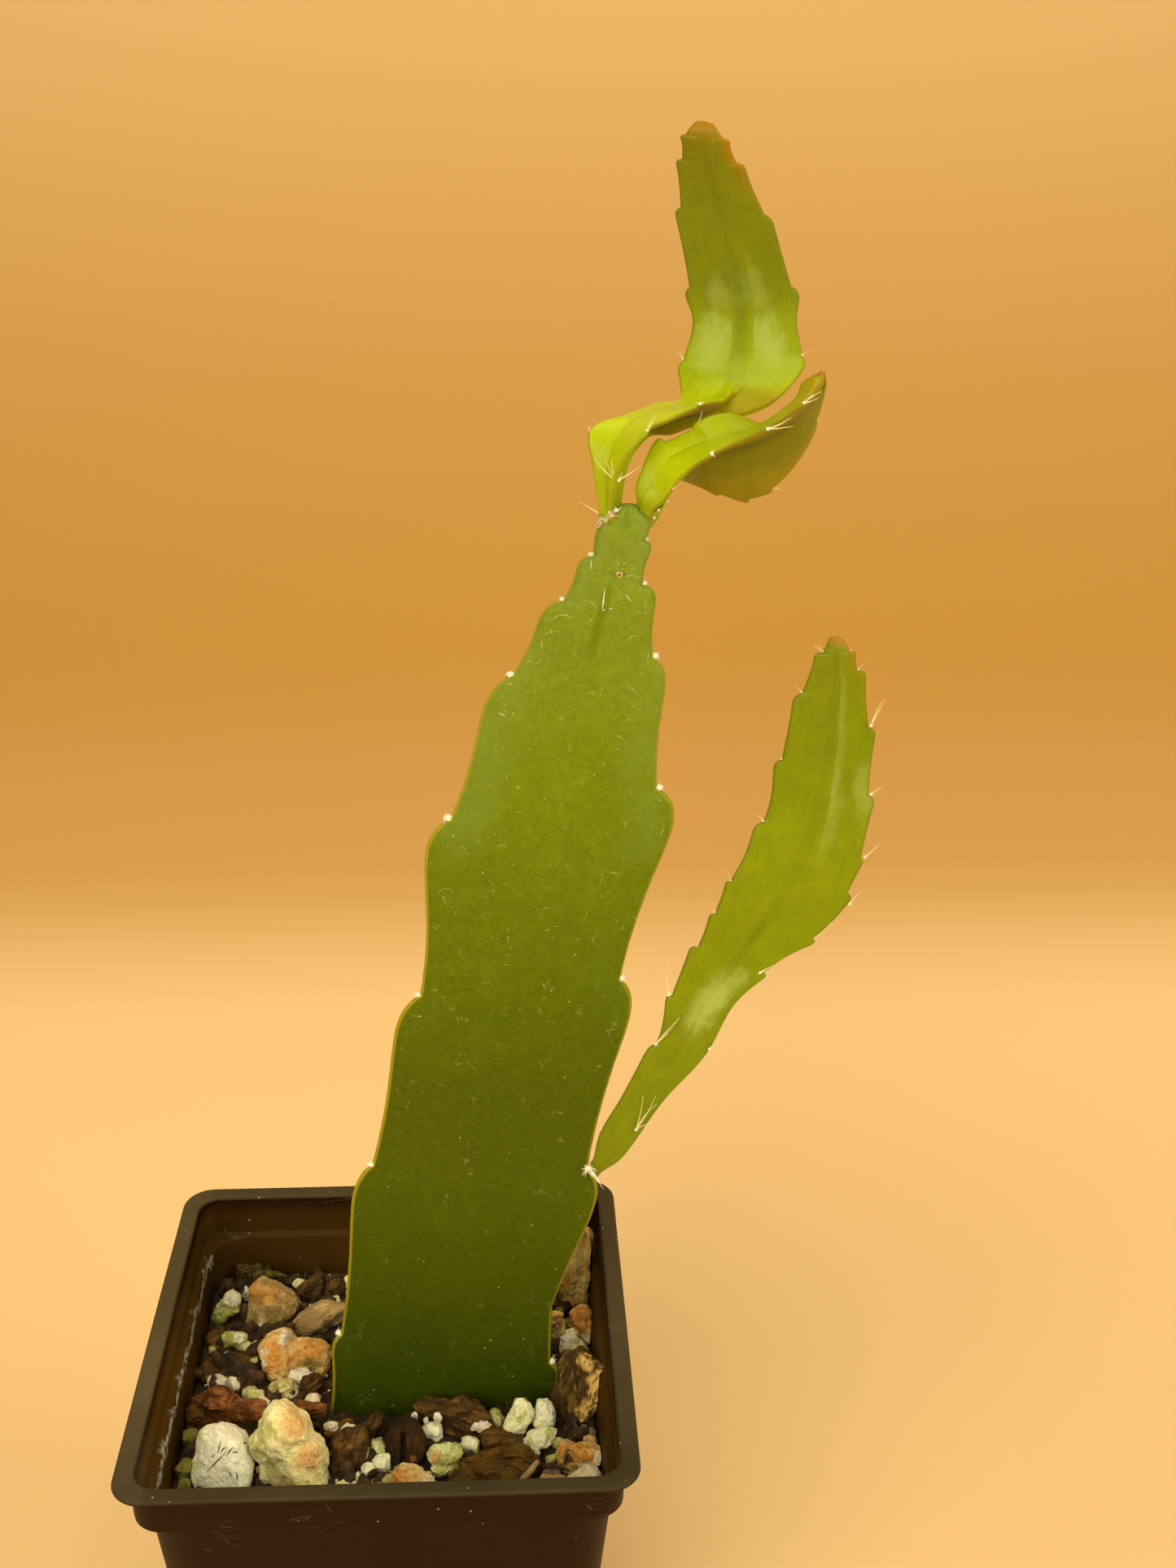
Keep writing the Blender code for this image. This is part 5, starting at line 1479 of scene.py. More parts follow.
# %% A stem with two or three wings
class WingedStem:
    """A stem known by its axis, its margins and its rows of areoles, all read at a key along it."""

    def __init__(
        self, axis, margins, areoles, swells, sharpness, core, edge, straight=False, inset=0.0, fade=None
    ):
        self.axis = axis
        self.margins = margins
        self.areoles = areoles
        self.swells = swells
        self.sharpness = sharpness
        self.core = core
        self.edge = edge
        self.read = straight_between if straight else smooth_between
        self.inset = inset
        self.fade = fade
        self.first = axis[0][0]
        self.last = axis[-1][0]

    def centre(self, key):
        return smooth_between(self.axis, key)

    def along(self, key):
        small = (self.last - self.first) * 0.004
        return (self.centre(key + small) - self.centre(key - small)).normalized()

    def thickness(self, key):
        near_end = min(key - self.first, self.last - key) / (self.last - self.first)
        share = min(1.0, 0.55 + near_end * 6.0)
        return self.core * share, self.edge * min(1.0, share + 0.2)

    def margin(self, wing, key):
        base = self.read(self.margins[wing], key)
        out = (base - self.centre(key)).normalized()
        swell = margin_swell(key, self.areoles[wing], self.swells[wing], self.sharpness)
        return base + out * (swell - self.inset)

    def outward(self, wing, key):
        return (self.margin(wing, key) - self.centre(key)).normalized()

    def last_wing_there(self, key):
        """1 where the last wing stands, 0 where it has run out into the face between the other two."""
        if self.fade is None:
            return 1.0
        start, end = self.fade
        t = clamped((key - start) / (end - start))
        return 1.0 - t * t * (3.0 - 2.0 * t)


# %% [markdown]
# A ring is drawn wing by wing: along one flank to the margin, round it on a small arc, and back along the
# other flank. A short curve then leads over to the next wing, so that the groove between two wings is a soft
# fillet. Every point also remembers how far out on its wing it lies and which face it belongs to. The
# finishes use this to draw the pale line on the margins, the painted shade in the midrib groove, and the
# painted shade, with a bronze tinge, on the shaded undersides.

# %% One ring
FLANK_START = 0.24
FLANK_STEPS = 11
ROUND_STEPS = 4
VALLEY_STEPS = 6
WING_TAPER = 1.15


def flank_shares(reach, edge):
    """Places along a wing, from near the core to just short of the margin, closer on the round margin."""
    bend = max(FLANK_START + 0.1, 1.0 - edge * 1.1 / max(reach, 1e-6))
    shares = [FLANK_START + (bend - FLANK_START) * n / FLANK_STEPS for n in range(FLANK_STEPS)]
    shares += [bend + (1.0 - bend) * math.sin(math.pi / 2 * n / ROUND_STEPS) for n in range(ROUND_STEPS)]
    return shares, bend


def wing_half(share, bend, core, tip):
    """Half a wing's thickness at a share of its reach: thinner outwards, and round past the bend."""
    half = tip + (core - tip) * (1.0 - share) ** WING_TAPER
    if share > bend:
        half *= math.sqrt(max(0.0, 1.0 - ((share - bend) / (1.0 - bend)) ** 2))
    return half


def valley(start, end, lead_out, lead_in, bulge, centre, core, count):
    """A soft curve from one wing's flank to the next one's, with the share of the wing at each point."""
    pull = (end - start).length * 0.36
    first, second = start - lead_out * pull, end - lead_in * pull
    halfway = (start + end + 3 * (first + second)) / 8
    lift = (core - (halfway - centre).dot(bulge)) * 0.9
    curve = []
    for step in range(1, count + 1):
        t = step / (count + 1)
        s = 1 - t
        point = start * s**3 + first * 3 * s * s * t + second * 3 * s * t * t + end * t**3
        curve.append((point + bulge * lift * math.sin(math.pi * t) ** 2, FLANK_START * abs(1 - 2 * t)))
    return curve


def ring_of(stem, key, fatten=None):
    """Points of one ring, with the share of the wing, the face and the wing of each."""
    centre = stem.centre(key)
    along = stem.along(key)
    core, edge = stem.thickness(key)
    margins = [stem.margin(wing, key) for wing in range(len(stem.margins))]
    outs = [(margin - centre).normalized() for margin in margins]
    sides = [along.cross(out).normalized() for out in outs]
    reaches = [(margin - centre).length for margin in margins]
    wings = len(margins)
    there = stem.last_wing_there(key)
    core = min(core, min(reaches[: wings - 1] if there < 0.5 else reaches) * 0.9)
    flanks = []
    for out, side, reach in zip(outs, sides, reaches):
        tip = min(edge, reach * 0.45)
        shares, bend = flank_shares(reach, tip)
        row = []
        for share in shares:
            half = wing_half(share, bend, core, tip)
            if fatten:
                half *= fatten(key, share)
            row.append((share, centre + out * (share * reach), side * half))
        flanks.append(row)

    def lead(before, after, count):
        start = flanks[before][0][1] + flanks[before][0][2]
        end = flanks[after][0][1] - flanks[after][0][2]
        bulge = (sides[before] - sides[after]).normalized()
        return valley(start, end, outs[before], outs[after], bulge, centre, core, count)

    ring = []
    for n in range(wings):
        if n == wings - 1:
            last_wing_start = len(ring) - (VALLEY_STEPS - 1)
        row = flanks[n]
        ring += [(middle - half, share, (n - 1) % wings, n) for share, middle, half in row]
        ring.append((margins[n], 1.0, n, n))
        ring += [(middle + half, share, n, n) for share, middle, half in reversed(row)]
        ring += [(point, share, n, n) for point, share in lead(n, (n + 1) % wings, VALLEY_STEPS - 1)]
    if there < 1.0:
        flat = lead(wings - 2, 0, len(ring) - last_wing_start)
        for n, (point, share) in enumerate(flat, last_wing_start):
            full = ring[n]
            ring[n] = (point.lerp(full[0], there), share + (full[1] - share) * there, full[2], full[3])
    return ring


# %% All the rings of a stem
def ring_keys(stem, spacing):
    """Keys that lie evenly along the stem, and closer where a tooth drops to its areole."""
    keys = {stem.first, stem.last}
    key = stem.first
    small = (stem.last - stem.first) * 0.002
    while key < stem.last:
        keys.add(key)
        ways = [(stem.centre(key + small) - stem.centre(key)).length]
        ways += [(stem.read(knots, key + small) - stem.read(knots, key)).length for knots in stem.margins]
        key += spacing * small / max(max(ways), 1e-4)
    pace = (stem.last - stem.first) / len(keys)
    for row in stem.areoles:
        for lower, upper in zip(row, row[1:]):
            gap = upper - lower
            keys.update(upper - gap * f for f in (0.22, 0.17, 0.13, 0.1, 0.075, 0.05, 0.03, 0.012, 0.0))
            keys.add(upper + pace * 0.25)
    chosen = []
    for key in sorted(k for k in keys if stem.first <= k <= stem.last):
        if not chosen or key - chosen[-1] > pace * 0.18:
            chosen.append(key)
    chosen[-1] = stem.last
    return chosen


def grow_skin(stem, spacing, ripple, fatten=None, root_rings=(), tip_height=0.0, back=Vector()):
    """Rings and marks of a whole stem; ripple pushes a point out by a few hundredths of a millimetre."""
    rings, shares, faces, keys = [], [], [], []

    def keep(key, size=1.0, shift=0.0):
        ring = ring_of(stem, key, fatten)
        centre, along = stem.centre(key), stem.along(key)
        points = []
        for point, share, face, wing in ring:
            away = point - centre
            point = point + away.normalized() * ripple(point, share, key)
            points.append(centre + (point - centre) * size + along * shift + back * shift)
            shares.append(share)
            faces.append(float(face))
            keys.append(key)
        rings.append(points)

    for depth, size in root_rings:
        keep(stem.first, size, -depth)
    for key in ring_keys(stem, spacing):
        keep(key)
    if tip_height:
        for turn in (25, 45, 62, 76, 86):
            angle = math.radians(turn)
            keep(stem.last, math.cos(angle), math.sin(angle) * tip_height)
    return rings, shares, faces, keys


print("a ring of two wings has", 2 * (2 * (FLANK_STEPS + ROUND_STEPS) + VALLEY_STEPS), "points")

# %% [markdown]
# ## The old stem
#
# The old stem is a broad blade, about 45 mm wide and 5 mm thick, thin and round at its margins. Its skin is
# dull, waxy and olive green. It is nearly black-green at the foot and greyer near the crown, with a yellow
# line on the margins and a darker streak on the upper midrib. Slugs and thrips have left pale, worm-like
# scars all over it. The larger scars are real ridges here, thin strands that hug the skin, because a scar in
# relief catches the light as the real ones do. The finest ones are drawn by the finish.

# %% The old stem's margins: (x, z, swell) of each notch
STEM_FOOT = 50.0
STEM_TOP = 244.4
STEM_CORE = 2.4
STEM_EDGE = 0.85
STEM_SHARPNESS = 8
LEFT_NOTCHES = [
    (-9.0, 89.1, 1.2),
    (-1.5, 126.1, 2.3),
    (7.8, 160.1, 2.4),
    (13.9, 193.0, 2.9),
    (24.4, 217.8, 2.2),
    (32.6, 230.2, 1.8),
    (37.2, 237.4, 1.3),
]
RIGHT_NOTCHES = [
    (30.0, 81.2, 1.4),
    (36.8, 124.2, 3.0),
    (42.3, 162.6, 2.7),
    (48.1, 197.9, 3.6),
    (47.0, 220.7, 1.8),
    (45.1, 232.7, 1.6),
    (45.3, 239.8, 1.1),
]
LEFT_FOOT = [(3.0, STEM_FOOT), (-6.0, 56.0), (-12.0, 70.0)]
RIGHT_FOOT = [(16.0, STEM_FOOT), (25.0, 56.0), (30.2, 70.0)]
RIGHT_WAIST = (29.9, 94.0)
LEFT_CROWN = [(37.4, 240.2), (37.8, 242.0), (38.7, 243.3), (40.2, STEM_TOP)]
RIGHT_CROWN = [(46.0, 240.9), (46.3, 242.1), (45.9, 243.2), (44.6, STEM_TOP)]


def margin_knots(points):
    return [(z, Vector((x, STEM_PLANE, z))) for x, z in sorted(points, key=lambda point: point[1])]


left_knots = margin_knots(LEFT_FOOT + [(x, z) for x, z, _ in LEFT_NOTCHES] + LEFT_CROWN)
right_knots = margin_knots(RIGHT_FOOT + [(x, z) for x, z, _ in RIGHT_NOTCHES] + [RIGHT_WAIST] + RIGHT_CROWN)
levels = sorted({z for z, _ in left_knots + right_knots})
old_stem = WingedStem(
    [(z, (smooth_between(left_knots, z) + smooth_between(right_knots, z)) / 2) for z in levels],
    [right_knots, left_knots],
    [[66.0] + [z for _, z, _ in RIGHT_NOTCHES], [72.0] + [z for _, z, _ in LEFT_NOTCHES]],
    [[swell for _, _, swell in RIGHT_NOTCHES], [swell for _, _, swell in LEFT_NOTCHES]],
    STEM_SHARPNESS,
    STEM_CORE,
    STEM_EDGE,
    straight=True,
)
print("the old stem is", round(STEM_TOP - SOIL_LEVEL), "mm high above the mix")


# %% The old stem's finish
SKIN_TINT = (0.67, 0.73, 0.3)
# The skin's colour from the foot, 0, to the crown, 1.
STEM_STOPS = [
    (0.0, (54, 60, 1)),
    (0.14, (84, 88, 1)),
    (0.28, (96, 97, 1)),
    (0.42, (98, 99, 1)),
    (0.58, (115, 120, 1)),
    (0.76, (136, 141, 10)),
    (0.9, (146, 150, 44)),
    (1.0, (154, 158, 62)),
]


def screen_stops(stops, last=1.0):
    """Stops of a colour ramp, from places between 0 and the last one."""
    return [(place / last, screen_colour(*colour)) for place, colour in stops]


def old_skin_finish():
    skin = Finish("old_stem_skin", Metallic=0.0, Specular_IOR_Level=0.12)
    x, y, z = skin.axes()
    share = skin.mark("share")
    height = (z - 70.0) / 175.0
    mottle = skin.cloud(9.0, detail=5, rough=0.6)
    stipple = skin.cloud(0.45, detail=4, rough=0.65)
    base = skin.node("ValToRGB", {"stops": screen_stops(STEM_STOPS)}, _0=height + 0.12 * (mottle - 0.5))
    broad = skin.cloud(24.0, detail=3)
    pebbled = skin.cloud(1.4, detail=5, rough=0.65)
    fine_grain = 0.16 * skin.rise(stipple, 0.35, 0.65) + 0.14 * skin.rise(pebbled, 0.36, 0.64)
    colour = base * (0.78 + fine_grain + 0.1 * broad) * SKIN_TINT
    colour = skin.blend(skin.rise(broad, 0.4, 0.62) * 0.3, colour, colour * (0.78, 0.86, 0.7))
    colour = skin.blend(skin.rise(mottle, 0.52, 0.72) * 0.2, colour, colour * 1.25)
    upper = skin.rise(z, 219.0, 224.0) * (1 - skin.rise(z, 231.0, 235.0))
    streak = (1 - skin.rise(share, 0.03, 0.14)) * upper
    colour = skin.blend(streak * 0.75, colour, screen_colour(98, 112, 1))
    near_margin = skin.rise(share, 0.35, 0.85) * skin.rise(z, 150.0, 200.0)
    colour = skin.blend(near_margin * skin.rise(broad, 0.42, 0.6) * 0.32, colour, screen_colour(126, 138, 50))
    rim = skin.rise(share, 0.965, 0.985)
    # The yellow margin line is painted weaker on the right margin and stronger on the left, where the light
    # falls.
    colour = skin.blend(rim * (0.8 - 0.3 * skin.rise(x, 15.0, 30.0)), colour, screen_colour(168, 146, 20))

    warped = skin.where + skin.node("TexNoise", output=1, Vector=skin.where, Scale=0.28, Detail=3.0) * 7.0
    nets = skin.cells(5.2, "DISTANCE_TO_EDGE", where=warped)
    parts = skin.rise(skin.cloud(3.4, detail=3, where=skin.where + (20.0, 5.0, 11.0)), 0.56, 0.64)
    broken = skin.rise(skin.cloud(0.8, detail=2, where=skin.where + (2.0, 25.0, 9.0)), 0.38, 0.55)
    faint = (1 - skin.rise(nets, 0.008, 0.028)) * parts * broken
    netted = faint * (0.15 + 0.35 * skin.rise(z, 110.0, 200.0))
    colour = skin.blend(netted, colour, screen_colour(188, 186, 92))
    dot_choice = skin.axes(skin.cells(3.6, output=1))[1]
    dots = (1 - skin.rise(skin.cells(3.6), 0.03, 0.06)) * skin.rise(dot_choice, 0.6, 0.62)
    colour = skin.blend(dots * 0.6, colour, screen_colour(196, 190, 110))
    skin.set(Base_Color=colour, Roughness=0.46 + 0.2 * mottle + 0.15 * faint)
    skin.set(Normal=skin.bump(stipple * 0.5 + faint * 1.5 + mottle, 0.07, 0.6))
    return skin


# %% The old stem's skin
STEM_RING_SPACING = 0.55
STEM_TIP = 1.1


def old_ripple(point, share, key):
    """The blade isn't flat: it swells and dips a little, and is smooth only on its margins."""
    slow = noise.noise(Vector((point.x * 0.06, 1.5, point.z * 0.045)))
    quick = noise.noise(point * 0.35)
    return 0.22 * slow + 0.05 * quick


def old_fatten(key, share):
    """Fuller towards the crown, where the blade is narrow and nearly round."""
    crown = clamped((key - 222.0) / 18.0)
    head = clamped((key - 236.0) / 5.0)
    return 1.0 + crown * (0.1 + 0.45 * share) + head * (0.25 + 0.5 * share)


rings, shares, _, _ = grow_skin(old_stem, STEM_RING_SPACING, old_ripple, old_fatten, tip_height=STEM_TIP)
gathered = Gathered()
gathered.skin(rings, share=shares)
old_stem_piece = gathered.piece("old_stem", [old_skin_finish()])
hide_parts("main_stem")


# %% Where the old stem's broad faces lie
def on_blade(x, z, side):
    """The point of the front (-1) or back (1) face over a place, and the share of the wing there."""
    centre = old_stem.centre(z)
    wing = 0 if x > centre.x else 1
    reach = (old_stem.margin(wing, z) - centre).length
    share = abs(x - centre.x) / reach
    if share > 0.97:
        return None, share
    core, edge = old_stem.thickness(z)
    core = min(core, reach * 0.9)
    bend = 1.0 - edge * 1.1 / reach
    half = wing_half(max(share, FLANK_START), bend, core, edge)
    if share < FLANK_START:
        half += (core - half) * 0.9 * math.sin(math.pi / 2 * (1 - share / FLANK_START)) ** 2
    half *= old_fatten(z, share)
    surface = Vector((x, STEM_PLANE + side * half, z))
    away = (surface - Vector((centre.x, STEM_PLANE, z))).normalized()
    return surface + away * old_ripple(surface, share, z), share


# %% [markdown]
# A scar is drawn as a small animal makes it: it starts somewhere, crawls with a bend that drifts and
# sometimes flips, and breaks off now and then. Some scars are small hooks instead, bent into a C. The strand
# is half sunk in the skin, and its width comes and goes.

# %% Scars on the old stem
SCAR_STEP = 0.32
SCAR_LOWEST = 80.0
SCAR_HIGHEST = 241.0
SCAR_SEED = 41
HOOKS = 56
# Each finish of the crawled scars: its number, how many, lengths, half widths.
CRAWLED = [
    (0, 230, (1.5, 3.0, 5.0, 8.0, 12.0, 15.0), (0.035, 0.045, 0.055)),
    (1, 24, (1.2, 2.0, 3.0, 4.5), (0.055, 0.065, 0.08)),
    (2, 14, (0.4, 0.7, 1.6, 2.6), (0.08, 0.1, 0.125)),
]
HOOK_WIDTHS = (0.085, 0.1, 0.12)
DULL_BELOW = 150.0
# Two straight scratches near the crown, as (x, z) places.
SCRATCHED = [((39.0, 232.6), (38.6, 229.0)), ((38.6, 229.1), (40.3, 229.4))]


def crawl(draw, x, z, length):
    """Places along one scar."""
    heading = draw.uniform(0, math.tau)
    bend = draw.choice((-1, 1)) * draw.uniform(0.05, 0.34)
    places = []
    while length > 0:
        places.append((x, z))
        x += math.cos(heading) * SCAR_STEP
        z += math.sin(heading) * SCAR_STEP
        heading += bend * SCAR_STEP * draw.uniform(0.6, 1.5)
        if draw.random() < 0.035:
            bend = -bend * draw.uniform(0.5, 1.3)
        length -= SCAR_STEP
    return places


def hook(draw, x, z):
    """Places along a scar that is bent into a C, mostly open at its foot."""
    radius = draw.choice((0.6, 0.8, 1.1, 1.5, 2.1))
    start = draw.uniform(-0.6, 0.9)
    span = draw.uniform(2.0, 4.2)
    steps = max(8, int(radius * span / 0.2))
    turns = [start + span * n / steps for n in range(steps + 1)]
    return [(x + radius * math.cos(turn), z + radius * math.sin(turn)) for turn in turns]


def add_scar(gathered, draw, places, width, side):
    """Strands along the places that lie on the blade, with gaps where a slow noise is low."""
    run = []
    for x, z in places:
        surface = on_blade(x, z, side)[0]
        gap = noise.noise(Vector((x * 0.9, z * 0.9, width * 50))) < -0.3
        if surface is None or gap or z < SCAR_LOWEST or z > SCAR_HIGHEST:
            if len(run) > 2:
                add_scar_run(gathered, run, width)
            run = []
            continue
        run.append(surface + Vector((0, side * 0.012, 0)))
    if len(run) > 2:
        add_scar_run(gathered, run, width)


def add_scar_run(gathered, run, width):
    count = len(run)
    radii = []
    for n, point in enumerate(run):
        fade = min(1.0, 0.25 + 2.5 * min(n, count - 1 - n) / count)
        radii.append(width * fade * (0.75 + 0.5 * noise.noise(point * 2.3)))
    gathered.strand(run, radii, 5)


def scar_finish(name, dark, light):
    dark, light = screen_colour(*dark), screen_colour(*light)
    scar = Finish(name, Metallic=0.0, Roughness=0.9, Specular_IOR_Level=0.0)
    tone = scar.cloud(1.3, detail=3)
    height = scar.rise(scar.axes()[2], 90.0, 230.0)
    colour = scar.blend(scar.rise(tone, 0.35, 0.65), dark, light)
    scar.set(Base_Color=scar.blend(height, colour * (0.36, 0.4, 0.04), colour))
    scar.set(Normal=scar.bump(scar.cloud(0.3), 0.05, 0.5))
    return scar


old_scars = Gathered()
draw = random.Random(SCAR_SEED)
for kind, count, lengths, widths in CRAWLED:
    for number in range(count):
        z = 84.0 + 156.0 * draw.random() ** (0.45 if kind else 0.85)
        centre = old_stem.centre(z)
        half_width = (old_stem.margin(0, z) - old_stem.margin(1, z)).length / 2
        x = centre.x + draw.uniform(-0.93, 0.93) * half_width
        gathered = Gathered()
        places = crawl(draw, x, z, draw.choice(lengths))
        add_scar(gathered, draw, places, draw.choice(widths), -1 if number % 3 else 1)
        old_scars.add(gathered.points, gathered.faces, kind)
for number in range(HOOKS):
    z = 88.0 + 146.0 * draw.random()
    half_width = (old_stem.margin(0, z) - old_stem.margin(1, z)).length / 2
    x = old_stem.centre(z).x + draw.uniform(-0.86, 0.86) * half_width
    gathered = Gathered()
    width = draw.choice(HOOK_WIDTHS) * (0.75 if z < DULL_BELOW else 1.0)
    add_scar(gathered, draw, hook(draw, x, z), width, 1 if number % 4 == 3 else -1)
    old_scars.add(gathered.points, gathered.faces, 0 if z < DULL_BELOW else 1)
for (x0, z0), (x1, z1) in SCRATCHED:
    places = [(x0 + (x1 - x0) * n / 10, z0 + (z1 - z0) * n / 10) for n in range(11)]
    gathered = Gathered()
    add_scar(gathered, draw, places, 0.13, -1)
    old_scars.add(gathered.points, gathered.faces, 2)
scar_finishes = [
    scar_finish("scar_faint", (120, 126, 18), (150, 154, 46)),
    scar_finish("scar_pale", (138, 146, 48), (178, 182, 84)),
    scar_finish("scar_bright", (190, 188, 120), (228, 224, 172)),
]
old_stem_scars = old_scars.piece("old_stem_scars", scar_finishes)

# %% [markdown]
# ## The young stems
#
# The young growth is thin, glossy and yellow-green, with a bronze tinge on the tips. The undersides carry a
# painted shade, a darker bronze-olive with a bronze tinge near the margins, and a few pale patches are part
# dull bloom and part painted sheen where the blade catches the light. Each stem is given as a row of
# stations: the axis and every margin at a station, read off one after another from the foot to the tip.

# %% The side branch: axis, right margin, left margin
SIDE_BRANCH = [
    ((38.5, -3.0, 124.6), (39.5, -3.0, 122.9), (37.7, -3.0, 126.2)),
    ((41.5, -3.0, 129.3), (43.8, -3.0, 126.7), (39.1, -3.0, 132.3)),
    ((46.9, -2.0, 139.0), (50.6, -3.0, 137.7), (43.4, -3.0, 139.8)),
    ((52.3, -1.0, 147.8), (58.0, -2.0, 146.5), (48.8, -2.0, 149.6)),
    ((56.8, 0.0, 155.8), (62.8, -1.0, 156.5), (51.8, -1.0, 159.7)),
    ((63.3, 1.5, 164.5), (70.3, 0.5, 163.3), (56.5, 0.5, 168.6)),
    ((69.1, 3.0, 173.1), (78.8, 2.0, 169.3), (61.1, 2.0, 178.3)),
    ((73.8, 4.5, 181.9), (83.7, 3.0, 179.7), (64.7, 3.5, 184.1)),
    ((76.6, 6.0, 191.1), (84.9, 4.0, 191.1), (68.1, 5.5, 191.9)),
    ((77.8, 7.0, 201.9), (84.8, 6.0, 202.9), (70.3, 6.5, 202.5)),
    ((78.4, 7.5, 211.2), (83.1, 7.0, 212.1), (72.8, 7.5, 210.6)),
    ((78.3, 7.5, 217.3), (81.2, 7.5, 217.2), (75.8, 7.5, 217.4)),
    ((78.2, 7.5, 219.9), (79.8, 7.5, 219.5), (76.7, 7.5, 219.8)),
]
SIDE_BRANCH_AREOLES = [
    [3.1, 4.7, 5.68, 6.6, 7.17, 8.15, 9.15, 10.35, 11.1],
    [1.0, 2.93, 3.83, 4.8, 5.4, 6.0, 7.55, 8.65, 9.95, 11.0],
]

# %% The left crown shoot: axis, right, left and near margins
CROWN_SHOOT_LEFT = [
    ((39.8, -3.0, 245.2), (41.7, -2.6, 245.0), (37.9, -3.0, 245.1), (40.0, -5.0, 245.2)),
    ((40.0, -2.5, 251.0), (43.0, -1.0, 251.2), (36.9, -2.0, 251.2), (41.1, -7.0, 252.3)),
    ((42.3, 1.0, 255.6), (46.2, 3.0, 254.4), (36.6, 0.0, 256.3), (45.2, -5.5, 257.2)),
    ((45.9, 4.0, 257.0), (49.8, 5.0, 254.5), (42.2, 6.0, 257.1), (48.6, -3.5, 258.5)),
    ((51.2, 7.0, 257.6), (54.2, 7.0, 255.8), (47.7, 11.0, 257.9), (53.9, 0.0, 260.0)),
    ((56.7, 10.0, 257.8), (61.7, 8.0, 256.8), (52.1, 15.0, 257.8), (58.1, 4.0, 260.0)),
    ((60.2, 12.5, 259.6), (66.9, 9.0, 259.2), (52.5, 16.0, 260.6), (60.8, 9.0, 260.8)),
    ((61.2, 13.5, 264.2), (70.9, 11.0, 264.6), (52.3, 16.0, 264.1), (61.2, 11.5, 264.9)),
    ((61.4, 14.0, 269.9), (69.9, 12.0, 270.8), (53.9, 15.5, 270.3), (61.2, 12.4, 270.1)),
    ((60.8, 14.0, 275.9), (69.1, 12.5, 276.1), (52.8, 15.0, 276.0), (60.7, 12.6, 276.0)),
    ((57.7, 13.0, 287.3), (64.6, 12.0, 286.4), (51.1, 13.5, 287.4), (57.5, 11.7, 287.3)),
    ((55.5, 11.5, 293.9), (59.9, 11.0, 294.2), (50.9, 11.5, 294.5), (55.5, 10.3, 294.0)),
    ((54.2, 10.0, 298.5), (57.4, 10.0, 298.0), (51.3, 10.0, 298.6), (54.2, 9.2, 298.5)),
    ((53.9, 10.0, 300.3), (56.0, 10.0, 299.9), (52.4, 10.0, 300.2), (53.9, 9.5, 300.3)),
]
CROWN_SHOOT_LEFT_AREOLES = [
    [1.1, 4.6, 7.15, 9.0, 10.05, 11.05, 12.0],
    [1.97, 7.0, 8.95, 10.05, 11.1, 12.0],
    [0.7, 2.03, 3.97],
]

# %% The right crown shoot: axis, top, near and bottom margins
CROWN_SHOOT_RIGHT = [
    ((45.5, -3.0, 244.7), (43.9, -2.6, 245.6), (46.4, -4.6, 244.7), (47.8, -2.3, 244.0)),
    ((46.6, -3.0, 247.9), (43.9, -2.5, 249.0), (48.7, -6.3, 247.6), (49.2, -0.6, 246.3)),
    ((48.3, -3.0, 250.9), (46.1, -1.0, 252.9), (50.4, -7.5, 250.5), (50.3, 1.0, 248.2)),
    ((51.7, -3.0, 253.2), (49.8, -0.5, 254.2), (53.2, -8.5, 253.3), (53.2, 2.0, 247.1)),
    ((55.4, -3.5, 254.6), (53.3, -0.5, 255.9), (57.1, -9.5, 255.6), (56.9, 2.5, 245.6)),
    ((59.1, -4.0, 255.6), (57.7, -1.0, 256.8), (60.5, -10.5, 257.4), (62.0, 3.0, 244.5)),
    ((62.8, -4.0, 256.8), (61.7, -1.0, 257.0), (63.4, -11.0, 259.2), (66.3, 2.5, 246.8)),
    ((66.0, -4.5, 258.9), (65.6, -2.0, 259.6), (66.1, -10.5, 260.9), (69.7, 1.0, 251.8)),
    ((68.8, -5.0, 261.6), (68.4, -2.5, 262.4), (68.7, -9.5, 262.7), (71.8, -1.0, 258.4)),
    ((70.9, -5.5, 264.6), (70.1, -4.4, 264.9), (70.9, -7.0, 264.6), (72.2, -4.4, 263.6)),
    ((71.3, -5.6, 265.8), (70.9, -5.0, 265.9), (71.2, -6.3, 265.7), (71.8, -5.2, 265.4)),
]
CROWN_SHOOT_RIGHT_AREOLES = [
    [1.3, 2.65, 4.05, 6.4],
    [1.3, 3.5, 5.7, 7.7],
    [3.35, 4.1, 5.05, 5.85, 7.9],
]
# The top margin bends more than the stations tell: it has one tall tooth, a high arch and a low pass behind
# it.
CROWN_SHOOT_RIGHT_TOP = [
    (0.0, (43.9, -2.6, 245.6)),
    (1.0, (43.9, -2.5, 249.0)),
    (2.0, (46.0, -1.2, 253.3)),
    (2.6, (47.9, -1.0, 254.8)),
    (3.0, (49.4, -1.0, 255.1)),
    (3.6, (51.4, -1.2, 255.8)),
    (3.9, (52.8, -1.4, 256.3)),
    (4.05, (53.2, -1.5, 257.8)),
    (4.5, (55.1, -1.5, 258.8)),
    (5.0, (57.5, -1.4, 259.1)),
    (5.5, (59.7, -1.0, 258.5)),
    (6.0, (62.0, -0.4, 257.3)),
    (6.5, (64.4, 0.4, 256.3)),
    (7.0, (66.4, 0.2, 258.0)),
    (7.5, (67.7, -0.8, 259.7)),
    (8.0, (68.5, -1.8, 261.8)),
    (8.5, (68.8, -2.6, 263.8)),
    (9.0, (69.6, -4.0, 264.9)),
    (10.0, (70.9, -5.0, 265.9)),
]
YOUNG_CORE = 1.25
YOUNG_EDGE = 0.45
YOUNG_SHARPNESS = 22
YOUNG_RING_SPACING = 0.4
YOUNG_TIP = 0.3


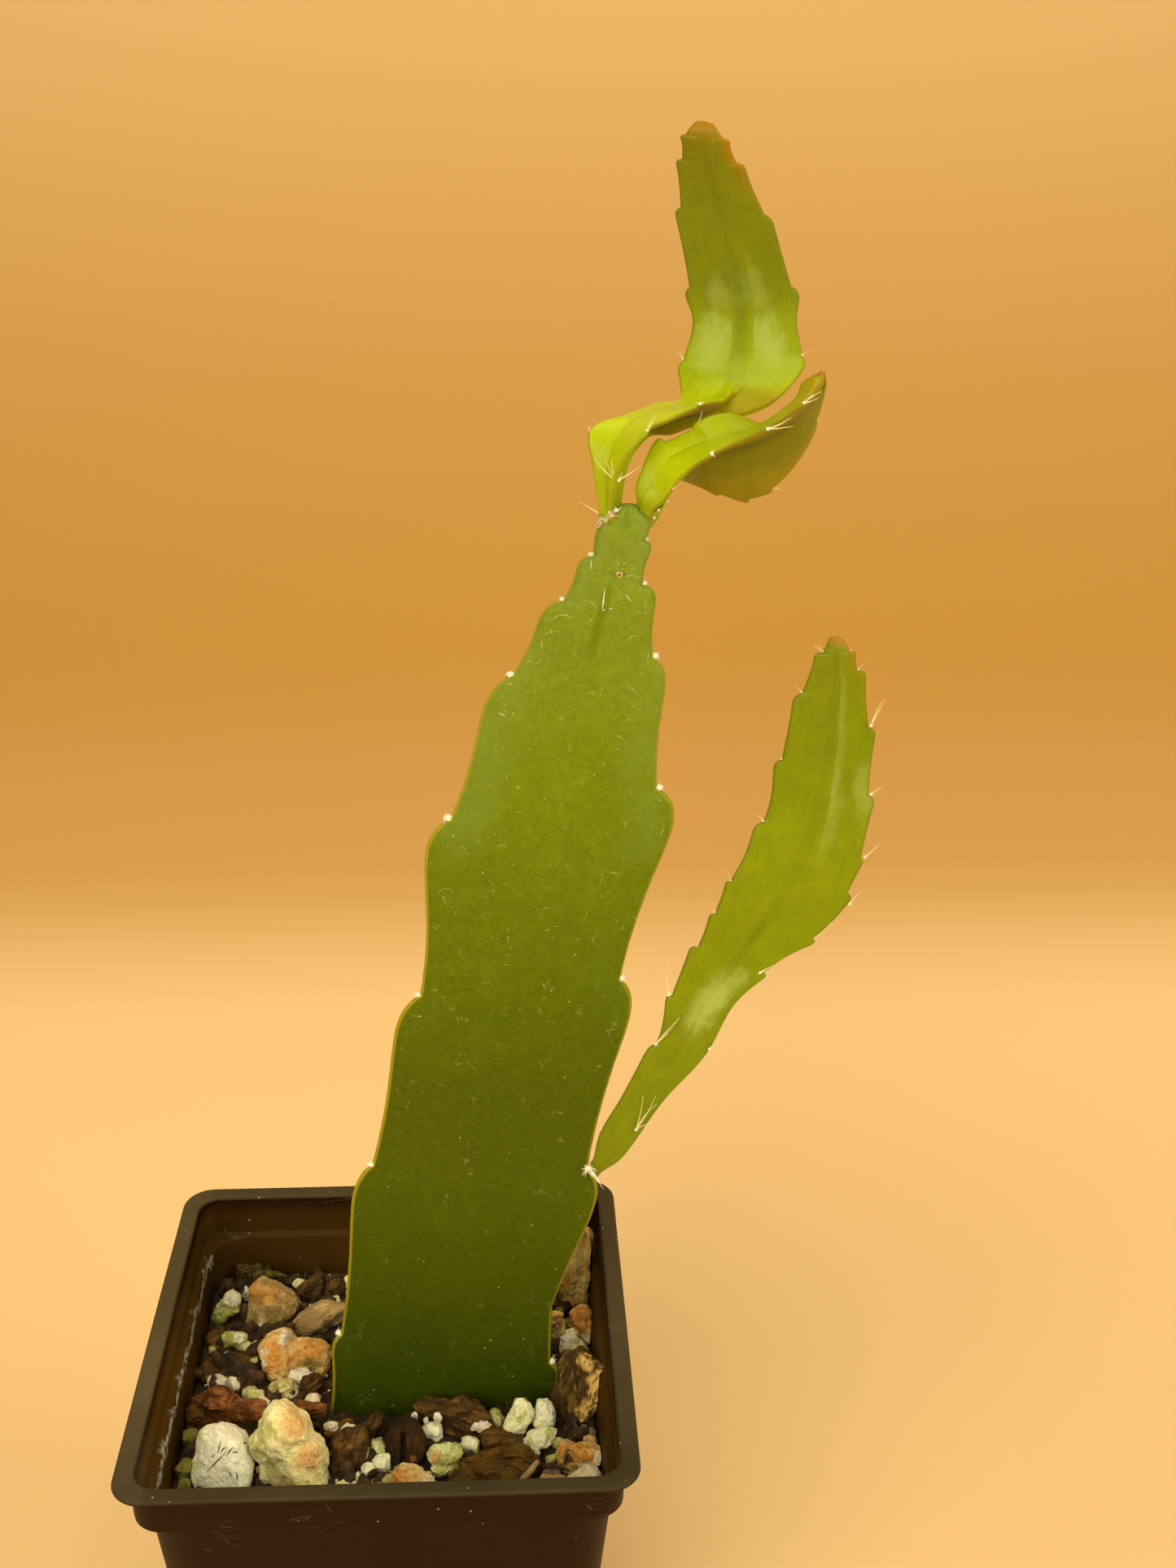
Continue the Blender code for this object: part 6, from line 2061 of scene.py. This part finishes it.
# %% From stations to a stem
def young_stem(stations, areoles, swell, fade=None):
    wings = len(stations[0]) - 1
    rows = [[(float(n), Vector(station[k])) for n, station in enumerate(stations)] for k in range(wings + 1)]
    swells = []
    for row in areoles:
        swells.append([swell * min(1.0, upper - lower) for lower, upper in zip(row, row[1:])])
    return WingedStem(
        rows[0],
        rows[1:],
        areoles,
        swells,
        YOUNG_SHARPNESS,
        YOUNG_CORE,
        YOUNG_EDGE,
        inset=swell * 0.4,
        fade=fade,
    )


side_branch = young_stem(SIDE_BRANCH, SIDE_BRANCH_AREOLES, 0.75)
crown_left = young_stem(CROWN_SHOOT_LEFT, CROWN_SHOOT_LEFT_AREOLES, 0.6, fade=(4.6, 6.6))
crown_right = young_stem(CROWN_SHOOT_RIGHT, CROWN_SHOOT_RIGHT_AREOLES, 0.55)
crown_right.margins[0] = [(key, Vector(place)) for key, place in CROWN_SHOOT_RIGHT_TOP]


# %% [markdown]
# The three young stems share one way of making a finish, with their own patches. A patch is an oval in two
# marks: how far along the stem it lies, in stations, and how far out on a wing, counted positive on the first
# wing and negative on the second. Noise frays its border, so that it looks like bloom that has been rubbed. A
# patch is part dull, rubbed bloom and part painted sheen where the blade catches the light.

# %% The young stems' finish
def young_skin_finish(name, stops, last, patches, shaded, tip_start, low=2.0, high=9.0):
    """Stops run to the last station; the midrib groove's painted shade is strongest from low to high."""
    skin = Finish("young_skin_" + name, Metallic=0.0, Specular_IOR_Level=0.18)
    station = skin.mark("station")
    across = skin.mark("across")
    share = skin.mark("share")
    shade = skin.mark("shade")
    mottle = skin.cloud(5.0, detail=4)
    stipple = skin.cloud(0.4, detail=3)
    fray = skin.cloud(2.2, detail=6, rough=0.65)
    own_place = skin.node("CombineXYZ", X=across * 9.0, Y=station * 1.6)
    streaks = skin.cloud(1.0, detail=5, rough=0.6, where=own_place)
    along = station / last + 0.05 * (mottle - 0.5)
    colour = skin.node("ValToRGB", {"stops": screen_stops(stops, last)}, _0=along)
    # Painted shade: the shaded underside gets its darker, bronze-olive colour.
    colour = skin.blend(shade * 0.9, colour, screen_colour(*shaded))
    bronze = shade * skin.rise(share + 0.9 * (mottle - 0.5), 0.5, 0.9)
    colour = skin.blend(bronze * 0.45, colour, screen_colour(190, 146, 6))
    colour = colour * (0.72 + 0.42 * stipple + 0.16 * streaks) * SKIN_TINT
    colour = skin.blend(skin.rise(mottle, 0.45, 0.62) * 0.4, colour, colour * (1.22, 1.2, 1.1))
    colour = skin.blend((1 - skin.rise(streaks, 0.38, 0.5)) * 0.3, colour, colour * (0.8, 0.86, 0.7))
    # Painted shade along the midrib groove, strongest from the low to the high station.
    trough = skin.rise(station, low, low + 0.6) * (1 - skin.rise(station, high - 1.2, high))
    groove = (1 - skin.rise(share, 0.02, 0.2)) * skin.rise(station, 1.5, 3.0)
    colour = skin.blend(groove * (0.2 + 0.5 * trough), colour, colour * 0.7)
    # Pale patches: part dull bloom and part painted sheen.
    bloom_and_sheen = 0.0
    for middle, long_half, out, out_half, strength in patches:
        oval = ((station - middle) / long_half) ** 2.0 + ((across - out) / out_half) ** 2.0
        frayed = oval + 2.0 * (fray - 0.5) + 1.2 * (streaks - 0.5)
        bloom_and_sheen = bloom_and_sheen + (1 - skin.rise(frayed, -0.3, 1.5)) * strength
    colour = skin.blend(bloom_and_sheen * 0.6, colour, screen_colour(184, 190, 84))
    rim = skin.rise(share, 0.94, 0.985)
    colour = skin.blend(rim * 0.4, colour, screen_colour(112, 92, 6))
    tip = skin.rise(station, tip_start, last)
    tip_margin = skin.rise(across, 0.45, 0.95) * skin.rise(station, tip_start - 1.6, tip_start + 0.2)
    colour = skin.blend(skin.larger(tip, tip_margin) * 0.8, colour, screen_colour(162, 104, 2))
    skin.set(Base_Color=colour, Roughness=0.34 + 0.12 * mottle + 0.25 * bloom_and_sheen)
    skin.set(Normal=skin.bump(stipple * 0.4 + mottle, 0.06, 0.5))
    skin.set(Coat_Weight=0.05, Subsurface_Weight=0.12, Subsurface_Scale=0.002)
    skin.set(Subsurface_Radius=(0.6, 1.0, 0.1))
    return skin


# %% Growing a young stem
def grow_young(name, stem, finish, node, root_rings, shaded=(None, 0.0, 0.0), bulb=0.0, back=Vector()):
    """One young stem; shaded is a face and the stations where its shade starts and ends."""
    shaded_face, shaded_from, shaded_to = shaded

    def ripple(point, share, key):
        slow = noise.noise(point * 0.13 + Vector((2, 7, 1)))
        swollen = bulb * math.exp(-(((key - 0.45) / 0.55) ** 2)) * (1.0 - 0.85 * share)
        return 0.12 * slow * (1.0 - share * share) + swollen

    grown = grow_skin(stem, YOUNG_RING_SPACING, ripple, None, root_rings, YOUNG_TIP, back)
    rings, shares, faces, keys = grown
    across, shade = [], []
    signs = {0: 1.0, 1: -1.0, 2: 0.0}
    per_ring = len(rings[0])
    wing_of_place = [wing for _, _, _, wing in ring_of(stem, stem.first)]
    for n, (share, face, key) in enumerate(zip(shares, faces, keys)):
        across.append(share * signs[wing_of_place[n % per_ring]])
        inside = min(1.0, max(0.0, (key - shaded_from) / 0.5), max(0.0, (shaded_to - key) / 0.5))
        shade.append(inside if face == shaded_face else 0.0)
    gathered = Gathered()
    gathered.skin(rings, share=shares, station=keys, across=across, shade=shade)
    made = gathered.piece(name, [finish])
    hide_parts(node)


# %% The three young stems: the skin's stops, the patches, and the rings that widen the foot
SIDE_STOPS = [
    (0.0, (142, 138, 6)),
    (2.0, (140, 139, 2)),
    (4.5, (144, 143, 1)),
    (7.0, (150, 149, 1)),
    (9.0, (140, 141, 2)),
    (11.0, (146, 139, 6)),
]
SIDE_PATCHES = [
    (4.0, 0.75, 0.2, 0.6, 0.95),
    (7.8, 0.8, 0.25, 0.24, 0.28),
    (9.4, 1.5, 0.22, 0.2, 0.28),
    (8.2, 0.5, 0.85, 0.2, 0.4),
]
side_finish = young_skin_finish(
    "side_branch", SIDE_STOPS, 12.0, SIDE_PATCHES, (150, 140, 6), tip_start=11.3, low=5.0, high=6.5
)
side_root = [(2.6, 0.7), (1.2, 0.95), (0.5, 1.0)]
grow_young("young_side_branch", side_branch, side_finish, "side_branch", side_root)

LEFT_STOPS = [
    (0.0, (182, 180, 10)),
    (2.5, (212, 208, 16)),
    (5.0, (206, 202, 12)),
    (7.0, (180, 182, 10)),
    (9.0, (136, 134, 2)),
    (11.5, (136, 124, 2)),
]
LEFT_PATCHES = [
    (7.5, 0.9, -0.5, 0.4, 1.0),
    (7.6, 0.8, 0.45, 0.34, 0.9),
    (8.9, 0.5, 0.25, 0.3, 0.4),
    (8.8, 0.4, -0.4, 0.25, 0.4),
]
left_finish = young_skin_finish(
    "crown_left", LEFT_STOPS, 13.0, LEFT_PATCHES, (178, 152, 4), tip_start=11.5, low=6.8, high=9.9
)
left_root = [(2.6, 1.0), (1.2, 1.05), (0.5, 1.0)]
grow_young("young_crown_left", crown_left, left_finish, "crown_shoot_left", left_root, (2, 1.9, 6.4))

RIGHT_STOPS = [
    (0.0, (176, 176, 20)),
    (2.0, (206, 204, 14)),
    (5.0, (178, 176, 8)),
    (8.0, (184, 160, 22)),
    (9.5, (182, 148, 26)),
]
RIGHT_PATCHES = [(1.2, 0.7, 0.4, 0.4, 0.4)]
right_finish = young_skin_finish(
    "crown_right", RIGHT_STOPS, 10.0, RIGHT_PATCHES, (140, 126, 2), tip_start=9.3
)
right_root = [(3.6, 0.9), (2.4, 1.05), (1.3, 1.1), (0.5, 1.05)]
right_shade = (1, 2.2, 99.0)
behind = Vector((0.0, -0.75, 0.0))
grow_young(
    "young_crown_right", crown_right, right_finish, "crown_shoot_right", right_root, right_shade, 1.5, behind
)

# %% [markdown]
# ## Wool and bristles
#
# Every areole is a tiny cushion of wool. On the old stem it is a white tuft in each notch. On the young stems
# it is a speck with one to three pale bristles, up to 8 mm long and thinner than a hair brush's. Hair curves
# don't survive an export, so each hair is a thin strand of its own, tapered to its tip.

# %% The hairs' finishes
def hair_finish(name, light, dark, roughness):
    light, dark = screen_colour(*light), screen_colour(*dark)
    hair = Finish(name, Metallic=0.0)
    tone = hair.cloud(0.6, detail=3)
    hair.set(Base_Color=hair.blend(hair.rise(tone, 0.3, 0.7), dark, light), Roughness=roughness + 0.1 * tone)
    hair.set(Normal=hair.bump(hair.cloud(0.15), 0.03, 0.4))
    return hair


wool_white = hair_finish("wool_white", (250, 242, 214), (222, 206, 160), 0.8)
wool_tan = hair_finish("wool_tan", (214, 184, 104), (160, 126, 56), 0.8)
bristle_pale = hair_finish("bristle_pale", (252, 240, 160), (232, 208, 110), 0.45)
bristle_finishes = [bristle_pale, wool_white]


# %% One tuft
def add_tuft(gathered, draw, root, out, size, hairs, core_number=0, hair_number=0, stretch=1.0):
    """A low cushion with short curled hairs that stand out of it."""
    starts, faces = ball(3)
    frame_of = out.to_track_quat("Z", "Y").to_matrix()
    points = []
    for start in starts:
        lump = 1.0 + 0.45 * noise.noise(start * 2.4 + root * 1.7) + 0.2 * noise.noise(start * 6.0 + root)
        cushion = Vector((start.x, start.y * stretch, start.z * 0.75 / stretch)) * size * lump
        points.append(root + out * size * 0.15 + frame_of @ cushion)
    gathered.add(points, faces, core_number)
    for _ in range(hairs):
        lean = drawn(draw, (-1, 1), (-1, 1), (0.1, 1.0)).normalized()
        curl = drawn(draw, (-1, 1), (-1, 1), (-0.6, 0.6)) * 0.9
        length = size * draw.uniform(0.7, 1.5)
        path = []
        for n in range(6):
            t = n / 5
            local = lean * size * (0.45 + t * length / size) + curl * size * t * t
            path.append(root + out * size * 0.1 + frame_of @ local)
        radius = draw.uniform(0.035, 0.06)
        gathered.strand(path, [radius * (1 - 0.75 * n / 5) for n in range(6)], 3, hair_number)


# %% Wool in the old stem's notches
NOTCH_WOOL_SEED = 51

draw = random.Random(NOTCH_WOOL_SEED)
gathered = Gathered()
for wing, notches in enumerate((RIGHT_NOTCHES, LEFT_NOTCHES)):
    for n, (_, z, _) in enumerate(notches):
        if wing == 0 and n == 1:
            continue
        size = (0.72 if n < 5 else 0.5) * draw.uniform(0.85, 1.1)
        root = old_stem.margin(wing, z) + old_stem.outward(wing, z) * 0.1
        add_tuft(gathered, draw, root, old_stem.outward(wing, z), size, 12, 0, 0, 0.75)
gathered.piece("notch_wool", [wool_white])


# %% Bristles
def add_bristle(gathered, draw, root, tip, radius, finish_number=0):
    """A thin, slightly bowed hair from its root to its tip."""
    way = tip - root
    bow = drawn(draw, (-1, 1), (-1, 1), (-1, 1)) * way.length * 0.05
    path = [root + way * (n / 6) + bow * math.sin(math.pi * n / 6) for n in range(7)]
    path.insert(0, root - way.normalized() * 0.25)
    gathered.strand(path, [radius * (1 - 0.8 * n / 7) for n in range(8)], 4, finish_number)


def add_fan(gathered, draw, root, out, along, count, length, radius):
    for n in range(count):
        turn = (n - (count - 1) / 2) * 0.5 if count > 1 else 0.0
        stray = Vector((draw.uniform(-0.2, 0.2), draw.uniform(-0.55, 0.1), 0.0))
        lean = along * (0.75 + turn) + out * 0.7 + stray
        add_bristle(gathered, draw, root, root + lean.normalized() * length * draw.uniform(0.6, 1.1), radius)


# %% The bristles that stand out in the picture: root, then tips
LEFT_BRISTLES = [
    ((40.2, -5.9, 250.0), [(37.2, -7.0, 253.5), (38.9, -6.6, 252.8), (39.7, -6.7, 253.2)]),
    ((40.9, -5.9, 249.8), [(44.0, -6.8, 252.0), (41.5, -6.2, 251.1), (43.2, -6.6, 251.4)]),
    ((45.1, -5.8, 257.3), [(46.3, -6.4, 259.6), (45.9, -6.3, 259.4)]),
    ((53.6, -0.3, 260.2), [(52.9, -0.5, 260.5), (54.3, -0.5, 260.6)]),
]
RIGHT_BRISTLES = [
    ((54.7, -9.2, 254.5), [(55.0, -9.4, 255.1), (55.2, -9.4, 254.0)]),
    ((62.6, -11.2, 258.6), [(65.9, -12.2, 260.5), (66.3, -12.2, 259.2), (64.9, -11.8, 259.6)]),
    ((68.0, -9.8, 262.1), [(70.5, -10.6, 264.0), (69.4, -10.3, 263.6), (70.1, -10.4, 263.0)]),
]
SIDE_BRISTLES = [
    (
        (45.4, -3.8, 132.5),
        [(46.4, -5.5, 140.5), (48.6, -5.7, 140.6), (48.8, -5.3, 138.6), (48.1, -4.6, 134.2),
         (47.2, -4.7, 136.3)],
    ),
    ((48.7, -2.3, 148.9), [(52.6, -4.0, 155.2), (52.0, -3.7, 154.2), (50.8, -3.1, 151.5)]),
    ((58.2, -2.2, 147.7), [(60.9, -3.5, 152.5), (59.8, -2.9, 150.2)]),
    ((66.8, -0.2, 161.6), [(69.0, -0.9, 163.3), (68.0, -0.6, 162.4)]),
    ((50.9, -1.4, 158.2), [(50.5, -3.0, 165.6)]),
    ((84.6, 5.5, 205.1), [(86.4, 4.2, 210.2), (85.8, 4.4, 209.7)]),
    ((85.1, 4.2, 193.1), [(86.7, 3.7, 194.6)]),
    ((84.6, 3.0, 181.9), [(86.6, 2.2, 184.5)]),
    ((82.3, 2.4, 173.3), [(84.1, 1.6, 176.1)]),
    ((75.9, 1.6, 166.8), [(78.9, 0.4, 170.8)]),
]
BRISTLE_RADIUS = 0.15


# %% Areoles of the young stems
def dress_areoles(stem, seed, longest, known, bare_from=99.0):
    """A speck of wool on every areole, the known bristles, and shorter ones on the areoles in between."""
    draw = random.Random(seed)
    gathered = Gathered()
    roots = [Vector(root) for root, _ in known]
    for root, tips in known:
        root = Vector(root)
        add_tuft(gathered, draw, root, Vector((0.1, -0.9, 0.4)).normalized(), 0.27, 10, 1, 1)
        for tip in tips:
            add_bristle(gathered, draw, root, Vector(tip), BRISTLE_RADIUS)
    for wing, row in enumerate(stem.areoles):
        for key in row:
            out, along = stem.outward(wing, key), stem.along(key)
            root = stem.margin(wing, key) + along * 0.15
            if key > bare_from or any((root - other).length < 2.5 for other in roots):
                continue
            add_tuft(gathered, draw, root, (out + along).normalized(), draw.uniform(0.14, 0.22), 7, 1, 1)
            count = draw.choice((0, 1, 1, 2))
            length = longest * draw.uniform(0.3, 0.8)
            add_fan(gathered, draw, root, out, along, count, length, BRISTLE_RADIUS * 0.6)
    return gathered


# Each piece: its stem, a seed, its longest bristle, the known ones, and the station from which it is bare.
BRISTLED = {
    "side_branch_bristles": (side_branch, 52, 4.0, SIDE_BRISTLES),
    "crown_left_bristles": (crown_left, 54, 2.6, LEFT_BRISTLES, 8.0),
    "crown_right_bristles": (crown_right, 55, 2.6, RIGHT_BRISTLES),
}
for name, row in BRISTLED.items():
    dress_areoles(*row).piece(name, bristle_finishes)

# %% [markdown]
# Two places carry more wool than the rest. Where the side branch leaves the old stem, the areole is a spiky
# white rosette. On the left of the crown, tan wool and chaff are left over from the bud that the left shoot
# came out of.

# %% The rosette under the side branch
ROSETTE_SEED = 61
ROSETTE_SPIKES = 17

draw = random.Random(ROSETTE_SEED)
gathered = Gathered()
rosette = Vector((36.8, -4.7, 125.3))
toward_viewer = Vector((0.1, -1.0, 0.25)).normalized()
add_tuft(gathered, draw, rosette, toward_viewer, 0.55, 16)
for n in range(ROSETTE_SPIKES):
    angle = math.tau * n / ROSETTE_SPIKES + draw.uniform(-0.2, 0.2)
    spread = Vector((math.cos(angle), draw.uniform(-0.9, -0.3), math.sin(angle))).normalized()
    add_bristle(gathered, draw, rosette, rosette + spread * draw.uniform(0.9, 1.9), 0.15, 0)
add_bristle(gathered, draw, rosette + Vector((1.6, 0, -2.2)), Vector((39.7, -5.2, 121.0)), 0.12, 0)
for n in range(9):
    place = rosette.lerp(Vector((38.6, -4.6, 122.6)), n / 8)
    add_tuft(gathered, draw, place, toward_viewer, draw.uniform(0.2, 0.34), 5)
gathered.piece("branch_rosette", [wool_white])

# %% Wool and chaff beside the left shoot's root
CHAFF_SEED = 62
CHAFF_BITS = 24

draw = random.Random(CHAFF_SEED)
gathered = Gathered()
crown_out = Vector((-0.3, -0.9, 0.4)).normalized()
for n in range(CHAFF_BITS):
    t = draw.random()
    place = Vector((37.7, -4.9, 242.6)).lerp(Vector((41.0, -5.4, 245.1)), t)
    place += drawn(draw, (-0.5, 0.5), (-0.3, 0.5), (-0.5, 0.5))
    heading = drawn(draw, (-1, 1), (-0.8, 0.1), (-1, 1)).normalized()
    chaff = draw.uniform(0.5, 1.3)
    add_bristle(gathered, draw, place - heading * chaff / 2, place + heading * chaff / 2, 0.13, n % 3 == 0)
for n in range(8):
    place = Vector((38.0, -4.4, 242.4)).lerp(Vector((40.6, -5.0, 244.9)), n / 7)
    add_tuft(gathered, draw, place, crown_out, draw.uniform(0.28, 0.42), 10, n % 2, n % 2)
add_bristle(gathered, draw, Vector((37.9, -4.0, 244.3)), Vector((35.0, -4.8, 246.2)), 0.13, 2)
gathered.piece("crown_wool", [wool_tan, wool_white, bristle_pale])

# %% Specks and the bud scar on the crown
# Each layer of the bud scar: radius, height, finish, points round its rim.
BUD_SCAR = ((0.85, 0.1, 2, 18), (0.72, 0.22, 1, 14), (0.28, 0.3, 2, 8))
SPECKS = ((46.6, -4.6, 243.6), (47.2, -4.9, 244.9), (48.6, -5.0, 246.3))
SPECK_SEED = 63

draw = random.Random(SPECK_SEED)
gathered = Gathered()
for place in SPECKS:
    add_tuft(gathered, draw, Vector(place), toward_viewer, 0.17, 6)
scar_place = on_blade(41.3, 234.7, -1)[0]
for radius, height, finish_number, rim_steps in BUD_SCAR:
    rim_points = []
    for n in range(rim_steps):
        angle = math.tau * n / rim_steps
        wobble = radius * (1 + 0.12 * math.sin(3 * angle + radius))
        away = Vector((wobble * math.cos(angle), 0.15, 0.8 * wobble * math.sin(angle)))
        rim_points.append(scar_place + away)
    raised = [scar_place + (point - scar_place) * 0.7 + Vector((0, -height, 0)) for point in rim_points]
    gathered.skin([rim_points, raised], finish_number)
gathered.piece("crown_scar_and_specks", [wool_white, wool_tan, bark_finishes["brown"]])

# %% Check the size
bpy.context.view_layer.update()
dressed_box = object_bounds()
for cad_corner, corner in zip(cad_box, dressed_box):
    print("corner moved by, in mm:", [round((b - a) * 1000, 2) for a, b in zip(cad_corner, corner)])
